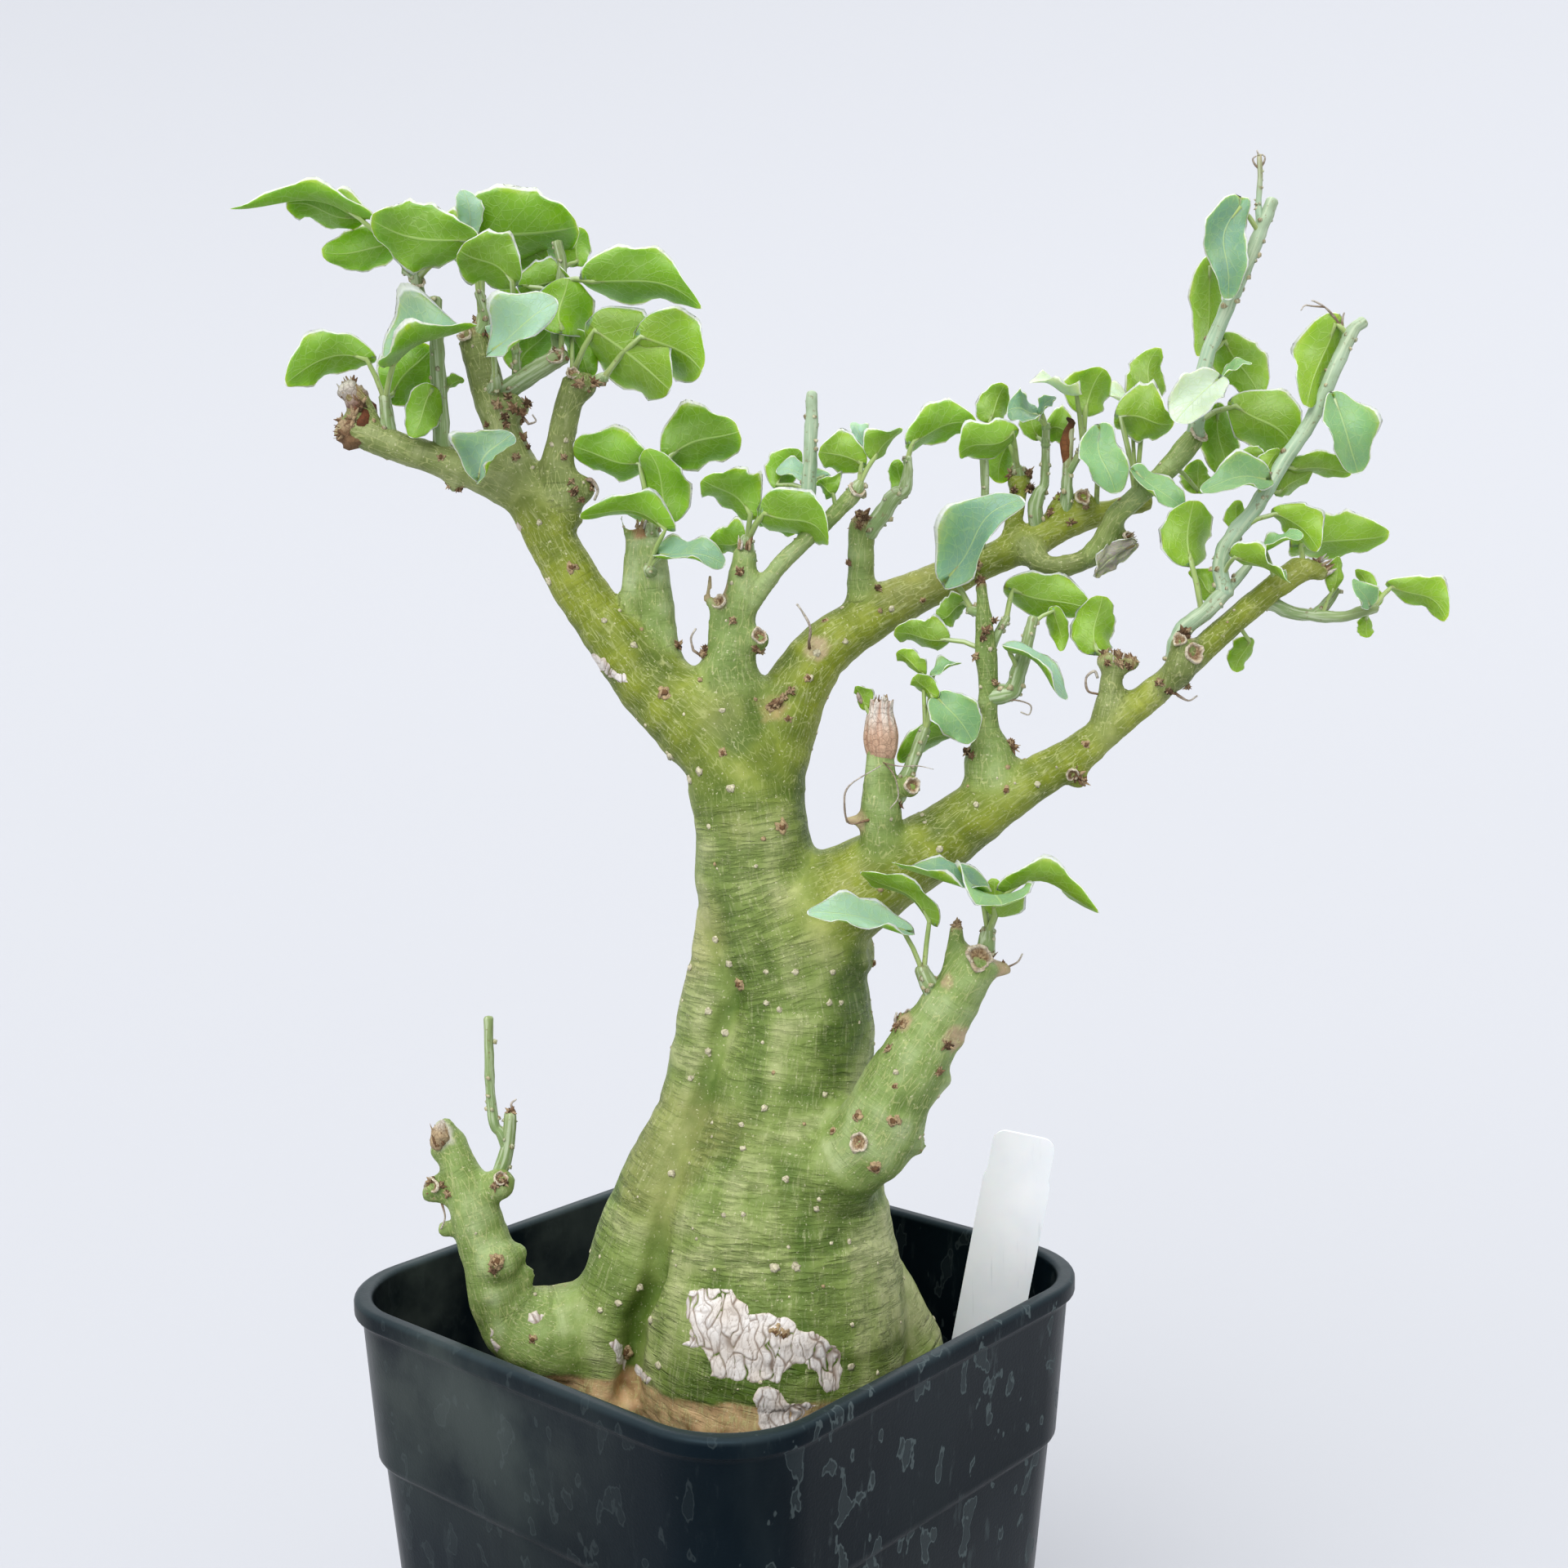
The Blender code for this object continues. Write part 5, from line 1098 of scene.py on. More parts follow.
def addFlakes(bm):
    # a skin over the bark there, cut finer, trimmed to the ragged outline and raised
    skin = bm.copy()
    boxes = []
    margin, ragged = flakeLook["marginPx"], flakeLook["raggedPx"]
    for line in flakeOutlines:
        across, down = zip(*line)
        boxes.append((min(across) - margin, max(across) + margin, min(down) - margin, max(down) + margin))
    unwanted = []
    for face in skin.faces:
        px, py = pixelOf(face.calc_center_median())
        near = any(left < px < right and top < py < low for left, right, top, low in boxes)
        if face.normal.y > -0.2 or not near:
            unwanted.append(face)
    bmesh.ops.delete(skin, geom=unwanted, context="FACES")
    bmesh.ops.subdivide_edges(skin, edges=skin.edges[:], cuts=3, use_grid_fill=True)
    skin.normal_update()
    tintLayer = skin.verts.layers.float_color["tint"]
    outside = []
    for vert in skin.verts:
        px, py = pixelOf(vert.co)
        px += ragged * noise(vert.co * 420)
        py += ragged * noise(vert.co * 420 + Vector((3, 3, 3)))
        outline = next((line for line in flakeOutlines if insideOutline(line, px, py)), None)
        if outline is None:
            outside.append(vert)
            continue
        warp = Vector((noise(vert.co * 260), noise(vert.co * 260 + Vector((5, 5, 5))), 0))
        plateWide, plateTall = flakeLook["platePx"]
        near = voronoi(Vector((px / plateWide, py / plateTall, 0)) + warp * 0.5)[0]
        crack = smoothStep(0.12, 0.0, near[1] - near[0])
        crackWide, crackTall = flakeLook["fineCrackPx"]
        fine = voronoi(Vector((px / crackWide, py / crackTall, 4)) + warp * 0.5)[0]
        crack = max(crack, 0.45 * smoothStep(0.1, 0.0, fine[1] - fine[0]))
        edge = smoothStep(0, 5, distanceToLine(outline + outline[:1], px, py))
        shade = 0.85 + 0.35 * noise(vert.co * 200)
        colour = blend(flakeLook["edge"], flakeLook["plate"], (0.35 + 0.65 * edge) * shade)
        colour = blend(colour, flakeLook["crack"], 0.9 * crack)
        vert[tintLayer] = (*colour, 1)
        lift = flakeLook["thickMm"] * (0.8 * edge - 0.3 - 0.5 * edge * crack)
        vert.co += vert.normal * (lift + 0.1 * noise(vert.co * 400)) * mm
    bmesh.ops.delete(skin, geom=outside, context="VERTS")
    return skin


def flakeMaterial():
    mat, tree, shader = newMaterial("flakingBark")
    grit = noiseOf(tree, coordsOf(tree), 1300, 4, 0.6)
    hair = noiseOf(tree, coordsOf(tree, None, (1500, 1500, 260)), 1, 4, 0.6)
    colour = mixed(tree, ramp(tree, grit, 0.4, 0.7, 0.0, 0.25), tintOf(tree), rgb(168, 156, 142))
    colour = mixed(tree, ramp(tree, hair, 0.42, 0.3, 0.0, 0.55), colour, rgb(132, 112, 94))
    dress(tree, shader, colour, 0.85, bumped(tree, hair, 0.0003, 0.8))
    return mat


def buildBarkDetails():
    flakes = addFlakes(bark)
    finished(flakes, "flakingBark", [flakeMaterial()], ())
    seenFaces = []
    for face in bark.faces:
        if face.calc_center_median().z > potHeight - wartLook["lowestDropMm"] * mm:
            seenFaces.append((face.calc_center_median(), face.normal.copy()))
    bits = newShape()
    addWarts(bits, seenFaces)
    addScarRing(bits, *wartLook["scar"])
    for px, py, back, radius, right, up in oldCuts:
        place = seated(spot(px, py, back), 0.3 * mm)
        cutEnd(bits, place, Vector((right, -0.8, up)).normalized(), radius)
    finished(bits, "wartsAndCuts", [dryBark], ())
    bits = newShape()
    addBuds(bits)
    addWires(bits)
    addStubs(bits)
    addSplinters(bits)
    addPaperCap(bits)
    finished(bits, "budsAndWires", [dryBark], ())
    finished(bark, "barkSkin", [greenBark], ["trunk"])


buildBarkDetails()
print("caudex done")


# shoots: stems, leaf stalks and leaves
leafLook = {
    "sheetMm": 0.55,
    "ribMm": 0.5,
    "across": 14,
    "along": 20,
    "waveShare": 0.27,
    "rollShare": 0.3,
    "rippleShare": 0.03,
    "lobeShare": 0.12,
    "deadCrumpleMm": 1.6,
    "dryTipMm": 0.9,
    "scarMm": (0.35, 0.75),
    # the underside's own yellow-green, lightened with painted glow for light coming through the leaf
    "underGreensWithPaintedGlow": (rgb(112, 155, 16), rgb(114, 153, 26), rgb(118, 153, 26), rgb(124, 158, 30)),
    "topGreens": (rgb(126, 162, 134), rgb(144, 178, 152), rgb(108, 146, 120), rgb(118, 158, 108)),
    "whitish": rgb(196, 212, 188),
    "stalkMm": 0.64,
    "nodeMm": 1.05,
    "edge": rgb(226, 236, 214),
    "vein": rgb(182, 204, 128),
    "mottle": rgb(140, 170, 92),
    "stalk": rgb(156, 178, 104),
    "stem": rgb(130, 154, 98),
    "paleStem": rgb(160, 186, 156),
    "deadGrey": rgb(146, 134, 130),
}
whitishLeaves = {(1261, 469), (1340, 480), (1439, 517)}
paleStems = ("shoot_tall_left", "shoot_tall_right", "stem_centre")


def leaf(stalk, base, tip, width, face, fold=26, rise=0.0, **habit):
    # from where its stalk leaves the stem, by the base of its blade, to its tip; face tilts its upper
    # side from straight up towards the front
    return dict(stalk=stalk, base=base, tip=tip, width=width, face=face, fold=fold, rise=rise, **habit)


# each shoot's stems, as rows of (px, py, back, radius in mm), and then its leaves
shoots = {
    "shoot_left_high": [
        [(541, 562, 9, 2.4), (541, 540, 9, 2.0), (537, 463, 8, 1.8), (534, 410, 8, 1.7),
         (532, 367, 8, 1.6)],
        [(534, 412, 8, 1.6), (516, 370, 9, 1.5), (510, 337, 9, 1.45), (506, 312, 9, 1.3)],
        [(510, 340, 9, 1.3), (503, 334, 9, 1.2), (497, 330, 10, 1.2)],
        leaf((498, 330, 10), (441, 268, 6), (280, 256, 0), 10, -12, fold=35, pointed=True, bend=0.02),
        leaf((499, 331, 10), (438, 265, 10), (350, 250, 6), 11, -50),
        leaf((497, 332, 10), (482, 298, 12), (393, 309, 10), 10.5, -75),
        leaf((511, 341, 9), (573, 294, 0), (453, 268, -3), 16, -70, fold=12, bend=0.12),
        leaf((510, 335, 9), (560, 302, 12), (506, 291, 14), 13, -55),
        leaf((508, 322, 9), (519, 305, 7), (530, 290, 6), 5, 50),
        leaf((538, 480, 8), (528, 478, 3), (503, 536, 1), 9, -70),
        leaf((539, 500, 8), (549, 473, 9), (568, 464, 9), 4, -50),
    ],
    "shoot_left_end": [
        [(478, 546, 8, 2.0), (474, 515, 8, 1.7), (471, 486, 7, 1.4)],
        leaf((472, 489, 7), (482, 445, 2), (583, 397, -4), 17, 18, fold=38),
        leaf((471, 489, 7), (449, 440, 4), (349, 471, 0), 12, -55, rise=3),
        leaf((472, 491, 7), (480, 484, 12), (530, 425, 16), 14, -60),
    ],
    "leaf_left_fork": [leaf((583, 582, 9), (588, 584, 1), (628, 531, 0), 13, 60, fold=44)],
    "shoot_left_crown": [
        [(585, 414, 13, 1.9), (589, 402, 12, 1.6), (591, 386, 12, 1.3)],
        [(586, 410, 12, 1.5), (595, 390, 11, 1.2), (587, 358, 11, 1.1)],
        leaf((589, 396, 12), (577, 286, 12), (566, 232, 12), 7, 65),
        leaf((590, 392, 12), (584, 285, 14), (708, 277, 9), 22, -60),
        leaf((590, 394, 12), (592, 293, 20), (671, 324, 21), 12, -85, fold=6),
    ],
    "shoot_left_inner": [
        [(599, 482, 12, 1.7), (606, 472, 7, 1.4), (606, 460, 6, 1.1)],
        leaf((606, 466, 6.5), (605, 429, -1), (683, 368, -7), 14, 48),
        leaf((606, 464, 6.5), (600, 408, 6), (615, 391, 5), 4, 50),
    ],
    "shoot_left_side": [
        [(606, 492, 12, 2.5), (617, 482, 11, 2.3), (650, 458, 10, 2.2), (684, 438, 10, 2.2),
         (689, 435, 10, 2.3)],
        [(685, 440, 10, 1.4), (680, 400, 11, 1.2), (684, 360, 12, 1.2), (688, 325, 12, 1.2),
         (683, 297, 12, 1.1)],
        [(633, 472, 11, 1.2), (632, 450, 10, 1.0), (632, 427, 9, 1.0)],
        leaf((632, 430, 9), (627, 344, 1), (562, 306, -3), 15, -52, fold=14),
        leaf((632, 430, 9), (628, 404, 12), (618, 348, 14), 8, -75),
        leaf((632, 445, 10), (635, 450, 14), (673, 402, 16), 11, -65),
        leaf((684, 362, 12), (640, 350, 12), (699, 342, 12), 10, -55),
        leaf((687, 330, 12), (707, 321, 15), (712, 278, 19), 7.5, -75),
        leaf((686, 345, 12), (725, 345, 8), (860, 378, 4), 17, -60, rise=2, pointed=True, bend=0.02),
        leaf((687, 437, 10), (688, 402, 6), (696, 340, 10), 17, -70),
    ],
    "shoot_left_knob": [
        [(708, 470, 8, 1.9), (728, 467, 7, 1.4), (741, 461, 6, 1.1)],
        [(706, 470, 8, 1.6), (701, 452, 8, 1.2)],
        leaf((701, 455, 8), (700, 412, 10), (724, 463, 12), 8, -70),
        leaf((702, 456, 8), (728, 404, 4), (821, 478, 0), 20, -68),
        leaf((740, 462, 6), (785, 412, 2), (860, 455, 0), 19, -68),
    ],
    "shoot_middle": [
        [(799, 675, 7, 2.4), (798, 655, 7, 1.9), (798, 643, 7, 1.4)],
        leaf((798, 650, 7), (783, 567, 8), (701, 546, 8), 13, -62),
        leaf((798, 650, 7), (821, 558, 10), (906, 528, 8), 16, -68),
        leaf((798, 650, 7), (818, 632, 4), (791, 549, 4), 13, -75),
        leaf((798, 655, 7), (814, 632, 12), (760, 611, 14), 10, -60),
    ],
    "shoot_middle_low": [
        [(801, 702, 7, 1.8), (796, 699, 3, 1.4), (793, 696, 2, 1.2)],
        leaf((794, 697, 2.5), (815, 648, -1), (709, 632, -2), 10, -40),
        leaf((794, 697, 2.5), (810, 680, 1), (888, 692, -3), 11, 38),
    ],
    "shoot_centre": [
        [(913, 685, 2, 2.4), (914, 668, 2, 1.9), (915, 658, 2, 1.4)],
        leaf((914, 666, 2), (909, 661, 7), (868, 668, 10), 10, -65),
        leaf((915, 664, 2), (919, 630, -1), (859, 587, -3), 14, -50),
        leaf((915, 664, 2), (936, 628, -3), (1015, 664, -9), 16, -60),
        leaf((915, 664, 2), (930, 632, 7), (975, 653, 9), 9, -60),
    ],
    "stem_centre": [
        [(985, 663, -1, 1.9), (987, 650, 1, 1.7), (990, 600, 1, 1.6), (993, 540, 1, 1.5),
         (994, 482, 1, 1.3)],
        leaf((990, 600, 1), (952, 594, 6), (980, 551, 8), 9, -60),
        leaf((990, 596, 1), (1010, 583, 6), (950, 577, 6), 7.5, 50),
    ],
    "leaf_offshoot": [leaf((1024, 628, -2), (1020, 604, -3), (1000, 590, -3), 7, -40)],
    "shoot_offshoot": [
        [(1047, 604, -3, 2.0), (1053, 592, -3, 1.5)],
        leaf((1052, 594, -3), (1055, 567, -4), (1002, 553, -5), 10, -62),
        leaf((1052, 594, -3), (1071, 560, -4), (1104, 524, -6), 10, -30),
        leaf((1052, 594, -3), (1060, 545, 0), (1043, 517, 2), 5, 40),
    ],
    "shoot_upper_stub": [
        [(1055, 660, 9, 2.4), (1066, 648, 8, 2.2), (1080, 630, 8, 2.0), (1093, 609, 8, 2.0),
         (1107, 600, 8, 1.6), (1112, 575, 8, 1.1), (1111, 560, 8, 0.9)],
        leaf((1098, 606, 8), (1102, 600, 11), (1098, 562, 11), 5.5, -75),
        leaf((1111, 564, 8), (1118, 541, 8), (1197, 519, 13), 12, -58),
    ],
    "shoot_thin": [
        [(1196, 694, 12, 1.5), (1202, 650, 9, 1.1), (1206, 616, 8, 1.0), (1205, 552, 8, 1.0)],
        leaf((1205, 556, 8), (1213, 514, 9), (1231, 470, 10), 9, -62),
    ],
    "shoot_horned": [
        [(1250, 596, 12, 1.8), (1247, 580, 10.5, 1.4), (1246, 572, 10, 1.2)],
        leaf((1246, 575, 10), (1240, 529, 2), (1174, 556, -1), 11, -50),
        leaf((1246, 575, 10), (1235, 542, 10), (1223, 592, 13), 8.5, -72),
    ],
    "shoot_right_inner": [
        [(1272, 658, 13, 1.8), (1268, 625, 11, 1.8), (1272, 603, 10, 1.5), (1279, 588, 10, 1.1),
         (1281, 520, 9, 0.9)],
        leaf((1281, 523, 9), (1268, 508, 6), (1233, 503, 4), 9.5, 62),
        leaf((1281, 523, 9), (1276, 506, 6), (1293, 486, 5), 4.5, 35),
        leaf((1280, 540, 9), (1283, 524, 13), (1315, 532, 14), 9, -70),
        leaf((1280, 545, 9), (1270, 535, 13), (1262, 495, 13), 6, -70),
    ],
    "shoot_right_thin": [
        [(1300, 640, 13, 2.0), (1306, 612, 10, 1.5), (1307, 575, 9, 1.2), (1311, 518, 9, 0.8)],
        [(1307, 580, 9, 1.0), (1316, 566, 8, 0.9), (1327, 545, 8, 0.8)],
        leaf((1326, 548, 8), (1318, 481, 4), (1261, 469, 0), 9, 30),
        leaf((1326, 548, 8), (1329, 503, 8), (1352, 451, 8), 13, -65),
    ],
    "leaf_right_narrow": [leaf((1342, 631, 13), (1347, 528, 2), (1366, 605, -4), 11, 75)],
    "shoot_limb_end": [
        [(1388, 617, 14, 2.0), (1392, 602, 13, 1.4)],
        leaf((1391, 606, 13), (1372, 510, 8), (1438, 518, 6), 14, -62),
        leaf((1391, 606, 13), (1384, 493, 16), (1340, 480, 18), 5, 40),
        leaf((1391, 606, 13), (1402, 494, 14), (1420, 425, 15), 10, -68),
    ],
    "leaf_pale_tip": [leaf((1391, 610, 3), (1391, 579, -1), (1453, 630, -4), 8.5, 50)],
    "leaf_pale_tip_under": [leaf((1434, 569, 3), (1466, 600, 7), (1468, 562, 9), 8, -70)],
    "shoot_tall_left": [
        [(1464, 536, 3, 2.2), (1466, 500, 2, 1.8), (1477, 440, 1, 1.7), (1507, 367, 0, 1.6),
         (1526, 325, 0, 1.6), (1545, 279, 0, 1.55), (1558, 246, 0, 1.4)],
        [(1543, 283, 0, 1.0), (1541, 250, 0, 0.7), (1543, 220, 0, 0.6), (1542, 190, 0, 0.5)],
        leaf((1542, 285, 0), (1518, 254, -3), (1504, 368, -8), 10, 60, bend=0.12),
        leaf((1524, 328, 0), (1482, 326, 4), (1470, 438, 6), 8, -78),
        leaf((1468, 495, 2), (1490, 466, -4), (1439, 517, -10), 11, 60),
        leaf((1471, 478, 2), (1490, 468, -2), (1533, 445, -4), 4, 20),
        leaf((1477, 442, 1), (1500, 417, 2), (1545, 487, 4), 12, -55),
        leaf((1464, 518, 2.5), (1513, 497, -2), (1586, 553, -4), 16, -70),
        leaf((1464, 522, 3), (1492, 503, 2), (1503, 588, 4), 9.5, -76),
    ],
    "shoot_tall_right": [
        [(1440, 808, -11, 2.5), (1445, 776, -11, 2.0), (1475, 750, -12, 1.9), (1503, 722, -12, 1.8)],
        [(1500, 727, -12, 1.9), (1495, 690, -12, 1.8), (1507, 660, -12, 1.9), (1540, 618, -12, 1.75),
         (1571, 566, -12, 1.7), (1611, 504, -12, 1.6), (1652, 413, -12, 1.5), (1669, 394, -12, 1.4)],
        [(1501, 724, -12, 1.3), (1512, 712, -11, 1.1), (1529, 692, -10, 1.0)],
        leaf((1652, 413, -12), (1636, 396, -12), (1600, 499, -15), 11, -62),
        leaf((1609, 506, -12), (1634, 490, -14), (1663, 580, -17), 12, 45),
        leaf((1567, 572, -12), (1585, 574, -10), (1656, 579, -10), 8, -50),
        leaf((1549, 604, -12), (1566, 603, -10), (1608, 576, -8), 8.5, -68),
        leaf((1539, 619, -12), (1548, 588, -14), (1470, 602, -18), 9, 45),
        leaf((1550, 600, -12), (1547, 570, -9), (1520, 553, -8), 6, -60),
        leaf((1551, 598, -12), (1550, 582, -13), (1566, 549, -13), 5, -50),
        leaf((1516, 649, -12), (1563, 629, -14), (1615, 674, -18), 9, -45, rise=2),
        leaf((1515, 650, -12), (1518, 647, -9), (1515, 612, -8), 5, -70),
        leaf((1472, 752, -12), (1458, 686, -12), (1462, 612, -12), 14, -72),
        leaf((1497, 705, -12), (1512, 682, -18), (1580, 714, -25), 8.5, -30),
        leaf((1482, 744, -12), (1486, 728, -10), (1455, 700, -7), 6, -60),
    ],
    "leaf_near_tip": [leaf((1562, 717, -12), (1549, 673, -17), (1596, 656, -23), 6, 40)],
    "leaf_limb_tip": [leaf((1596, 692, -12), (1592, 668, -8), (1702, 655, -6), 13, -66)],
    "leaf_behind_limb": [leaf((1510, 762, -11), (1530, 785, -7), (1512, 823, -6), 6.5, -65)],
    "shoot_right_end": [
        [(1543, 732, -11, 2.0), (1560, 741, -10, 1.6), (1589, 751, -9, 1.4), (1641, 755, -10, 1.3),
         (1684, 744, -10, 1.3)],
        [(1608, 753, -9.5, 1.2), (1622, 742, -8, 1.2), (1637, 722, -8, 0.9)],
        leaf((1619, 754, -9.5), (1632, 722, -12), (1639, 681, -12), 5, -50),
        leaf((1679, 746, -10), (1675, 740, -13), (1656, 709, -15), 6, 60),
        leaf((1682, 745, -10), (1685, 738, -9), (1660, 697, -8), 5, -40),
        leaf((1682, 744, -10), (1705, 718, -10), (1772, 759, -12), 8.5, -50),
        leaf((1676, 746, -10), (1673, 757, -9), (1675, 781, -9), 4.5, -75),
    ],
    "shoot_post_top": [
        [(1204, 750, -7, 1.5), (1194, 748, -5, 1.2), (1187, 746, -4, 1.1)],
        leaf((1190, 747, -4.5), (1164, 705, -4), (1254, 611, -11), 12.5, 44),
        leaf((1190, 747, -4.5), (1180, 738, -2), (1148, 758, -1), 7, -65),
    ],
    "leaf_post_left": [leaf((1205, 796, -7), (1156, 783, -5), (1094, 775, -4), 9, -60)],
    "shoot_post_right": [
        [(1207, 805, -7, 1.4), (1225, 770, -6, 1.0), (1233, 757, -5, 0.9)],
        leaf((1232, 759, -5), (1240, 722, -2), (1337, 746, -4), 12, -68),
    ],
    "leaf_post_low": [leaf((1205, 916, -7), (1166, 899, -7), (1099, 932, -5), 10, -60)],
    "shoot_post_stub": [
        [(1212, 853, -7, 2.3), (1228, 850, -8, 2.1), (1240, 845, -8, 2.0), (1250, 815, -8, 1.8),
         (1258, 785, -8, 1.4), (1265, 757, -8, 1.1)],
        leaf((1263, 765, -8), (1290, 748, -6), (1300, 798, -6), 5, -65),
        leaf((1247, 823, -8), (1235, 797, -12), (1307, 857, -16), 9, 20),
    ],
    "leaf_low_stub": [leaf((1353, 806, -9), (1342, 795, -9), (1350, 729, -7), 11, -70)],
    "shoot_capped_stub": [
        [(1082, 992, -11, 2.2), (1098, 978, -11, 1.8), (1106, 960, -11, 1.9), (1114, 942, -11, 1.5),
         (1125, 912, -11, 1.3), (1133, 893, -11, 1.2)],
        leaf((1132, 897, -11), (1150, 857, -12), (1191, 909, -15), 10.5, 72),
        leaf((1133, 895, -11), (1130, 824, -10), (1098, 798, -10), 5.5, -50),
        leaf((1133, 896, -11), (1142, 854, -12), (1120, 827, -13), 6, -50),
        leaf((1133, 896, -11), (1143, 826, -9), (1178, 812, -9), 4.5, 10),
    ],
    "leaf_capped_stub": [leaf((1075, 897, -11), (1060, 866, -12), (1048, 840, -12), 5, -30)],
    "shoot_stump_left": [
        [(1148, 1232, -29, 2.2), (1137, 1205, -29, 1.9), (1128, 1186, -29, 1.6)],
        leaf((1131, 1192, -29), (1138, 1128, -29), (1053, 1068, -27), 9, -45),
        leaf((1130, 1190, -29), (1106, 1140, -31), (988, 1118, -36), 9, 25),
    ],
    "shoot_stump_right": [
        [(1205, 1168, -30, 2.2), (1209, 1150, -30, 1.8), (1210, 1138, -30, 1.4)],
        leaf((1210, 1142, -30), (1200, 1088, -32), (1092, 1056, -38), 11, 25),
        leaf((1210, 1146, -30), (1233, 1093, -31), (1346, 1118, -36), 12, -25, rise=2),
        leaf((1210, 1144, -30), (1218, 1121, -33), (1226, 1108, -50), 16, 5),
        leaf((1210, 1143, -30), (1213, 1114, -28), (1217, 1075, -26), 6, -70),
    ],
    "stem_lower_left": [
        [(600, 1462, -12, 2.0), (610, 1440, -11, 1.8), (621, 1408, -11, 1.6), (625, 1365, -11, 1.4)],
        [(621, 1404, -11, 1.4), (613, 1387, -11, 1.3), (605, 1375, -11, 1.2), (600, 1330, -11, 1.15),
         (598, 1247, -11, 1.1)],
    ],
    "dead_leaf": [leaf((1384, 660, 4.5), (1388, 668, 2), (1340, 706, -1), 6.5, -68, fold=12)],
}


def halfWidth(along, habit, edge):
    # blunt outline, or one drawn out to a point, a little unlike on its two sides
    if not 0.0005 < along < 0.9995:
        return 0.0
    power = math.log(0.5) / math.log(habit["widest"] * (1 + 0.15 * habit["uneven"] * edge))
    return math.sin(math.pi * along**power) ** habit["blunt"]


def bladeFrame(data):
    base = spot(*data["base"])
    axis = spot(*data["tip"]) - base
    length = axis.length
    axis.normalize()
    tilt = math.radians(data["face"])
    upward = Vector((0, -math.sin(tilt), math.cos(tilt)))
    normal = (upward - axis * upward.dot(axis)).normalized()
    return base, axis, length, normal, axis.cross(normal)


def leafHabit(data):
    # how this leaf bends, worked out from where it is, so that it is the same in every run
    px, py = data["tip"][:2]
    chance = random.Random(int(px * 7 + py * 13))
    pointed = "pointed" in data
    return {
        "widest": 0.28 if pointed else chance.uniform(0.34, 0.5),
        "blunt": 0.85 if pointed else chance.uniform(0.42, 0.6),
        "arch": chance.uniform(0.04, 0.16),
        "sway": chance.uniform(-0.08, 0.08),
        "swerve": chance.uniform(-0.035, 0.035),
        "uneven": chance.uniform(-0.6, 0.6),
        "bend": data.get("bend", chance.uniform(-0.1, 0.1)),
        "twist": chance.uniform(-0.8, 0.8),
        "waves": chance.uniform(5.0, 9.0),
        "phase": chance.uniform(0, 6),
        "waveShare": chance.uniform(0.7, 1.35) * leafLook["waveShare"],
        "green": min(3, max(0, int((px - 500) / 330 + chance.uniform(-0.6, 1.4)))),
        "shade": chance.uniform(0.88, 1.1),
    }


def bladeOffsets(u, v, data, habit, length):
    # half the blade's width here, the lift off its plane and the slide across it; u is -1 to 1 from edge
    # to edge, and v 0 to 1 from base to tip
    edge = math.copysign(1, u)
    phase = habit["phase"]
    half = data["width"] * mm / 2 * halfWidth(v, habit, edge)
    half *= 1 + 0.07 * math.sin(habit["waves"] * 0.8 * v + phase + edge)
    ends = smoothStep(0, 0.18, v) * smoothStep(1, 0.72, v)
    roll = max(0.0, abs(u) - 0.4) / 0.6
    curl = math.sin(1.6 * habit["waves"] * v + 1.3 * phase + 2.7 * edge)
    fold = math.tan(math.radians(data["fold"])) * (1 + habit["uneven"] * edge)
    wave = habit["waveShare"] * half * math.sin(habit["waves"] * v + phase + 1.9 * edge)
    lift = half * fold * (0.2 + 0.8 * smoothStep(1, 0.55, v)) * abs(u) ** 1.7
    lift += wave * (0.25 + 0.75 * ends) * abs(u) ** 1.6
    lift += leafLook["rippleShare"] * half * math.sin(31 * v + phase + 2.3 * edge) * u * u
    lift += leafLook["rollShare"] * half * roll * roll * curl * ends
    lift += half * u * habit["twist"] * (v - 0.4)
    lift += habit["arch"] * length * math.sin(math.pi * v)
    lift += habit["sway"] * length * math.sin(2 * math.pi * v)
    slide = u * half * (1 - 0.12 * roll * roll * abs(curl))
    slide += habit["bend"] * length * math.sin(math.pi * v)
    slide += habit["swerve"] * length * math.sin(2 * math.pi * v)
    return half, lift, slide


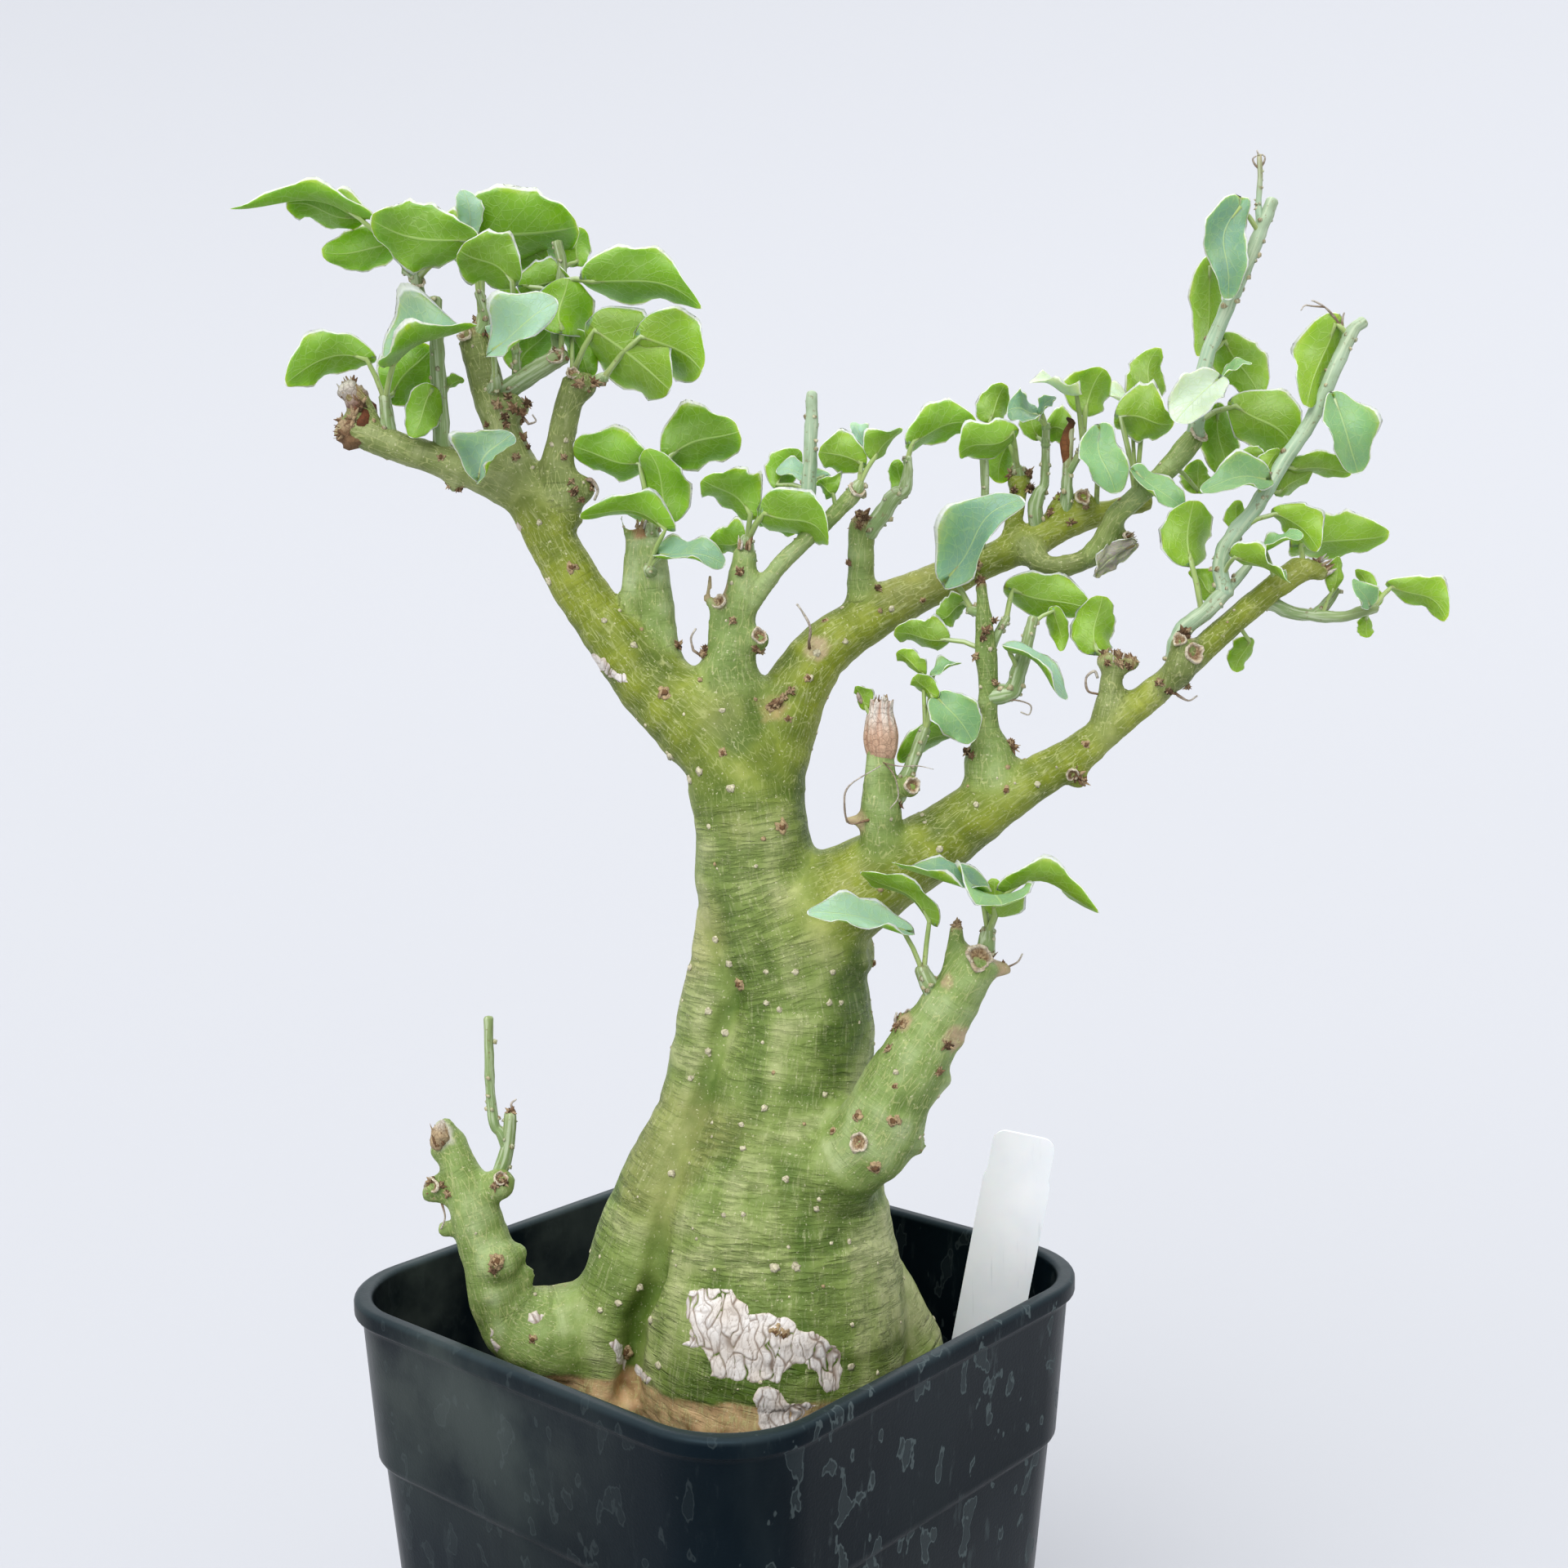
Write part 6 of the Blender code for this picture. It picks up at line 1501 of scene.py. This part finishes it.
def addBlade(bm, data, number, seed, dead):
    # an upper and a lower sheet that meet along the margin
    base, axis, length, normal, side = bladeFrame(data)
    habit = leafHabit(data)
    uvLayer = bm.loops.layers.uv["leafUv"]
    everything = []
    for sheet in (1, -1):
        # the lower sheet takes the greens lightened with painted glow
        greens = leafLook["topGreens"] if sheet > 0 else leafLook["underGreensWithPaintedGlow"]
        colour = leafLook["deadGrey"] if dead else greens[habit["green"]]
        if tuple(data["tip"][:2]) in whitishLeaves:
            colour = leafLook["whitish"]
        made = gridVerts(bm, leafLook["across"], leafLook["along"])
        across = {vert: math.copysign(abs(vert.co.x) ** 1.2, vert.co.x) for vert in made}
        along = {vert: 0.5 - 0.5 * math.cos(math.pi * (vert.co.y + 1) / 2) for vert in made}
        faces = facesOf(made)
        for face in faces:
            face.material_index = 1
            for loop in face.loops:
                loop[uvLayer].uv = (across[loop.vert] / 2 + 0.5, along[loop.vert])
        for vert in made:
            u, v = across[vert], along[vert]
            half, lift, slide = bladeOffsets(u, v, data, habit, length)
            thick = leafLook["sheetMm"] * mm * (1 - abs(u) ** 4) * min(1, 8 * (1 - v))
            if sheet < 0:
                thick += leafLook["ribMm"] * mm * math.exp(-((u / 0.06) ** 2)) * (1 - v)
            if half == 0:
                thick = 0
            if dead:
                lift += leafLook["deadCrumpleMm"] * mm * noise(Vector((u * 3, v * 4, 4.0)))
            # the lobes of the base reach back past the stalk
            back = leafLook["lobeShare"] * length * abs(u) * (1 - v) ** 6
            vert.co = base + axis * (length * v - back) + side * slide
            vert.co += normal * (lift + sheet * thick / 2)
            vert.co.z += data["rise"] * mm * 4 * v * (1 - v)
            shade = habit["shade"] * (1 + 0.2 * noise(Vector((u * 1.2 + seed, v * 1.8, number))))
            colourVert(bm, vert, tuple(c * shade for c in colour), (u * half, v * length, 0))
        bmesh.ops.recalc_face_normals(bm, faces=faces)
        up = sum((face.normal * face.calc_area() for face in faces), Vector())
        if up.dot(normal) * sheet < 0:
            bmesh.ops.reverse_faces(bm, faces=faces)
        everything += made
    weld(bm, everything, 0.000004)


def addStalk(bm, data, dead):
    # ends inside the blade, where its midrib starts
    start = spot(*data["stalk"])
    base, axis, length, normal, side = bladeFrame(data)
    habit = leafHabit(data)
    inward = min(0.16, 3 * mm / length)
    swing = length * math.sin(math.pi * inward)
    inside = base + axis * length * inward + (normal * habit["arch"] + side * habit["bend"]) * swing
    inside += (normal * habit["sway"] + side * habit["swerve"]) * length * math.sin(2 * math.pi * inward)
    inside.z += data["rise"] * mm * 4 * inward * (1 - inward)
    sag = (base - start).length * 0.07
    middle = start.lerp(base, 0.5) + Vector((0, 0, 1)) * sag
    thick = leafLook["stalkMm"] * min(1, 0.55 + data["width"] / 30)
    path = taper(
        (start, 1.35 * thick), (start.lerp(middle, 0.35), 1.05 * thick), (middle, thick),
        (middle.lerp(base, 0.6), 0.95 * thick), (base, 0.95 * thick), (inside, 0.5 * thick),
    )
    colour = dryBrown if dead else leafLook["stalk"]
    sweep(bm, path, lambda share: blend(blend(colour, dryTan, 0.25), colour, share * 3), 8)


def addShoot(name, parts, seed):
    stems = [part for part in parts if isinstance(part, list)]
    leaves = [part for part in parts if isinstance(part, dict)]
    bm = newShape()
    dead = name == "dead_leaf"
    stemColour = leafLook["paleStem"] if name in paleStems else leafLook["stem"]
    for rows in stems:
        path = smoothPath(rows, 6)
        thin = rows[-1][3] < leafLook["dryTipMm"]
        tip = blend(stemColour, dryTan, 0.8 if thin else 0.15)
        sweep(bm, path, lambda share: blend(stemColour, tip, share * 1.6 - 0.6), 14, 0.22)
        frames = pathFrames(path)
        for number in range(1, len(rows) * 3):
            i = draw.randrange(len(path))
            turn = draw.uniform(0, 2 * math.pi)
            out = around(frames[i][1], frames[i][2], turn)
            size = min(path[i].w * 0.55, draw.uniform(*leafLook["scarMm"]) * mm)
            place = path[i].to_3d() + out * path[i].w
            pebble(bm, place, size, draw.choice((dryBrown, dryTan)), 1, 0.8, None, number)
    for number, data in enumerate(leaves):
        addStalk(bm, data, dead)
        addBlade(bm, data, number, seed, dead)
        if not dead:
            joint = spot(*data["stalk"])
            pebble(bm, joint, leafLook["nodeMm"] * mm, leafLook["stem"], 2, 0.3, None, number)
    finished(bm, name + "Fine", [stemBark, leafSkin], [name])


def leafMaterial():
    mat, tree, shader = newMaterial("leafSkin")
    uv = addNode(tree, "ShaderNodeUVMap", uv_map="leafUv").outputs["UV"]
    parts = addNode(tree, "ShaderNodeSeparateXYZ")
    tree.links.new(uv, parts.inputs["Vector"])
    doubled = times(tree, parts.outputs["X"], 2.0)
    out = maths(tree, "ABSOLUTE", maths(tree, "SUBTRACT", doubled, 1.0))
    along = parts.outputs["Y"]
    rib = ramp(tree, out, 0.05, 0.01)
    phase = maths(tree, "SUBTRACT", times(tree, along, 6.0), times(tree, out, 2.4))
    saw = maths(tree, "ABSOLUTE", maths(tree, "SUBTRACT", maths(tree, "FRACT", phase), 0.5))
    lateral = times(tree, ramp(tree, saw, 0.045, 0.0), ramp(tree, out, 0.9, 0.2))
    net = cellsOf(tree, coordsOf(tree, "grain"), 620, "DISTANCE_TO_EDGE")
    fine = times(tree, ramp(tree, net, 0.07, 0.0), 0.35)
    veins = maths(tree, "MAXIMUM", maths(tree, "MAXIMUM", rib, times(tree, lateral, 0.7)), fine)
    margin = maths(tree, "MAXIMUM", ramp(tree, out, 0.9, 0.94), ramp(tree, along, 0.98, 0.99))
    mottle = noiseOf(tree, coordsOf(tree), 210, 3)
    colour = mixed(tree, ramp(tree, mottle, 0.4, 0.7, 0.0, 0.25), tintOf(tree), leafLook["mottle"])
    colour = mixed(tree, times(tree, veins, 0.45), colour, leafLook["vein"])
    colour = mixed(tree, times(tree, margin, 0.95), colour, leafLook["edge"])
    dress(tree, shader, colour, 0.42, bumped(tree, veins, 0.00025, 0.5), {
        "Specular IOR Level": 0.45,
        "Subsurface Weight": 0.4,
        "Subsurface Radius": (1.1, 1.6, 0.3),
        "Subsurface Scale": 0.001,
    })
    return mat


def stemMaterial():
    mat, tree, shader = newMaterial("youngStem")
    fibres = noiseOf(tree, coordsOf(tree, "grain", (1400, 1400, 90)), 1, 3)
    spots = noiseOf(tree, coordsOf(tree), 900, 3)
    shade = noiseOf(tree, coordsOf(tree), 130, 3)
    colour = mixed(tree, ramp(tree, shade, 0.35, 0.6, 0.4, 0.0), tintOf(tree), rgb(98, 120, 62))
    colour = mixed(tree, ramp(tree, fibres, 0.45, 0.65, 0.0, 0.6), colour, rgb(196, 208, 176))
    colour = mixed(tree, ramp(tree, spots, 0.6, 0.7, 0.0, 0.6), colour, rgb(122, 106, 72))
    dress(tree, shader, colour, 0.5, bumped(tree, fibres, 0.0002, 0.5), {"Specular IOR Level": 0.35})
    return mat


leafSkin = leafMaterial()
stemBark = stemMaterial()
for seed, (name, parts) in enumerate(shoots.items()):
    addShoot(name, parts, seed)
print("shoots done")

# square nursery pot, turned with one corner to the front; sizes in mm
potLook = {
    "turn": 48.9,
    "side": 133,
    "corner": 22.5,
    "wall": 1.4,
    "lipWidth": 3.6,
    "lipDrop": 4.6,
    "lipProud": 1.2,
    "bandDrop": 38.5,
    "bandDraft": 2.4,
    "stepIn": 1.2,
    "stepDrop": 1.6,
    "baseDraft": 8.5,
    "floor": 2.0,
    "drainRadius": 4.5,
    "drainOffset": 34,
    "drainSides": 40,
    "cornerSteps": 12,
    "sideSteps": 10,
    "sharpAngle": 42,
    "underLipRound": 2,
    "lipRound": 2.4,
    "bevels": {
        "foot": ((-2.6, 0), (-0.8, -0.25), (0, -1.2)),
        "step": ((-0.1, 0.3), (0, 0)),
        "band": ((-0.5, 0.5), (0, 0)),
    },
}


def wallSide(drop):
    # the outer side this far under the rim
    outer = potLook["side"] - 2 * potLook["lipProud"]
    if drop <= potLook["bandDrop"]:
        return outer - 2 * potLook["bandDraft"] * drop / potLook["bandDrop"]
    below = outer - 2 * (potLook["bandDraft"] + potLook["stepIn"])
    depth = potHeight / mm - potLook["bandDrop"]
    return below - 2 * potLook["baseDraft"] * (drop - potLook["bandDrop"]) / depth


def potOutline():
    # rows of (side, drop under the rim), up the outer wall, over the lip and down the inner wall
    side, lip, wall = potLook["side"], potLook["lipWidth"], potLook["wall"]
    drop, band, step = potLook["lipDrop"], potLook["bandDrop"], potLook["stepDrop"]
    full = potHeight / mm
    levels = {"foot": full, "step": band + step, "band": band}
    rows = []
    for name, changes in potLook["bevels"].items():
        rows += [(wallSide(levels[name]) + wider, levels[name] + lower) for wider, lower in changes]
    rows += [(wallSide(band - 1), band - 1), (wallSide(drop + 1.4), drop + 1.4)]
    rows += [(wallSide(drop + 0.6) + 0.5, drop + 0.6)]
    under, over = potLook["underLipRound"], potLook["lipRound"]
    for angle in map(math.radians, range(0, 91, 15)):
        lower = drop - under / 2 + under / 2 * math.cos(angle)
        rows.append((side - under + under * math.sin(angle), lower))
    rows.append((side, 1.6))
    for angle in map(math.radians, range(0, 91, 15)):
        rows.append((side - over + over * math.cos(angle), over / 2 - over / 2 * math.sin(angle)))
    inner = side - 2 * lip
    for angle in map(math.radians, range(0, 91, 18)):
        rows.append((inner + over - over * math.sin(angle), over / 2 - over / 2 * math.cos(angle)))
    rows += [(wallSide(band) - 2 * wall, band - wall), (wallSide(band + step) - 2 * wall, band + step)]
    rows += [(wallSide(full) - 2 * wall, full - potLook["floor"])]
    return rows


def perimeterSpot(side, corner, share):
    # a point on a square with round corners, share 0 to 1 round it
    quarter, part = divmod(share * 4, 1)
    steps = potLook["cornerSteps"] + potLook["sideSteps"]
    place = part * steps
    inner = side / 2 - corner
    if place <= potLook["cornerSteps"]:
        angle = math.radians(90 * place / potLook["cornerSteps"])
        flat = Vector((inner + corner * math.cos(angle), inner + corner * math.sin(angle), 0))
    else:
        run = (place - potLook["cornerSteps"]) / potLook["sideSteps"]
        flat = Vector((inner - 2 * inner * run, side / 2, 0))
    return Matrix.Rotation(math.radians(90) * quarter, 3, "Z") @ flat


def buildPot():
    bm = bmesh.new()
    rows = potOutline()
    columns = 4 * (potLook["cornerSteps"] + potLook["sideSteps"])
    for vert in gridVerts(bm, columns, len(rows) - 1):
        column, row = gridCell(vert, columns, len(rows) - 1)
        side, drop = rows[row]
        corner = potLook["corner"] - (potLook["side"] - side) / 4
        vert.co = perimeterSpot(side, corner, column / columns) * mm
        vert.co.z = potHeight - drop * mm
    weld(bm, bm.verts)
    bmesh.ops.holes_fill(bm, edges=[edge for edge in bm.edges if edge.is_boundary], sides=0)
    turned = Matrix.Rotation(math.radians(potLook["turn"]), 4, "Z")
    bmesh.ops.rotate(bm, verts=bm.verts, matrix=turned.to_3x3())
    bmesh.ops.recalc_face_normals(bm, faces=bm.faces)
    pot = finished(bm, "nurseryPot", [potPlastic], ["pot"])
    for x, y in ((1, 1), (-1, 1), (-1, -1), (1, -1)):
        hole = bmesh.new()
        reach = potLook["drainOffset"] * mm
        place = turned @ Matrix.Translation((x * reach, y * reach, 0))
        radius = potLook["drainRadius"] * mm
        bmesh.ops.create_cone(
            hole, cap_ends=True, segments=potLook["drainSides"], radius1=radius, radius2=radius,
            depth=4 * potLook["floor"] * mm, matrix=place,
        )
        cutter = objectOf(hole, "drain")
        cut = pot.modifiers.new("drain", "BOOLEAN")
        cut.operation = "DIFFERENCE"
        cut.object = cutter
        done = modifiedMesh(pot)
        pot.modifiers.clear()
        pot.data = done
        bpy.data.objects.remove(cutter)
    pot.data.set_sharp_from_angle(angle=math.radians(potLook["sharpAngle"]))


def potMaterial():
    mat, tree, shader = newMaterial("potPlastic")
    coords = coordsOf(tree)
    drops = noiseOf(tree, coordsOf(tree, None, (1, 1, 0.55)), 190, 3, 0.45)
    ring = times(tree, ramp(tree, drops, 0.6, 0.615), ramp(tree, drops, 0.645, 0.625))
    rings = maths(tree, "MAXIMUM", ring, ramp(tree, drops, 0.61, 0.66, 0.0, 0.3))
    streaks = ramp(tree, noiseOf(tree, coordsOf(tree, None, (1, 1, 0.22)), 230, 5, 0.7), 0.58, 0.72)
    film = ramp(tree, noiseOf(tree, coordsOf(tree, None, (1, 1, 0.3)), 38, 5), 0.48, 0.72, 0.0, 0.45)
    place = addNode(tree, "ShaderNodeSeparateXYZ")
    tree.links.new(coords, place.inputs["Vector"])
    # painted sheen: the left faces greyer and lighter towards the top, broken up by noise
    high = ramp(tree, place.outputs["Z"], potHeight - 60 * mm, potHeight - 8 * mm)
    paintedSheen = times(tree, ramp(tree, place.outputs["X"], -0.01, -0.05), high)
    paintedSheen = times(tree, paintedSheen, ramp(tree, noiseOf(tree, coords, 30, 5), 0.3, 0.65))
    side = ramp(tree, place.outputs["X"], -0.005, 0.035, 0.2, 1.0)
    side = times(tree, side, ramp(tree, place.outputs["Y"], 0.01, -0.01, 0.25, 1.0))
    marks = maths(tree, "MAXIMUM", rings, times(tree, streaks, 0.5))
    marks = times(tree, marks, side)
    clouds = noiseOf(tree, coords, 14, 4)
    colour = mixed(tree, ramp(tree, clouds, 0.35, 0.7), rgb(3, 10, 15), rgb(10, 19, 25))
    colour = mixed(tree, times(tree, film, 0.16), colour, rgb(84, 94, 92))
    colour = mixed(tree, times(tree, paintedSheen, 0.45), colour, rgb(82, 90, 84))
    colour = mixed(tree, times(tree, marks, 0.5), colour, rgb(104, 116, 116))
    # painted highlight: a lighter line along the top edge of the rim
    rim = ramp(tree, place.outputs["Z"], potHeight - 1.6 * mm, potHeight - 0.2 * mm)
    colour = mixed(tree, times(tree, rim, 0.35), colour, rgb(60, 72, 76))
    rough = ramp(tree, maths(tree, "MAXIMUM", marks, film), 0.0, 0.8, 0.3, 0.65)
    grain = noiseOf(tree, coords, 1500, 2)
    dress(tree, shader, colour, rough, bumped(tree, grain, 0.00006, 0.5), {
        "Specular IOR Level": 0.09,
        "Specular Tint": (0.5, 0.78, 1.0, 1.0),
    })
    return mat


potPlastic = potMaterial()
buildPot()
print("pot done")

# potting mix: the solid block with loose bits on it; sizes in mm
soilLook = {
    "bits": 900,
    "sizesMm": (0.7, 0.9, 1.2, 1.6, 2.4),
    "drop": 38,
    "clearOfWall": 4,
    "deepest": 50,
    "colours": (rgb(44, 32, 24), rgb(62, 44, 30), rgb(30, 22, 18), rgb(96, 74, 52), rgb(150, 140, 124)),
}


def soilMaterial():
    mat, tree, shader = newMaterial("pottingMix")
    lumps = noiseOf(tree, coordsOf(tree), 260, 6, 0.7)
    colour = mixed(tree, ramp(tree, lumps, 0.35, 0.65), rgb(26, 19, 15), rgb(66, 48, 34))
    dress(tree, shader, colour, 0.95, bumped(tree, lumps, 0.002, 0.9))
    return mat


def addSoilBits():
    bm = newShape()
    block = nodes["soil"].data
    ground = BVHTree.FromPolygons([v.co for v in block.vertices], [p.vertices for p in block.polygons])
    reach = wallSide(soilLook["drop"]) / 2 - soilLook["clearOfWall"]
    turned = Matrix.Rotation(math.radians(potLook["turn"]), 3, "Z")
    placed = 0
    while placed < soilLook["bits"]:
        flat = turned @ Vector((draw.uniform(-reach, reach) * mm, draw.uniform(-reach, reach) * mm, 0))
        above = Vector((flat.x, flat.y, potHeight))
        place = ground.ray_cast(above, Vector((0, 0, -1)))[0]
        if place is None or place.z < potHeight - soilLook["deepest"] * mm:
            placed += 0.2  # a miss counts a little, so that the loop always ends
            continue
        size = draw.choice(soilLook["sizesMm"]) * mm
        place.z += size * 0.3
        colour = soilLook["colours"][min(int(draw.triangular(0, 5, 1)), 4)]
        pebble(bm, place, size, colour, 1, 0.6, None, placed * 0.37)
        placed += 1
    finished(bm, "looseMix", [soilGrit], ())


def gritMaterial():
    mat, tree, shader = newMaterial("soilGrit")
    grit = noiseOf(tree, coordsOf(tree), 1300, 4, 0.7)
    colour = mixed(tree, ramp(tree, grit, 0.4, 0.7, 0.0, 0.5), tintOf(tree), rgb(20, 15, 12))
    dress(tree, shader, colour, 0.95, bumped(tree, grit, 0.0005, 0.8))
    return mat


soilGrit = gritMaterial()
nodes["soil"].data.materials.clear()
nodes["soil"].data.materials.append(soilMaterial())
addSoilBits()
print("soil done")

# bare plant label of thin plastic; sizes in mm, turns in degrees
labelLook = {
    "width": 16,
    "length": 122,
    "thick": 0.8,
    "lean": 10.3,
    "yaw": -8,
    "top": (1256, 1389, 8),
    "cornerRadius": 3.0,
    "neck": 11,
    "neckShare": 0.92,
    "pointLength": 14,
    "rows": 90,
    "rowPower": 1.6,
    "sharpAngle": 40,
}


def labelHalf(fromTop):
    half = labelLook["width"] / 2
    if fromTop > labelLook["length"] - labelLook["pointLength"]:
        return half * max(labelLook["length"] - fromTop, 0) / labelLook["pointLength"]
    neck, narrow = labelLook["neck"], labelLook["neckShare"]
    half *= narrow + (1 - narrow) * smoothStep(neck - 1, neck + 1, fromTop)
    corner = labelLook["cornerRadius"]
    if fromTop < corner:
        half -= corner - math.sqrt(max(corner**2 - (corner - fromTop) ** 2, 0))
    return half


def buildLabel():
    bm = bmesh.new()
    made = gridVerts(bm, 10, labelLook["rows"])
    angles = [math.radians(angle) for angle in (90, labelLook["lean"], labelLook["yaw"])]
    turn = Euler(angles).to_matrix()
    top = spot(*labelLook["top"])
    for vert in made:
        share = (1 - vert.co.y) / 2
        fromTop = labelLook["length"] * share ** labelLook["rowPower"]
        vert.co = top + turn @ Vector((vert.co.x * labelHalf(fromTop), -fromTop, 0)) * mm
    weld(bm, made, 0.00002)
    bmesh.ops.recalc_face_normals(bm, faces=bm.faces)
    bmesh.ops.solidify(bm, geom=bm.faces[:], thickness=labelLook["thick"] * mm)
    bmesh.ops.recalc_face_normals(bm, faces=bm.faces)
    out = turn.col[2]
    depths = [vert.co.dot(out) for vert in bm.verts]
    shift = top.dot(out) - (min(depths) + max(depths)) / 2
    bmesh.ops.translate(bm, verts=bm.verts, vec=out * shift)
    label = finished(bm, "plainLabel", [labelPlastic], ["plant_label"])
    label.data.set_sharp_from_angle(angle=math.radians(labelLook["sharpAngle"]))


def labelMaterial():
    mat, tree, shader = newMaterial("labelPlastic")
    haze = noiseOf(tree, coordsOf(tree), 60, 3)
    scratches = noiseOf(tree, coordsOf(tree, None, (900, 900, 60)), 1, 3)
    colour = mixed(tree, ramp(tree, haze, 0.35, 0.7), rgb(234, 238, 242), rgb(244, 246, 248))
    colour = mixed(tree, ramp(tree, scratches, 0.62, 0.72, 0.0, 0.25), colour, rgb(180, 188, 196))
    dress(tree, shader, colour, 0.38, bumped(tree, scratches, 0.00005, 0.4), {
        "Subsurface Weight": 0.1,
        "Subsurface Scale": 0.002,
    })
    return mat


labelPlastic = labelMaterial()
buildLabel()
print("label done")

# floor, light and camera
stageLook = {
    "floor": rgb(176, 178, 183),
    "sky": rgb(244, 245, 248),
    "skyStrength": 0.95,
    "floorReach": 2.0,
    "bowlRadius": 8.0,
    "bowlTurn": 50,
    "bowlSteps": 12,
    "keyFrom": (-0.4, -0.95, 1.1),
    "keyStrength": 2.6,
    "keySpread": 50,
    "backFrom": (0.2, 0.7, 1.0),
    "backStrength": 1.3,
    "backSpread": 70,
}


def buildStage():
    # a floor that rises gently far away on every side
    bm = bmesh.new()
    reach, radius = stageLook["floorReach"], stageLook["bowlRadius"]
    bmesh.ops.create_circle(bm, cap_ends=False, segments=96, radius=reach)
    bmesh.ops.holes_fill(bm, edges=bm.edges[:], sides=0)
    edges = [edge for edge in bm.edges if edge.is_boundary]
    for step in range(1, stageLook["bowlSteps"] + 1):
        angle = math.radians(stageLook["bowlTurn"] * step / stageLook["bowlSteps"])
        grown = bmesh.ops.extrude_edge_only(bm, edges=edges)["geom"]
        rim = [part for part in grown if isinstance(part, bmesh.types.BMVert)]
        edges = [part for part in grown if isinstance(part, bmesh.types.BMEdge)]
        for vert in rim:
            flat = Vector((vert.co.x, vert.co.y, 0)).normalized() * (reach + radius * math.sin(angle))
            vert.co = Vector((flat.x, flat.y, radius * (1 - math.cos(angle))))
    bmesh.ops.recalc_face_normals(bm, faces=bm.faces[:])
    if max(bm.faces, key=lambda face: face.calc_area()).normal.z < 0:
        bmesh.ops.reverse_faces(bm, faces=bm.faces[:])
    floor = objectOf(bm, "floor")
    floor.data.shade_smooth()
    mat, _, shader = newMaterial("paleFloor")
    shader.inputs["Base Color"].default_value = (*stageLook["floor"], 1)
    shader.inputs["Roughness"].default_value = 0.8
    floor.data.materials.append(mat)
    world = bpy.data.worlds.new("softRoom")
    world.use_nodes = True
    backdrop = world.node_tree.nodes["Background"]
    backdrop.inputs["Color"].default_value = (*stageLook["sky"], 1)
    backdrop.inputs["Strength"].default_value = stageLook["skyStrength"]
    bpy.context.scene.world = world


def addSun(name, place, strength, spread):
    # a soft light from the direction of place, spread in degrees
    light = bpy.data.lights.new(name, "SUN")
    light.energy = strength
    light.angle = math.radians(spread)
    lamp = bpy.data.objects.new(name, light)
    lamp.rotation_euler = (-Vector(place)).to_track_quat("-Z", "Y").to_euler()
    bpy.context.scene.collection.objects.link(lamp)


def addCamera():
    cam = bpy.data.cameras.new("photoCamera")
    cam.sensor_width = 36
    cam.lens = 36 * photoView["focal"] / (2 * photoView["centre"])
    cam.clip_start = 0.01
    obj = bpy.data.objects.new("photoCamera", cam)
    bpy.context.scene.collection.objects.link(obj)
    turned = Matrix((viewRight, viewUp, -viewForward)).transposed().to_4x4()
    turned.translation = photoView["eye"]
    obj.matrix_world = turned
    bpy.context.scene.camera = obj


bpy.context.scene.view_settings.view_transform = "Standard"
buildStage()
addSun("softKey", stageLook["keyFrom"], stageLook["keyStrength"], stageLook["keySpread"])
addSun("softBack", stageLook["backFrom"], stageLook["backStrength"], stageLook["backSpread"])
addCamera()
